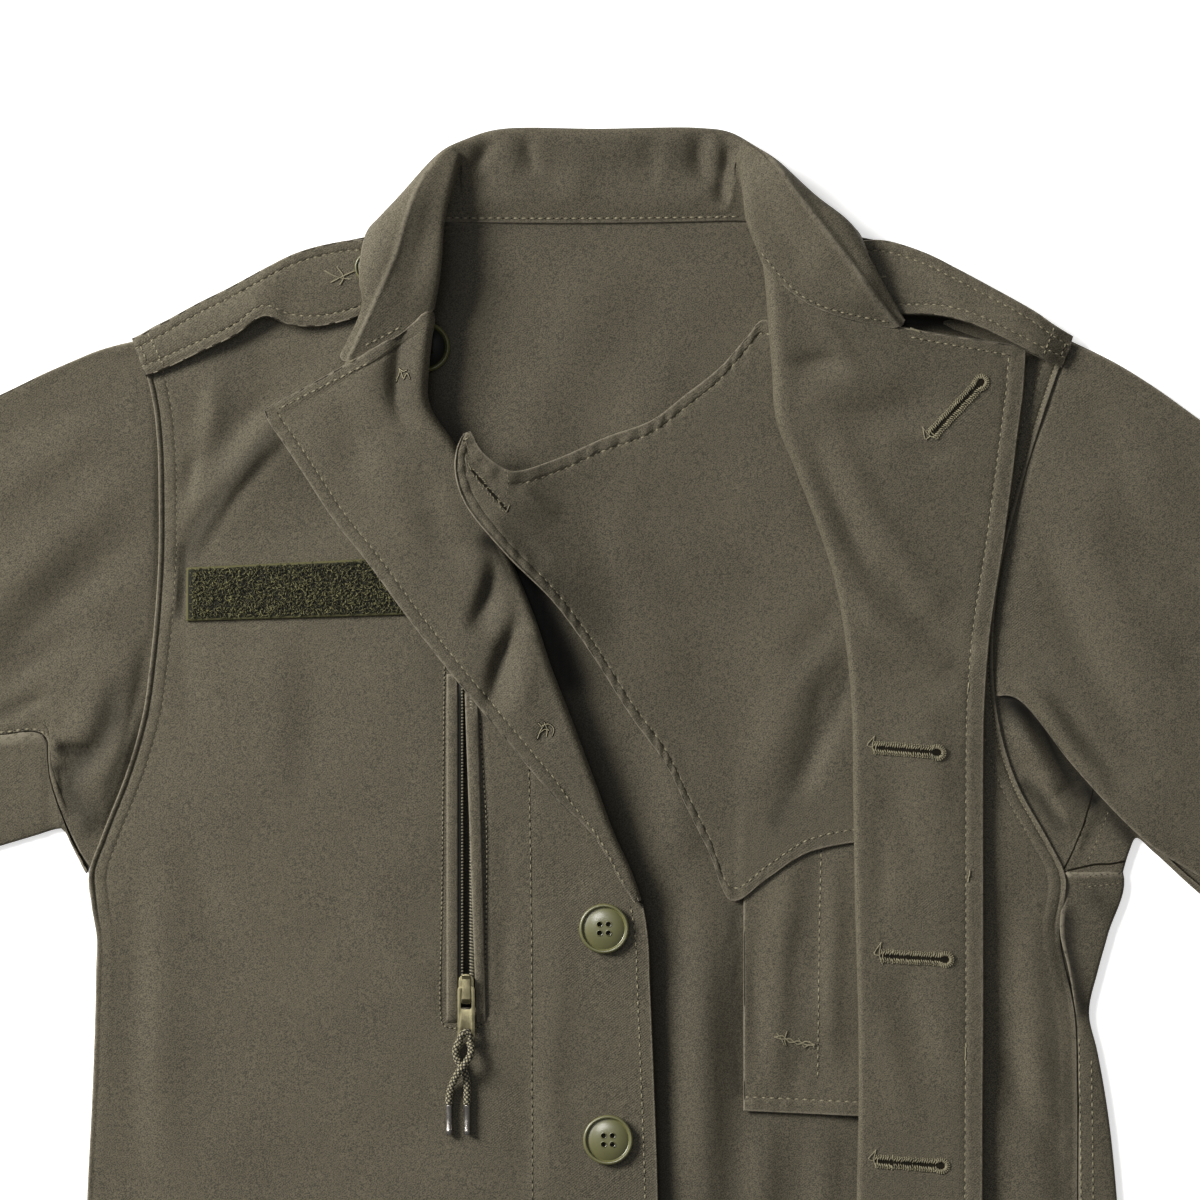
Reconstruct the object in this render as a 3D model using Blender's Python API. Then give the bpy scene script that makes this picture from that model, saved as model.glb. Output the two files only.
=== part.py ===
"""Field jacket, unbuttoned and laid flat on its back.

The jacket lies in the XY plane, hem towards -Y, with its inside back showing in
the open front. Right and left are the wearer's, so the right front is at -X.
Every cloth piece is a wall round a grid of mid-surface points. Tables are in
millimetres; a row is a section across a piece.
"""

import math
from collections import namedtuple

import bmesh
import bpy
from mathutils import Vector

MM = 0.001

# ---------------------------------------------------------------- driving sizes

CLOTH = 1.2             # single wall of the cotton twill
DOUBLE_CLOTH = 1.8      # front and facing stitched together
COLLAR_WALL = 2.0       # upper and under collar stitched together
STRAP_WALL = 1.6
SEAM_GAP = 0.3          # between pieces that are sewn edge to edge
FLOOR_LAYER = CLOTH / 2
SECOND_LAYER = 2.4      # mid height of the layer that lies on the back
SIDE_FOLD = (SECOND_LAYER - FLOOR_LAYER) / 2

BASE_COLUMNS = 8        # cells across a front
TURN_COLUMNS = 3        # cells round a fold
LAPEL_COLUMNS = 6       # cells across a turned-out lapel, closer near its fold

FRONT_BUTTON = 25.0     # diameters
STRAP_BUTTON = 16.0
BUTTON_RISE = 3.1       # height of the rim of a front button
BUTTON_PITCH = 105.5    # down the front
BUTTON_PROFILE = [(9.4, 0.0), (12.5, 1.5), (11.3, BUTTON_RISE), (8.8, 2.2)]
BUTTON_HOLE = 2.3
HOLE_PITCH = 4.4
BUTTON_SEGMENTS = 16
HOLE_SEGMENTS = 6
FIRST_BUTTON_Y = -164.0
FRONT_BUTTON_X = (2.0, 4.0, 5.0, 5.5)
LAPEL_BUTTON = (-27.5, -66.5)           # under the turned-out lapel
NECK_BUTTON = (-87.5, 126.5)            # on the back, half under the lapel's fold
STRAP_BUTTONS = [(-114.4, 166.0, 11.0), (125.0, 166.0, 11.0)]

# ------------------------------------------------------------------- body tables

BackRow = namedtuple("BackRow", "y right left seam")
# y, right outline, left outline, and how far the left side comes round to the
# front (the side seam there), None above the armhole
BACK = [
    BackRow(-530.0, -259.0, 262.0, 240.0),
    BackRow(-415.0, -258.0, 261.0, 239.5),
    BackRow(-300.0, -256.5, 258.5, 239.0),
    BackRow(-250.0, -254.0, 253.0, 239.0),
    BackRow(-225.0, -253.0, 248.5, 238.6),
    BackRow(-207.0, -252.4, 244.5, 237.6),
    BackRow(-185.0, -252.0, 249.0, 234.2),
    BackRow(-167.0, -251.5, 254.0, 230.0),
    BackRow(-136.0, -255.5, 261.5, 232.5),
    BackRow(-114.0, -247.5, 247.0, None),
    BackRow(-85.0, -236.5, 231.0, None),
    BackRow(-47.0, -226.5, 218.0, None),
    BackRow(0.0, -221.5, 213.0, None),
    BackRow(50.0, -220.5, 214.0, None),
    BackRow(90.0, -222.0, 221.0, None),
    BackRow(112.0, -226.5, 228.5, None),
    BackRow(130.0, -232.5, 235.0, None),
    BackRow(148.0, -200.0, 209.0, None),
    BackRow(165.0, -168.0, 178.0, None),
    BackRow(178.0, -134.0, 146.0, None),
    BackRow(187.4, -82.0, 80.0, None),
]
BACK_COLUMNS = 6

FrontRow = namedtuple("FrontRow", "y side side_z fold fold_z belly roll edge_x edge_y lift")
# y, side or armhole edge, its height, fold or front edge, its height, swell
# between them, radius of the fold, free edge of the turned part and how far that
# edge is above the cloth it lies on; a row with no turned part has roll None
FRONT_RIGHT = [
    FrontRow(-530.0, -258.7, 2.4, 30.0, 6.6, 1.0, None, 0, 0, 0),
    FrontRow(-415.0, -257.7, 2.4, 29.5, 6.9, 1.6, None, 0, 0, 0),
    FrontRow(-300.0, -256.2, 2.4, 29.0, 7.3, 2.0, None, 0, 0, 0),
    FrontRow(-232.0, -252.9, 2.4, 26.7, 7.6, 2.0, None, 0, 0, 0),
    FrontRow(-191.0, -251.8, 2.4, 25.0, 7.8, 2.0, None, 0, 0, 0),
    FrontRow(-168.0, -251.6, 2.4, 24.0, 8.0, 2.0, None, 0, 0, 0),
    FrontRow(-152.0, -254.2, 2.4, 21.4, 8.2, 2.0, None, 0, 0, 0),
    FrontRow(-137.0, -255.4, 2.4, 16.6, 8.4, 2.0, 2.2, 9.5, -139.5, 4.2),
    FrontRow(-119.0, -249.4, 2.4, 8.4, 8.6, 2.0, 2.5, -1.5, -120.5, 4.6),
    FrontRow(-87.0, -237.0, 2.4, -3.6, 8.8, 2.0, 2.9, -23.0, -98.5, 5.4),
    FrontRow(-54.5, -228.0, 2.4, -15.8, 9.0, 2.0, 3.3, -46.5, -70.5, 5.6),
    FrontRow(-32.5, -225.0, 2.4, -24.4, 9.0, 2.0, 3.5, -61.5, -52.5, 5.0),
    FrontRow(-9.5, -222.6, 2.4, -32.0, 8.8, 1.8, 3.6, -77.5, -33.0, 4.4),
    FrontRow(21.0, -220.7, 2.4, -44.5, 8.4, 1.6, 3.8, -97.5, -7.0, 4.0),
    FrontRow(50.0, -220.5, 2.4, -58.0, 8.0, 1.6, 4.0, -116.0, 18.5, 4.0),
    FrontRow(77.5, -221.2, 2.4, -71.8, 7.6, 1.6, 4.3, -134.5, 42.0, 4.0),
    FrontRow(97.0, -223.2, 2.4, -84.5, 7.3, 1.6, 4.7, -147.5, 62.0, 4.0),
    FrontRow(118.0, -228.2, 2.4, -85.0, 7.0, 1.6, 5.0, -160.0, 81.0, 4.0),
    FrontRow(130.0, -232.4, 2.4, -83.8, 7.0, 1.4, 5.0, -165.0, 88.0, 4.0),
    FrontRow(145.5, -204.0, 2.4, -84.0, 7.0, 1.0, 5.0, -168.0, 95.0, 4.0),
    FrontRow(153.0, -191.0, 2.4, -92.0, 6.6, 0.6, None, 0, 0, 0),
    FrontRow(166.0, -165.5, 2.4, -92.5, 6.2, 0.4, None, 0, 0, 0),
    FrontRow(177.0, -137.0, 2.4, -92.5, 4.6, 0.2, None, 0, 0, 0),
    FrontRow(184.0, -103.0, 2.4, -92.0, 2.6, 0.0, None, 0, 0, 0),
]
RIGHT_GORGE_DIP = 4.0

FRONT_LEFT = [
    FrontRow(-530.0, 239.7, 2.4, 126.5, 4.2, 1.0, 1.9, 190.0, -530.0, 4.6),
    FrontRow(-415.0, 239.2, 2.4, 127.2, 4.6, 1.0, 1.9, 190.5, -415.0, 4.6),
    FrontRow(-300.0, 238.7, 2.4, 128.0, 5.6, 0.8, 1.9, 191.0, -300.0, 4.6),
    FrontRow(-245.0, 238.6, 2.4, 129.0, 6.0, 0.6, 1.9, 191.2, -245.0, 4.6),
    FrontRow(-207.0, 237.3, 2.4, 128.7, 6.0, 0.6, 1.9, 191.5, -207.0, 4.6),
    FrontRow(-167.0, 229.7, 2.4, 127.6, 6.2, 0.6, 1.9, 191.5, -167.0, 4.6),
    FrontRow(-136.0, 232.2, 2.4, 126.8, 6.4, 0.6, 1.9, 191.5, -136.0, 4.6),
    FrontRow(-121.5, 225.0, 2.4, 126.6, 6.4, 0.6, 1.9, 191.5, -121.5, 4.6),
    FrontRow(-92.5, 209.0, 2.4, 126.2, 6.2, 0.6, 2.0, 191.5, -92.5, 4.6),
    FrontRow(-56.0, 198.5, 2.4, 125.6, 5.8, 0.6, 2.1, 192.0, -56.0, 4.7),
    FrontRow(-29.5, 196.5, 2.4, 123.5, 5.4, 0.6, 2.3, 193.5, -31.5, 4.8),
    FrontRow(17.5, 200.5, 2.4, 115.0, 5.0, 0.8, 2.8, 197.5, 2.0, 4.9),
    FrontRow(39.5, 206.0, 2.4, 107.5, 5.0, 0.8, 3.2, 200.5, 20.0, 5.0),
    FrontRow(67.5, 213.8, 2.4, 96.5, 5.0, 0.8, 3.8, 203.7, 43.5, 5.0),
    FrontRow(89.0, 220.5, 2.4, 88.0, 5.2, 0.8, 4.2, 206.0, 61.0, 4.9),
    FrontRow(117.0, 230.0, 2.4, 85.5, 5.6, 0.6, 4.6, 208.7, 83.0, 4.6),
    FrontRow(130.0, 235.0, 2.4, 84.4, 5.8, 0.6, 4.8, 210.0, 92.6, 4.3),
    FrontRow(141.5, 219.0, 2.4, 83.5, 6.0, 0.6, 5.0, 211.2, 101.6, 4.4),
    FrontRow(172.0, 162.0, 2.4, 81.0, 6.2, 0.2, 5.0, 213.0, 126.6, 4.6),
    FrontRow(178.0, 146.0, 2.4, 96.0, 4.8, 0.2, None, 0, 0, 0),
    FrontRow(184.0, 113.0, 2.4, 99.0, 2.6, 0.0, None, 0, 0, 0),
]
LEFT_GORGE_DIP = 16.5
GORGE_REACH = 40.0      # how far down the lapel its top edge's curve fades out

# Largest folds of the fronts and sleeves: a ridge from one end to the other
Fold = namedtuple("Fold", "x0 y0 x1 y1 height width")
FOLDS_RIGHT = [
    Fold(-150.0, 85.0, -205.0, 20.0, 1.0, 13.0),
    Fold(-130.0, -160.0, -80.0, -222.0, 0.8, 14.0),
    Fold(-228.0, -150.0, -231.0, -300.0, 0.8, 10.0),
]
FOLDS_LEFT = [
    Fold(214.0, -150.0, 222.0, -330.0, 0.8, 10.0),
]
FOLDS_RIGHT_SLEEVE = [
    Fold(-262.0, 30.0, -340.0, -40.0, 1.6, 14.0),
    Fold(-300.0, 60.0, -420.0, -10.0, 1.4, 18.0),
    Fold(-520.0, -40.0, -600.0, -130.0, 1.6, 18.0),
]
FOLDS_LEFT_SLEEVE = [
    Fold(262.0, 40.0, 330.0, -70.0, 1.6, 15.0),
    Fold(245.0, 60.0, 300.0, 20.0, 1.2, 14.0),
    Fold(500.0, -90.0, 560.0, -200.0, 1.6, 18.0),
]

# ----------------------------------------------------------------- sleeve tables

SleeveRow = namedtuple("SleeveRow", "top_x top_y low_x low_y seam_x seam_y seam_z belly shape")
# top fold, low fold, lower edge of the upper piece with its height, swell of the
# upper piece, and how much the row still has of the armhole's curve
SLEEVE_RIGHT = [
    SleeveRow(-233.4, 129.4, -255.8, -136.0, -255.6, -135.4, 2.4, 1.0, 1.0),
    SleeveRow(-238.0, 128.4, -259.8, -130.5, -258.8, -123.0, 2.4, 1.4, 0.80),
    SleeveRow(-252.0, 124.4, -267.6, -115.0, -266.0, -90.0, 2.4, 1.8, 0.35),
    SleeveRow(-274.0, 115.0, -280.0, -117.0, -276.0, -71.0, 2.4, 2.2, 0.05),
    SleeveRow(-300.0, 102.5, -300.0, -123.0, -300.0, -67.0, 2.4, 2.4, 0.0),
    SleeveRow(-370.0, 73.5, -362.0, -141.0, -364.0, -86.0, 2.4, 2.4, 0.0),
    SleeveRow(-480.0, 26.5, -463.0, -170.5, -467.0, -120.0, 2.4, 2.4, 0.0),
    SleeveRow(-590.0, -20.5, -563.0, -199.5, -569.0, -154.0, 2.4, 2.4, 0.0),
    SleeveRow(-700.0, -68.0, -662.0, -228.5, -670.0, -188.0, 2.4, 2.0, 0.0),
    SleeveRow(-814.0, -117.0, -762.0, -258.0, -772.0, -222.5, 2.4, 1.2, 0.0),
]
SLEEVE_LEFT = [
    SleeveRow(236.0, 129.4, 263.9, -135.4, 197.4, -48.0, 4.4, 1.0, 1.0),
    SleeveRow(246.0, 124.6, 266.0, -125.0, 211.0, -50.5, 4.6, 1.6, 0.60),
    SleeveRow(258.0, 118.4, 268.5, -119.0, 236.0, -82.0, 4.8, 2.0, 0.25),
    SleeveRow(276.0, 107.2, 277.6, -126.4, 268.0, -116.5, 4.6, 2.2, 0.05),
    SleeveRow(300.0, 90.0, 300.0, -146.5, 299.0, -138.0, 2.6, 2.4, 0.0),
    SleeveRow(370.0, 43.5, 360.0, -184.0, 358.0, -174.5, 2.4, 2.4, 0.0),
    SleeveRow(470.0, -22.5, 446.0, -232.0, 444.0, -224.0, 2.4, 2.4, 0.0),
    SleeveRow(580.0, -95.5, 542.0, -279.0, 540.0, -273.0, 2.4, 2.2, 0.0),
    SleeveRow(680.0, -161.5, 628.0, -318.5, 626.0, -313.0, 2.4, 1.8, 0.0),
    SleeveRow(775.5, -224.8, 709.5, -357.0, 707.5, -352.0, 2.4, 1.2, 0.0),
]
# the left under piece comes round to the front at the underarm: where that part
# ends, hidden under the upper piece, at each of the first sleeve rows
UNDERARM_LEFT = [(197.8, -40.0), (224.0, -42.0), (248.0, -76.0), (276.0, -110.0)]
UNDERARM_LOW = 234.6    # x where the left armhole's front and back curves meet
UNDERARM_STEPS = (-121.5, -107.0, -92.5, -70.0, -40.0)      # heights up the armhole

# ---------------------------------------------------------------- smaller pieces

CollarRow = namedtuple("CollarRow", "neck roll face crest over fall")
# sections of the collar from its right end round the neck to its left end:
# neck seam, where it rolls over the neck edge, inner face, crest, outside, free edge
COLLAR = [
    CollarRow((-90, 149.6, 8), (-84.0, 148.6, 12.5), (-104, 133.8, 17), (-125.5, 121.4, 13.5), (-128.2, 122.8, 12),
              (-124.5, 127, 11.8)),
    CollarRow((-90, 153.6, 7.6), (-82.0, 152.8, 12.5), (-98, 148.5, 19), (-114.5, 143.5, 20), (-118.4, 144.4, 17.5),
              (-117, 146, 14.5)),
    CollarRow((-90, 161, 7), (-80.8, 160.5, 12.5), (-94, 159.5, 20.5), (-108, 158.2, 23), (-117, 158.6, 20),
              (-119.4, 159, 14.8)),
    CollarRow((-90, 170, 6.4), (-79.6, 172, 12), (-90.5, 172, 20.5), (-102, 172, 24), (-113, 173, 21),
              (-119, 172.4, 14.8)),
    CollarRow((-89.6, 180, 4.6), (-78.6, 188, 11.5), (-87, 189.5, 19), (-96.5, 191, 22.5), (-107, 190.4, 17),
              (-114.6, 185.6, 8.5)),
    CollarRow((-86, 189, 2.2), (-75, 206, 10.5), (-81.5, 207.5, 15.5), (-89, 209, 17), (-96, 205.2, 9),
              (-101, 194.5, 2)),
    CollarRow((-78, 189, 1), (-70.5, 222, 7.6), (-73.5, 223.5, 9), (-77, 224.2, 9.2), (-79.4, 221.8, 4.8),
              (-81, 197, 1)),
    CollarRow((-66, 188.8, 1), (-66, 200, 4.2), (-65.5, 215, 4.6), (-65, 229, 5.2), (-65, 230, 2.4), (-66, 197, 1)),
    CollarRow((-50, 188.4, 1), (-50, 200, 4.2), (-50, 216, 4.6), (-50, 233.2, 5.2), (-50, 234.2, 2.4), (-50, 197, 1)),
    CollarRow((0, 188.2, 1), (0, 200, 4.2), (0, 216, 4.6), (0, 233.4, 5.2), (0, 234.4, 2.4), (0, 197, 1)),
    CollarRow((50, 189, 1), (50, 200, 4.2), (50, 216, 4.6), (50, 233.8, 5.2), (50, 234.8, 2.4), (50, 197, 1)),
    CollarRow((64, 189.4, 1), (64, 200, 4.2), (64.5, 217, 4.6), (65, 231.6, 5.2), (65, 232.6, 2.4), (64, 197, 1)),
    CollarRow((75, 189, 1), (69.5, 222, 7.6), (73, 224.5, 9), (77, 225.6, 9.2), (79.6, 222.8, 4.8), (79, 197, 1)),
    CollarRow((84, 188.6, 2.2), (71.5, 204, 10.5), (79, 212.5, 15.5), (87, 218, 17), (92, 214.5, 9),
              (96, 198.5, 2)),
    CollarRow((90, 184, 4.4), (73.5, 190.5, 11.5), (85, 199, 18), (98, 202.6, 20), (107, 201.4, 12.5),
              (109.5, 191, 5)),
    CollarRow((94, 181.5, 5.4), (77, 181.5, 12), (94, 184.5, 20), (112, 184.6, 22), (121.6, 189, 17),
              (127.5, 184.2, 10)),
    CollarRow((96, 180.5, 6), (80.4, 175.4, 12.5), (101, 170, 20.5), (126, 166.6, 21.5), (133.6, 169.6, 18.5),
              (135, 167, 14.5)),
    CollarRow((97, 179, 7), (84.4, 175.4, 13.8), (104.4, 158.0, 19), (137.5, 153.2, 18), (141.4, 155.4, 16.5),
              (140, 158.4, 14.6)),
    CollarRow((98, 178.2, 8), (88.4, 173.6, 14.6), (107.4, 152.4, 17.8), (148.8, 138.2, 13.2), (151.0, 140, 12.6),
              (147.5, 143.6, 12.8)),
]
COLLAR_STEPS = 2        # grid cells between two points of a section

StrapRow = namedtuple("StrapRow", "top_x top_y low_x low_y top_z low_z")
STRAP_RIGHT = [
    StrapRow(-234.0, 130.6, -227.0, 111.4, 4.4, 4.7),
    StrapRow(-226.6, 134.2, -217.0, 115.4, 5.4, 5.8),
    StrapRow(-201.0, 148.2, -199.0, 123.8, 7.6, 8.6),
    StrapRow(-184.0, 156.6, -182.6, 131.6, 8.6, 10.4),
    StrapRow(-168.6, 165.0, -167.5, 141.4, 9.4, 12.0),
    StrapRow(-152.0, 173.2, -155.6, 137.2, 9.2, 10.6),
    StrapRow(-135.0, 178.0, -141.6, 136.4, 8.6, 9.6),
    StrapRow(-118.0, 180.0, -125.0, 139.8, 8.4, 9.2),
    StrapRow(-101.0, 176.0, -108.0, 146.0, 8.6, 9.0),
]
STRAP_LEFT = [
    StrapRow(236.4, 131.8, 230.6, 116.2, 4.3, 4.6),
    StrapRow(227.0, 137.4, 220.4, 120.2, 8.4, 10.8),
    StrapRow(217.4, 144.0, 211.6, 124.8, 9.6, 12.6),
    StrapRow(192.0, 158.2, 187.6, 136.6, 9.2, 12.2),
    StrapRow(177.0, 166.2, 169.6, 141.6, 9.0, 11.4),
    StrapRow(162.0, 173.6, 150.6, 142.4, 8.8, 10.0),
    StrapRow(140.6, 179.8, 137.0, 143.4, 8.4, 9.4),
    StrapRow(122.0, 178.4, 121.0, 148.0, 8.4, 9.0),
]
STRAP_COLUMNS = 4
STRAP_SWELL = 1.0       # rise of a strap's middle over its edges

FlapRow = namedtuple("FlapRow", "top_x top_y top_z low_x low_y low_z")
# storm flap, from the end of its buttonhole tab to the edge sewn in the left front
STORM_FLAP = [
    FlapRow(-67.0, 84.4, 19.6, -73.0, 65.0, 19.4),
    FlapRow(-61.0, 77.6, 19.4, -71.4, 53.0, 19.2),
    FlapRow(-53.0, 69.2, 18.6, -61.4, 38.6, 18.6),
    FlapRow(-43.6, 64.4, 16.6, -45.0, 20.6, 18.4),
    FlapRow(-23.6, 69.8, 9.8, -23.4, -1.0, 14.6),
    FlapRow(3.0, 81.4, 5.4, -4.0, -27.4, 11.0),
    FlapRow(26.0, 90.0, 3.8, 16.0, -59.0, 8.6),
    FlapRow(42.0, 102.0, 3.0, 33.0, -82.4, 6.8),
    FlapRow(59.6, 116.0, 2.6, 43.4, -104.0, 5.4),
    FlapRow(73.0, 131.0, 2.5, 54.4, -126.0, 4.8),
    FlapRow(81.6, 140.0, 2.5, 66.0, -150.6, 4.4),
    FlapRow(97.0, 129.0, 2.5, 84.0, -139.0, 4.4),
    FlapRow(113.0, 62.0, 2.5, 104.0, -126.4, 4.4),
    FlapRow(138.0, -20.0, 3.2, 141.0, -119.0, 4.4),
]
FLAP_COLUMNS = 7

INNER_POCKET_LOW = (-255.4, -258.6)      # lower edge at its left and right end
INNER_POCKET_TOP = -96.0
INNER_POCKET_SIDES = (71.6, 142.0)
INNER_POCKET_CELLS = 3

# Chest pocket zip, in the right front, with a welt along each side
ZIP_X = -66.8
ZIP_TOP = -40.0
ZIP_LOW = -203.5
ZIP_SLOT = 9.0
TAPE_WIDTH = 2.4
TAPE_WALL = 1.0
TAPE_END = 1.0          # tape's clearance to the slot's ends
WELT_WALL = 1.2
WELT_CELLS = 8
# left and right edge at the top, left and right edge at the low end, top and low end
WELT_OUTER = (-76.6, -71.0, -76.6, -71.0, -49.0, -210.6)
WELT_INNER = (-67.3, -60.5, -61.7, -56.9, -56.0, -210.6)

SLIDER_LENGTH = 15.0
SLIDER_WIDTH = 7.6
SLIDER_CORNER = 3.4
SLIDER_WALL = 2.0
CROWN_WIDTH = 4.2
CROWN_LENGTH = 13.4
CROWN_RISE = 3.9
CROWN_WALL = 1.1
CROWN_SLOPE = 1.8       # length of the crown's slanted shoulders
CROWN_FOOT = 0.4        # how far the crown's feet go into the body
SLIDER_SHIFT = 0.6      # slider's middle below the pull tab's hinge
PULL_LENGTH = 26.0
PULL_WIDTH = 8.6
PULL_CORNER = 1.6
PULL_WALL = 1.4
PULL_BAR = 1.5
PULL_SLOT = (5.4, 9.85)         # width and length of the slot round the crown
PULL_EYE = (5.2, 3.6)           # width and length of the eye for the cord
EYE_WALL = 1.4                  # metal below the eye
PULL_Y = -193.6         # hinge of the pull tab

CORD = 3.8
FERRULE = 3.4
FERRULE_LENGTH = 15.0
FERRULE_TIP = 1.0       # length of the narrower tip
FERRULE_SEGMENTS = 12
FERRULE_X = (-75.4, -66.4)
FERRULE_Y = -252.0
CORD_RIGHT_ROUTE = [    # from the pull tab's eye to the ferrule further from the front edge
    (-65.4, -219.8, 1.2), (-64.2, -223.6, 2.2), (-65.0, -227.8, 4.0), (-67.4, -231.4, 4.6), (-70.0, -234.8, 4.4),
    (-72.4, -239.0, 2.4), (-74.4, -244.0, 0.4), (-75.3, -248.6, 0.0), (-75.4, -251.7, 0.0),
]
CORD_LEFT_ROUTE = [
    (-70.2, -219.8, 1.0), (-71.8, -223.6, 0.6), (-71.8, -227.6, 0.1), (-70.0, -231.4, 0.0), (-67.8, -235.4, 0.0),
    (-66.6, -240.0, 0.0), (-66.3, -245.0, 0.0), (-66.4, -251.7, 0.0),
]
CORD_STEP = 1.6         # spacing along a cord in diameters

TAPE_STRIP = ((-206.6, 16.2), (-84.0, 22.0), (-84.0, -7.0), (-206.8, -10.6))   # loop strip corners
STRIP_WALL = 1.4
STRIP_CELLS = (2, 8)

# --------------------------------------------------------------------- materials

FINISHES = {            # colour, roughness, metallic
    "twill": ((0.125, 0.112, 0.088), 0.78, 0.0),
    "loop pile": ((0.075, 0.078, 0.030), 0.95, 0.0),
    "zip tape": ((0.085, 0.080, 0.055), 0.85, 0.0),
    "button": ((0.135, 0.135, 0.060), 0.35, 0.0),
    "aged brass": ((0.330, 0.300, 0.170), 0.35, 1.0),
    "cord": ((0.150, 0.140, 0.095), 0.85, 0.0),
    "ferrule": ((0.045, 0.035, 0.030), 0.20, 0.0),
}


def finish(name):
    """The named material, made once."""
    if name in bpy.data.materials:
        return bpy.data.materials[name]
    colour, roughness, metallic = FINISHES[name]
    material = bpy.data.materials.new(name)
    material.use_nodes = True
    shader = material.node_tree.nodes["Principled BSDF"]
    shader.inputs["Base Color"].default_value = (*colour, 1.0)
    shader.inputs["Roughness"].default_value = roughness
    shader.inputs["Metallic"].default_value = metallic
    return material


# ------------------------------------------------------------------ small helpers

def mix(a, b, t):
    return a + (b - a) * t


def mix_points(a, b, t):
    return tuple(mix(p, q, t) for p, q in zip(a, b))


def add_object(name, mesh, finish_name):
    thing = bpy.data.objects.new(name, mesh)
    bpy.context.scene.collection.objects.link(thing)
    if not mesh.materials:
        mesh.materials.append(finish(finish_name))
    return thing


def mesh_from(name, bm):
    """A mesh in metres from a bmesh in millimetres, faces pointing out."""
    bmesh.ops.recalc_face_normals(bm, faces=bm.faces)
    bmesh.ops.scale(bm, vec=(MM, MM, MM), verts=bm.verts)
    mesh = bpy.data.meshes.new(name)
    bm.to_mesh(mesh)
    bm.free()
    return mesh


def spline(points, steps):
    """A smooth line through the points, with `steps` cells between two of them."""
    path = [Vector(p) for p in points]
    path = [path[0] * 2 - path[1], *path, path[-1] * 2 - path[-2]]
    line = []
    for p0, p1, p2, p3 in zip(path, path[1:], path[2:], path[3:]):
        knots = [0.0]
        for a, b in ((p0, p1), (p1, p2), (p2, p3)):
            knots.append(knots[-1] + max((b - a).length, 1e-6) ** 0.5)
        t0, t1, t2, t3 = knots
        for step in range(steps):
            t = mix(t1, t2, step / steps)
            a1 = p0.lerp(p1, (t - t0) / (t1 - t0))
            a2 = p1.lerp(p2, (t - t1) / (t2 - t1))
            a3 = p2.lerp(p3, (t - t2) / (t3 - t2))
            b1 = a1.lerp(a2, (t - t0) / (t2 - t0))
            b2 = a2.lerp(a3, (t - t1) / (t3 - t1))
            line.append(b1.lerp(b2, (t - t1) / (t2 - t1)))
    line.append(path[-2])
    return line


def cloth(name, grid, wall, finish_name, present=None):
    """A closed wall round a grid of mid-surface points.

    `wall` is a thickness, or a function of row and column. `present(row, column)`
    says which cells of the grid the piece has; without it, it has them all.
    """
    rows = len(grid)
    columns = len(grid[0])
    cells = [(i, j) for i in range(rows - 1) for j in range(columns - 1) if present is None or present(i, j)]
    normals = {}
    for i, j in cells:
        corners = [(i, j), (i, j + 1), (i + 1, j + 1), (i + 1, j)]
        a, b, c, d = (Vector(grid[p][q]) for p, q in corners)
        facing = (c - a).cross(d - b)
        for corner in corners:
            normals[corner] = normals.get(corner, Vector()) + facing
    bm = bmesh.new()
    outer, inner = {}, {}
    for corner, normal in normals.items():
        i, j = corner
        half = (wall(i, j) if callable(wall) else wall) / 2
        step = normal.normalized() * half
        outer[corner] = bm.verts.new(Vector(grid[i][j]) + step)
        inner[corner] = bm.verts.new(Vector(grid[i][j]) - step)
    edges = {}
    for i, j in cells:
        ring = [(i, j), (i, j + 1), (i + 1, j + 1), (i + 1, j)]
        bm.faces.new([outer[corner] for corner in ring])
        bm.faces.new([inner[corner] for corner in reversed(ring)])
        for start, end in zip(ring, ring[1:] + ring[:1]):
            if (end, start) in edges:
                del edges[(end, start)]
            else:
                edges[(start, end)] = True
    for start, end in edges:
        bm.faces.new([outer[end], outer[start], inner[start], inner[end]])
    mesh = mesh_from(name, bm)
    mesh.shade_smooth()
    return add_object(name, mesh, finish_name)


def between(rows, y, *fields):
    """Values of a table's columns at a height y, straight between its rows."""
    y = min(max(y, rows[0].y), rows[-1].y)
    for low, high in zip(rows, rows[1:]):
        if y <= high.y:
            break
    t = (y - low.y) / (high.y - low.y)
    return [mix(getattr(low, field), getattr(high, field), t) for field in fields]


def ridges(folds, x, y):
    """Height that the folds add at a point."""
    height = 0.0
    for fold in folds:
        along = Vector((fold.x1 - fold.x0, fold.y1 - fold.y0))
        offset = Vector((x - fold.x0, y - fold.y0))
        t = offset.dot(along) / along.length_squared
        if 0.0 < t < 1.0:
            across = (offset - along * t).length / fold.width
            height += fold.height * math.sin(math.pi * t) * math.exp(-across * across)
    return height


def lie(table, folds, x, y):
    """Mid height of a front's lower layer at a point."""
    side, side_z, fold, fold_z, belly = between(table, y, "side", "side_z", "fold", "fold_z", "belly")
    u = min(max((x - side) / (fold - side), 0.0), 1.0)
    fade = 4 * u * (1 - u)
    return mix(side_z, fold_z, u) + belly * fade + ridges(folds, x, y) * min(1.0, 2 * fade)


def lie_right(x, y):
    return lie(FRONT_RIGHT, FOLDS_RIGHT, x, y)


def lie_left(x, y):
    return lie(FRONT_LEFT, FOLDS_LEFT, x, y)


# ------------------------------------------------------------------- back, fronts

def turn(start, outward, radius, steps):
    """Points round a fold that turns over, after its start."""
    points = []
    for step in range(1, steps + 1):
        angle = math.pi * step / steps
        reach = radius * math.sin(angle)
        rise = radius * (1 - math.cos(angle))
        points.append(Vector(start) + Vector((outward[0] * reach, outward[1] * reach, rise)))
    return points


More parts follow.
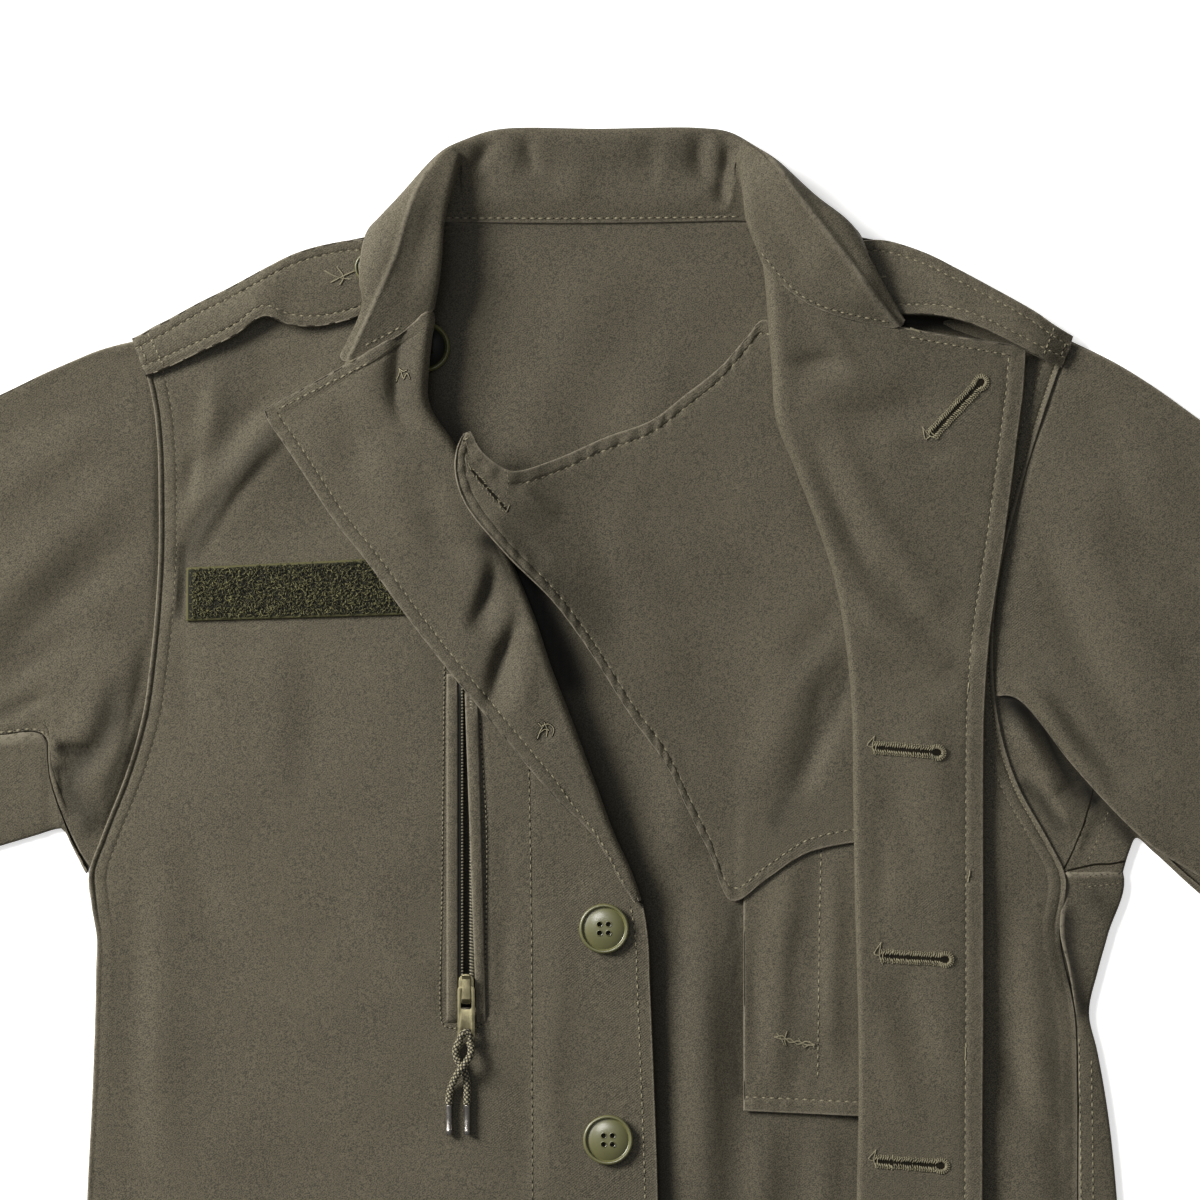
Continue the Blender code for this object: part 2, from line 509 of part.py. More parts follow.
def make_back():
    grid = []
    for row in BACK:
        edge = row.left - (SIDE_FOLD + CLOTH / 2 if row.seam else 0.0)
        line = [Vector((mix(row.right, edge, j / BACK_COLUMNS), row.y, FLOOR_LAYER)) for j in range(BACK_COLUMNS + 1)]
        line += turn(line[-1], (1.0, 0.0), SIDE_FOLD, TURN_COLUMNS)
        line.append(Vector((row.seam or edge - 10.0, row.y, SECOND_LAYER)))
        grid.append(line)
    return cloth("back", grid, CLOTH, "twill", lambda i, j: j < BACK_COLUMNS or BACK[i + 1].seam is not None)


def front_grid(table, folds, gorge_dip):
    """Sections of a front: across to the fold, round it, and out over the lapel."""
    turned = [row for row in table if row.roll]
    top = turned[-1].y
    grid = []
    for row in table:
        roll = row.roll or turned[0].roll
        if row.roll:
            edge = Vector((row.edge_x, row.edge_y))
            outward = (Vector((row.fold, row.y)) - edge).normalized()
            fold = Vector((row.fold, row.y)) - outward * (roll + DOUBLE_CLOTH / 2)
        else:
            edge = None
            outward = Vector((1.0, 0.0))
            fold = Vector((row.fold, row.y))
        line = []
        for j in range(BASE_COLUMNS + 1):
            x = mix(row.side, fold.x, j / BASE_COLUMNS)
            y = mix(row.y, fold.y, j / BASE_COLUMNS)
            line.append(Vector((x, y, lie(table, folds, x, y))))
        line += turn(line[-1], outward, roll, TURN_COLUMNS)
        dip = gorge_dip * max(0.0, 1 - (top - row.y) / GORGE_REACH)
        for j in range(1, LAPEL_COLUMNS + 1):
            t = (j / LAPEL_COLUMNS) ** 1.5
            if edge is None:
                line.append(line[-1].copy())
                continue
            flat = fold.lerp(edge, t)
            y = flat.y - dip * math.sin(math.pi * t ** 0.55)
            line.append(Vector((flat.x, y, lie(table, folds, flat.x, y) + mix(2 * roll, row.lift, t))))
        grid.append(line)
    return grid


def make_front(name, table, folds, gorge_dip):
    """A front with the part beyond its fold turned over, as thick as front and facing."""
    def present(i, j):
        return j < BASE_COLUMNS or (table[i].roll is not None and table[i + 1].roll is not None)

    def wall(_, j):
        return mix(CLOTH, DOUBLE_CLOTH, min(max((j - BASE_COLUMNS) / TURN_COLUMNS, 0.0), 1.0))

    return cloth(name, front_grid(table, folds, gorge_dip), wall, "twill", present)


# ------------------------------------------------------------------------ sleeves

def outline_right(y):
    return between(BACK, y, "right")[0] - SEAM_GAP


def outline_left(y):
    return between(BACK, y, "left")[0] + SEAM_GAP


def armhole_right(y):
    return between(FRONT_RIGHT, y, "side")[0] - SEAM_GAP


def armhole_left(y):
    return between(FRONT_LEFT, y, "side")[0] + SEAM_GAP


def steps_along(table, top, low):
    """Shares of the way down an armhole at which its table has rows."""
    inner = [(top - row.y) / (top - low) for row in reversed(table) if low + 3.0 < row.y < top - 3.0]
    return [0.0, *inner, 1.0]


def across(row, first, x_of, end, end_of_first, t):
    """A point across a sleeve row, which keeps part of the first row's curve."""
    top = (row.top_x, row.top_y)
    x, y = mix_points(top, end, t)
    first_x, first_y = mix_points((first.top_x, first.top_y), end_of_first, t)
    return x + row.shape * (x_of(first_y) - first_x), y


def make_sleeve_upper(name, table, front, armhole, folds):
    first = table[0]
    steps = steps_along(front, first.top_y, first.seam_y)
    grid = []
    for row in table:
        line = []
        for t in steps:
            x, y = across(row, first, armhole, (row.seam_x, row.seam_y), (first.seam_x, first.seam_y), t)
            fade = 4 * t * (1 - t)
            z = mix(SECOND_LAYER, row.seam_z, t) + row.belly * fade + ridges(folds, x, y) * min(1.0, 2 * fade)
            line.append(Vector((x, y, z)))
        grid.append(line)
    return cloth(name, grid, CLOTH, "twill")


def floor_line(row, first, outline):
    """The part of an under piece's section that lies on the floor."""
    steps = steps_along(BACK, first.top_y, first.low_y)
    low, first_low = (row.low_x, row.low_y), (first.low_x, first.low_y)
    return [Vector((*across(row, first, outline, low, first_low, t), FLOOR_LAYER)) for t in steps]


def make_sleeve_under_right():
    """Lies on the floor and comes round the low fold up to the underarm seam."""
    grid = []
    for row in SLEEVE_RIGHT:
        line = floor_line(row, SLEEVE_RIGHT[0], outline_right)
        seam = Vector((row.seam_x, row.seam_y))
        low = Vector((row.low_x, row.low_y))
        outward = (low - seam).normalized()
        line[-1].xy -= outward * (SIDE_FOLD + CLOTH / 2) * (0.0 if row is SLEEVE_RIGHT[0] else 1.0)
        floor_cells = len(line) - 1
        line += turn(line[-1], outward, SIDE_FOLD, TURN_COLUMNS)
        line.append(Vector((*(seam + outward * SEAM_GAP), row.seam_z)))
        grid.append(line)
    return cloth("sleeve_right_under", grid, CLOTH, "twill", lambda i, j: j < floor_cells or i > 0)


def make_sleeve_under_left():
    """Lies on the floor and comes round to the front below the armhole."""
    grid = []
    for index, row in enumerate(SLEEVE_LEFT):
        line = floor_line(row, SLEEVE_LEFT[0], outline_left)
        low = Vector((row.low_x, row.low_y))
        hidden = Vector(UNDERARM_LEFT[min(index, len(UNDERARM_LEFT) - 1)])
        outward = Vector((1.0, 0.0)) if index == 0 else (low - hidden).normalized()
        line[-1].xy -= outward * (SIDE_FOLD + CLOTH / 2)
        floor_cells = len(line) - 1
        line += turn(line[-1], outward, SIDE_FOLD, TURN_COLUMNS)
        start = line[-1].copy()
        armhole = [Vector((UNDERARM_LOW, start.y))]
        armhole += [Vector((armhole_left(y), y)) for y in UNDERARM_STEPS]
        for j, point in enumerate(armhole, 1):
            if index > 0:
                point = start.xy.lerp(hidden, j / len(armhole))
            line.append(Vector((point.x, point.y, SECOND_LAYER)))
        grid.append(line)
    last = len(UNDERARM_LEFT) - 1
    return cloth("sleeve_left_under", grid, CLOTH, "twill", lambda i, j: j < floor_cells or i < last)


# --------------------------------------------------------- collar, straps, flap

def make_collar():
    grid = [spline(section, COLLAR_STEPS) for section in COLLAR]
    return cloth("collar", grid, COLLAR_WALL, "twill")


def make_strap(name, table):
    grid = []
    for row in table:
        top = Vector((row.top_x, row.top_y, row.top_z))
        low = Vector((row.low_x, row.low_y, row.low_z))
        line = [top.lerp(low, j / STRAP_COLUMNS) for j in range(STRAP_COLUMNS + 1)]
        for j, point in enumerate(line):
            point.z += STRAP_SWELL * math.sin(math.pi * j / STRAP_COLUMNS)
        grid.append(line)
    return cloth(name, grid, STRAP_WALL, "twill")


def make_storm_flap():
    grid = []
    for row in STORM_FLAP:
        top = Vector((row.top_x, row.top_y, row.top_z))
        low = Vector((row.low_x, row.low_y, row.low_z))
        grid.append([top.lerp(low, j / FLAP_COLUMNS) for j in range(FLAP_COLUMNS + 1)])
    return cloth("storm_flap", grid, CLOTH, "twill")


def make_inner_pocket():
    """A sheet on the back's inside, its top under the storm flap."""
    left, right = INNER_POCKET_SIDES
    cells = INNER_POCKET_CELLS
    grid = []
    for i in range(cells + 1):
        line = []
        for j in range(cells + 1):
            low = mix(*INNER_POCKET_LOW, j / cells)
            line.append(Vector((mix(left, right, j / cells), mix(low, INNER_POCKET_TOP, i / cells), SECOND_LAYER)))
        grid.append(line)
    return cloth("inner_pocket", grid, CLOTH, "twill")


# ------------------------------------------------------------- on the right front

def strip_on_front(name, corners, rows, columns, rise, wall, finish_name):
    """A flat strip that lies on the right front, made from the front's own heights."""
    a, b, c, d = corners
    grid = []
    for i in range(rows + 1):
        start = mix_points(d, a, i / rows)
        end = mix_points(c, b, i / rows)
        line = []
        for j in range(columns + 1):
            x, y = mix_points(start, end, j / columns)
            line.append(Vector((x, y, lie_right(x, y) + rise)))
        grid.append(line)
    return cloth(name, grid, wall, finish_name)


def make_zip():
    """The two tapes inside the slot, and the two welts that lie along its edges."""
    half = ZIP_SLOT / 2 - SEAM_GAP
    top = ZIP_TOP - TAPE_END
    low = ZIP_LOW + TAPE_END
    for name, left in (("zip_tape_outer", ZIP_X - half), ("zip_tape_inner", ZIP_X + half - TAPE_WIDTH)):
        right = left + TAPE_WIDTH
        corners = ((left, top), (right, top), (right, low), (left, low))
        strip_on_front(name, corners, WELT_CELLS, 1, 0.0, TAPE_WALL, "zip tape")
    rise = CLOTH / 2 + SEAM_GAP + WELT_WALL / 2
    for name, sizes in (("welt_outer", WELT_OUTER), ("welt_inner", WELT_INNER)):
        top_left, top_right, low_left, low_right, top, low = sizes
        corners = ((top_left, top), (top_right, top), (low_right, low), (low_left, low))
        strip_on_front(name, corners, WELT_CELLS, 2, rise, WELT_WALL, "twill")


def cut_zip_slot(front):
    """The pocket's opening, through the lower layer of the front and not its lapel."""
    middle = lie_right(ZIP_X, ZIP_TOP)
    bm = bmesh.new()
    bmesh.ops.create_cube(bm, size=1.0)
    bmesh.ops.scale(bm, vec=(ZIP_SLOT, ZIP_TOP - ZIP_LOW, 6 * CLOTH), verts=bm.verts)
    bmesh.ops.translate(bm, vec=(ZIP_X, (ZIP_TOP + ZIP_LOW) / 2, middle - CLOTH), verts=bm.verts)
    cutter = add_object("zip_slot_cutter", mesh_from("zip_slot_cutter", bm), "twill")
    cutter.hide_render = True
    cutter.display_type = "WIRE"
    cut = front.modifiers.new("zip slot", "BOOLEAN")
    cut.operation = "DIFFERENCE"
    cut.object = cutter


def circle(radius, segments):
    """Points round a circle."""
    turns = [2 * math.pi * k / segments for k in range(segments)]
    return [(radius * math.cos(turn), radius * math.sin(turn)) for turn in turns]


def rounded_outline(width, length, radius, steps=4):
    """Corners of a flat shape with rounded corners, centred."""
    points = []
    for corner, (sx, sy) in enumerate(((1, 1), (-1, 1), (-1, -1), (1, -1))):
        for step in range(steps + 1):
            angle = math.pi / 2 * (corner + step / steps)
            points.append((sx * (width / 2 - radius) + radius * math.cos(angle),
                           sy * (length / 2 - radius) + radius * math.sin(angle)))
    return points


def slab(outline, z0, z1, axis="Z", centre=(0.0, 0.0)):
    """A closed slab of an outline between two levels along an axis, as a bmesh."""
    bm = bmesh.new()
    place = {
        "Z": lambda p, z: (p[0] + centre[0], p[1] + centre[1], z),
        "X": lambda p, z: (z, p[0] + centre[0], p[1] + centre[1]),
    }[axis]
    low = [bm.verts.new(place(p, z0)) for p in outline]
    high = [bm.verts.new(place(p, z1)) for p in outline]
    bm.faces.new(low[::-1])
    bm.faces.new(high)
    for i in range(len(outline)):
        k = (i + 1) % len(outline)
        bm.faces.new([low[i], low[k], high[k], high[i]])
    return bm


def boolean(thing, bm, operation):
    """Join or cut an object with another closed shape, now."""
    tool = add_object("tool", mesh_from("tool", bm), "aged brass")
    step = thing.modifiers.new(operation, "BOOLEAN")
    step.operation = operation
    step.object = tool
    evaluated = thing.evaluated_get(bpy.context.evaluated_depsgraph_get())
    mesh = bpy.data.meshes.new_from_object(evaluated)
    thing.modifiers.remove(step)
    thing.data = mesh
    bpy.data.objects.remove(tool)


def make_slider(z):
    """Slider body with the crown that holds the pull tab."""
    top = z + SLIDER_WALL
    middle = PULL_Y - SLIDER_SHIFT
    body = slab(rounded_outline(SLIDER_WIDTH, SLIDER_LENGTH, SLIDER_CORNER), z, top, centre=(ZIP_X, middle))
    slider = add_object("zip_slider", mesh_from("zip_slider", body), "aged brass")
    outside = [(CROWN_LENGTH / 2, -CROWN_FOOT), (CROWN_LENGTH / 2, CROWN_RISE / 2),
               (CROWN_LENGTH / 2 - CROWN_SLOPE, CROWN_RISE)]
    inside = [(x - CROWN_WALL, y - (CROWN_WALL if y > CROWN_RISE / 2 else 0.0)) for x, y in outside]
    arch = outside + [(-x, y) for x, y in reversed(outside)]
    arch += [(-x, y) for x, y in inside] + [(x, y) for x, y in reversed(inside)]
    half = CROWN_WIDTH / 2
    boolean(slider, slab(arch, ZIP_X - half, ZIP_X + half, "X", (middle, top)), "UNION")
    return slider


def make_pull(z):
    """Pull tab round the crown, turning about its top bar, with an eye at its end."""
    half = PULL_WALL / 2
    top = PULL_BAR / 2
    outline = rounded_outline(PULL_WIDTH, PULL_LENGTH, PULL_CORNER)
    plate = slab(outline, -half, half, centre=(0.0, top - PULL_LENGTH / 2))
    pull = add_object("zip_pull", mesh_from("zip_pull", plate), "aged brass")
    slot_width, slot_length = PULL_SLOT
    slot = rounded_outline(slot_width, slot_length, PULL_CORNER - 0.4)
    boolean(pull, slab(slot, -PULL_WALL, PULL_WALL, centre=(0.0, -top - slot_length / 2)), "DIFFERENCE")
    eye_width, eye_length = PULL_EYE
    eye = rounded_outline(eye_width, eye_length, PULL_CORNER)
    eye_middle = top - PULL_LENGTH + EYE_WALL + eye_length / 2
    boolean(pull, slab(eye, -PULL_WALL, PULL_WALL, centre=(0.0, eye_middle)), "DIFFERENCE")
    pull.location = (ZIP_X * MM, PULL_Y * MM, z * MM)
    return pull


def cord_height(x, y):
    return lie_right(x, y) + CLOTH / 2 + SEAM_GAP + CORD / 2


def make_cord(name, route):
    """A cord end lying on the front, a round tube along a smooth line."""
    knots = [Vector((x, y, cord_height(x, y) + rise)) for x, y, rise in route]
    fine = spline(knots, 12)
    points = [fine[0]]
    for point in fine[1:-1]:
        if (point - points[-1]).length >= CORD * CORD_STEP and (point - fine[-1]).length >= CORD:
            points.append(point)
    points.append(fine[-1])
    curve = bpy.data.curves.new(name, "CURVE")
    curve.dimensions = "3D"
    curve.bevel_depth = CORD / 2 * MM
    curve.bevel_resolution = 2
    curve.use_fill_caps = True
    line = curve.splines.new("POLY")
    line.points.add(len(points) - 1)
    for knot, point in zip(line.points, points):
        knot.co = (*(point * MM), 1.0)
    thing = bpy.data.objects.new(name, curve)
    bpy.context.scene.collection.objects.link(thing)
    curve.materials.append(finish("cord"))
    return thing


def make_ferrule(name, x):
    """A short tube at the end of a cord, narrower at its tip."""
    z = cord_height(x, FERRULE_Y)
    radius = FERRULE / 2
    rings = [(0.0, radius), (FERRULE_TIP - FERRULE_LENGTH, radius), (-FERRULE_LENGTH, radius / 2)]
    bm = bmesh.new()
    loops = [[bm.verts.new((x + dx, FERRULE_Y + reach, z + dz)) for dx, dz in circle(size, FERRULE_SEGMENTS)]
             for reach, size in rings]
    bm.faces.new(loops[0])
    bm.faces.new(loops[-1][::-1])
    for near, far in zip(loops, loops[1:]):
        for k in range(FERRULE_SEGMENTS):
            n = (k + 1) % FERRULE_SEGMENTS
            bm.faces.new([near[k], near[n], far[n], far[k]])
    mesh = mesh_from(name, bm)
    mesh.shade_smooth()
    return add_object(name, mesh, "ferrule")


# ------------------------------------------------------------------------ buttons

def button_mesh(name, diameter):
    """A dished button with a raised rim and four holes, standing on its back."""
    scale = diameter / FRONT_BUTTON
    bm = bmesh.new()
    rings = [[bm.verts.new((x * scale, y * scale, height * scale)) for x, y in circle(radius, BUTTON_SEGMENTS)]
             for radius, height in BUTTON_PROFILE]
    bm.faces.new(rings[0][::-1])
    bm.faces.new(rings[-1])
    for low, high in zip(rings, rings[1:]):
        for k in range(BUTTON_SEGMENTS):
            n = (k + 1) % BUTTON_SEGMENTS
            bm.faces.new([low[k], low[n], high[n], high[k]])
    disc = add_object(name, mesh_from(name, bm), "button")
    hole = [(x * scale, y * scale) for x, y in circle(BUTTON_HOLE / 2, HOLE_SEGMENTS)]
    pitch = HOLE_PITCH / 2 * scale
    for centre in ((-pitch, -pitch), (pitch, -pitch), (pitch, pitch), (-pitch, pitch)):
        boolean(disc, slab(hole, -CLOTH, FRONT_BUTTON / 2, centre=centre), "DIFFERENCE")
    mesh = disc.data
    bpy.data.objects.remove(disc)
    mesh.shade_smooth()
    mesh.set_sharp_from_angle(angle=math.radians(40))
    return mesh


def highest(x, y):
    """Highest mid height of the right front under a button."""
    rim = circle(BUTTON_PROFILE[0][0], BUTTON_SEGMENTS)
    return max(lie_right(x + dx, y + dy) for dx, dy in [(0.0, 0.0), *rim])


def make_buttons():
    large = button_mesh("front_button", FRONT_BUTTON)
    small = button_mesh("strap_button", STRAP_BUTTON)
    on_cloth = CLOTH / 2 + SEAM_GAP
    places = {"button_lapel": (large, *LAPEL_BUTTON, highest(*LAPEL_BUTTON) + on_cloth),
              "button_neck": (large, *NECK_BUTTON, CLOTH + SEAM_GAP),
              "button_strap_right": (small, *STRAP_BUTTONS[0]),
              "button_strap_left": (small, *STRAP_BUTTONS[1])}
    for index, x in enumerate(FRONT_BUTTON_X):
        y = FIRST_BUTTON_Y - index * BUTTON_PITCH
        places[f"button_front_{index + 1}"] = (large, x, y, highest(x, y) + on_cloth)
    for name, (mesh, x, y, z) in places.items():
        button = add_object(name, mesh, "button")
        button.location = (x * MM, y * MM, z * MM)


# ---------------------------------------------------------------------- the jacket

def main():
    for thing in list(bpy.data.objects):
        bpy.data.objects.remove(thing)
    make_back()
    right = make_front("front_right", FRONT_RIGHT, FOLDS_RIGHT, RIGHT_GORGE_DIP)
    cut_zip_slot(right)
    make_front("front_left", FRONT_LEFT, FOLDS_LEFT, LEFT_GORGE_DIP)
    make_sleeve_upper("sleeve_right_upper", SLEEVE_RIGHT, FRONT_RIGHT, armhole_right, FOLDS_RIGHT_SLEEVE)
    make_sleeve_upper("sleeve_left_upper", SLEEVE_LEFT, FRONT_LEFT, armhole_left, FOLDS_LEFT_SLEEVE)
    make_sleeve_under_right()
    make_sleeve_under_left()
    make_collar()
    make_strap("strap_right", STRAP_RIGHT)
    make_strap("strap_left", STRAP_LEFT)
    make_storm_flap()
    make_inner_pocket()
    rise = CLOTH / 2 + SEAM_GAP + STRIP_WALL / 2
    strip_on_front("loop_strip", TAPE_STRIP, *STRIP_CELLS, rise, STRIP_WALL, "loop pile")
    make_zip()
    slider_low = lie_right(ZIP_X, PULL_Y) + TAPE_WALL / 2 + SEAM_GAP
    make_slider(slider_low)
    make_pull(slider_low + SLIDER_WALL + SEAM_GAP + PULL_BAR / 2)
    make_cord("pull_cord_right", CORD_RIGHT_ROUTE)
    make_cord("pull_cord_left", CORD_LEFT_ROUTE)
    make_ferrule("ferrule_right", FERRULE_X[0])
    make_ferrule("ferrule_left", FERRULE_X[1])
    make_buttons()


main()
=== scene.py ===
"""Field jacket: the finish of every piece, made round the frame that holds its sizes.

Tables are in millimetres, and a mesh is turned to metres as it is made. The jacket
lies on its back in the XY plane with its hem towards -Y. Right and left are the
wearer's, so the right front is at -X.
"""

import math
from collections import namedtuple

import bmesh
import bpy
import numpy as np
from mathutils import Matrix, Vector
from mathutils.bvhtree import BVHTree
from mathutils.kdtree import KDTree


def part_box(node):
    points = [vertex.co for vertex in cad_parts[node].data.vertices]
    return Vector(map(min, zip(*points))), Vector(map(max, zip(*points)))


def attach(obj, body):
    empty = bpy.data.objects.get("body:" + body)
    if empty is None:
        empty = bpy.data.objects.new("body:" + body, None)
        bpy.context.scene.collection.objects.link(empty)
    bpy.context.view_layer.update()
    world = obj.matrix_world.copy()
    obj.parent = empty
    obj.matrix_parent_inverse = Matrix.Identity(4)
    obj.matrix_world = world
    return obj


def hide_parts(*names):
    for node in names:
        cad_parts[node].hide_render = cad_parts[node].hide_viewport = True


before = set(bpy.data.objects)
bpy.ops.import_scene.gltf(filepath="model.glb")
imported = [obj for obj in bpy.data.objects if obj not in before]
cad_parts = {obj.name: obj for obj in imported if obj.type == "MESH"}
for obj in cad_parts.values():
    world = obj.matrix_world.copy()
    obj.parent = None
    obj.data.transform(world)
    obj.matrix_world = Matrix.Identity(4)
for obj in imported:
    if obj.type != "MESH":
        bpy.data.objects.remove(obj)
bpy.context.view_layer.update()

bl_info = {
    "name": "Field Jacket",
    "version": (1, 0, 0),
    "blender": (4, 5, 0),
    "location": "View3D > Sidebar > Jacket",
    "description": "Makes a field jacket that lies open on its back, piece by piece",
    "category": "Add Mesh",
}

MM = 0.001

# ---------------------------------------------------------------- driving sizes

CLOTH = 1.2             # single wall of the cotton twill
DOUBLE_CLOTH = 1.8      # front and facing stitched together
COLLAR_WALL = 2.0       # upper and under collar stitched together
STRAP_WALL = 1.6
SEAM_GAP = 0.3          # between pieces that are sewn edge to edge
FLOOR_LAYER = CLOTH / 2
SECOND_LAYER = 2.4      # mid height of the layer that lies on the back
SIDE_FOLD = (SECOND_LAYER - FLOOR_LAYER) / 2

FRONT_BUTTON = 25.0     # diameters
STRAP_BUTTON = 16.0
BUTTON_PITCH = 105.5    # down the front
BUTTON_HOLE = 2.6
HOLE_PITCH = 4.4
FIRST_BUTTON_Y = -164.0
FRONT_BUTTON_X = (2.0, 4.0, 5.0, 5.5)


def table_of(kind, rows):
    """Rows of a table, by their named columns."""
    return [kind(*row) for row in rows]


Crease = namedtuple("Crease", "height width soft path")
# a soft ridge along a path, or a trough below 0: its width on the left of the
# path, and how many times that it is on the right
Dark = namedtuple("Dark", "path width strength")
# painted shade: paths along which the cloth is painted darker, where folds, gaps and pieces above would shade
# it


# ------------------------------------------------------------------- body tables

BackRow = namedtuple("BackRow", "y right left seam")
# y, right outline, left outline, and how far the left side comes round to the
# front (the side seam there), None above the armhole
BACK = table_of(BackRow, [
    (-530, -259, 262, 240),
    (-415, -258, 261, 239.5),
    (-300, -256.5, 258.5, 239),
    (-250, -254, 253, 239),
    (-225, -253, 248.5, 238.6),
    (-207, -252.4, 244.5, 237.6),
    (-185, -252, 249, 234.2),
    (-167, -251.5, 254, 230),
    (-136, -255.5, 261.5, 232.5),
    (-114, -247.5, 247, None),
    (-85, -236.5, 231, None),
    (-47, -226.5, 218, None),
    (0, -221.5, 213, None),
    (50, -220.5, 214, None),
    (90, -222, 221, None),
    (112, -226.5, 228.5, None),
    (130, -232.5, 235, None),
    (148, -200, 209, None),
    (165, -168, 178, None),
    (178, -134, 146, None),
    (187.4, -82, 80, None),
])

FrontRow = namedtuple("FrontRow", "y side fold fold_z belly roll edge_x edge_y lift")
# y, side or armhole edge, fold or front edge, its height, swell between them,
# radius of the fold, free edge of the turned part and how far that edge is above
# the cloth it lies on; a row with no turned part has roll None
FRONT_RIGHT = table_of(FrontRow, [
    (-530, -258.7, 30, 6.6, 1, None, 0, 0, 0),
    (-415, -257.7, 29.5, 6.9, 1.6, None, 0, 0, 0),
    (-300, -256.2, 29, 7.3, 2, None, 0, 0, 0),
    (-232, -252.9, 26.7, 7.6, 2, None, 0, 0, 0),
    (-191, -251.8, 25, 7.8, 2, None, 0, 0, 0),
    (-168, -251.6, 24, 8, 2, None, 0, 0, 0),
    (-152, -254.2, 21.4, 8.2, 2, None, 0, 0, 0),
    (-150, -254.4, 20.9, 8.2, 2, 1.2, 17, -151, 3.2),
    (-137, -255.4, 16.6, 8.4, 2, 2.2, 9.5, -139.5, 4.2),
    (-119, -249.4, 8.4, 8.6, 2, 2.5, -1.5, -120.5, 4.6),
    (-87, -237, -3.6, 8.8, 2, 2.9, -23, -98.5, 5.4),
    (-54.5, -228, -15.8, 9, 2, 3.3, -46.5, -70.5, 5.6),
    (-32.5, -225, -24.4, 9, 2, 3.5, -61.5, -52.5, 5),
    (-9.5, -222.6, -32, 8.8, 1.8, 3.6, -77.5, -33, 4.4),
    (21, -220.7, -44.5, 8.4, 1.6, 3.8, -97.5, -7, 4),
    (50, -220.5, -58, 8, 1.6, 4, -116, 18.5, 4),
    (77.5, -221.2, -71.8, 7.6, 1.6, 4.3, -134.5, 42, 4),
    (97, -223.2, -84.5, 7.3, 1.6, 4.7, -147.5, 62, 4),
    (118, -228.2, -85, 7, 1.6, 5, -160, 81, 4),
    (130, -232.4, -83.8, 7, 1.4, 5, -165, 88, 4),
    (145.5, -204, -84, 7, 1, 5, -168, 95, 4),
    (153, -191, -92, 6.6, 0.6, None, 0, 0, 0),
    (166, -165.5, -92.5, 6.2, 0.4, None, 0, 0, 0),
    (177, -137, -92.5, 4.6, 0.2, None, 0, 0, 0),
    (184, -103, -92, 2.6, 0, None, 0, 0, 0),
])
RIGHT_GORGE_DIP = 2.4

FRONT_LEFT = table_of(FrontRow, [
    (-530, 239.7, 126.5, 4.2, 1, 1.9, 190, -530, 4.6),
    (-415, 239.2, 127.2, 4.6, 1, 1.9, 190.5, -415, 4.6),
    (-300, 238.7, 128, 5.6, 0.8, 1.9, 191, -300, 4.6),
    (-245, 238.6, 129, 6, 0.6, 1.9, 191.2, -245, 4.6),
    (-207, 237.3, 128.7, 6, 0.6, 1.9, 191.5, -207, 4.6),
    (-167, 229.7, 127.6, 6.2, 0.6, 1.9, 191.5, -167, 4.6),
    (-136, 232.2, 126.8, 6.4, 0.6, 1.9, 191.5, -136, 4.6),
    (-121.5, 225, 126.6, 6.4, 0.6, 1.9, 191.5, -121.5, 4.6),
    (-92.5, 209, 126.2, 6.2, 0.6, 2, 191.5, -92.5, 4.6),
    (-56, 198.5, 125.6, 5.8, 0.6, 2.1, 192, -56, 4.7),
    (-29.5, 196.5, 123.5, 5.4, 0.6, 2.3, 193.5, -31.5, 4.8),
    (17.5, 200.5, 115, 5, 0.8, 2.8, 197.5, 2, 4.9),
    (39.5, 206, 107.5, 5, 0.8, 3.2, 200.5, 20, 5),
    (67.5, 213.8, 96.5, 5, 0.8, 3.8, 203.7, 43.5, 5),
    (89, 220.5, 88, 5.2, 0.8, 4.2, 206, 61, 4.9),
    (117, 230, 85.5, 5.6, 0.6, 4.6, 208.7, 83, 4.6),
    (130, 235, 84.4, 5.8, 0.6, 4.8, 210, 92.6, 4.3),
    (141.5, 219, 83.5, 6, 0.6, 5, 211.2, 101.6, 4.4),
    (158, 188.2, 82.2, 6.1, 0.4, 5, 212.2, 115.1, 4.5),
    (169, 167.6, 81.1, 6.2, 0.2, 5, 212.8, 124.1, 4.6),
    (172, 162, 81, 6.2, 0.2, 5, 213, 126.6, 4.6),
    (178, 146, 96, 4.8, 0.2, None, 0, 0, 0),
    (184, 113, 99, 2.6, 0, None, 0, 0, 0),
])
LEFT_GORGE_DIP = 14
GORGE_REACH = 40      # how far down the lapel its top edge's curve fades out

# Largest folds of the fronts and sleeves: a ridge from one end to the other
Fold = namedtuple("Fold", "x0 y0 x1 y1 height width")
FOLDS_RIGHT = table_of(Fold, [
    (-150, 85, -205, 20, 1, 13),
    (-130, -160, -80, -222, 0.8, 14),
    (-228, -150, -231, -300, 0.8, 10),
])
FOLDS_LEFT = table_of(Fold, [
    (214, -150, 222, -330, 0.8, 10),
])
FOLDS_RIGHT_SLEEVE = table_of(Fold, [
    (-262, 30, -340, -40, 1.6, 14),
    (-300, 60, -420, -10, 1.4, 18),
    (-520, -40, -600, -130, 1.6, 18),
])
FOLDS_LEFT_SLEEVE = table_of(Fold, [
    (262, 40, 330, -70, 1.6, 15),
    (245, 60, 300, 20, 1.2, 14),
    (500, -90, 560, -200, 1.6, 18),
])

# ----------------------------------------------------------------- sleeve tables

SleeveRow = namedtuple("SleeveRow", "top_x top_y low_x low_y seam_x seam_y seam_z belly shape")
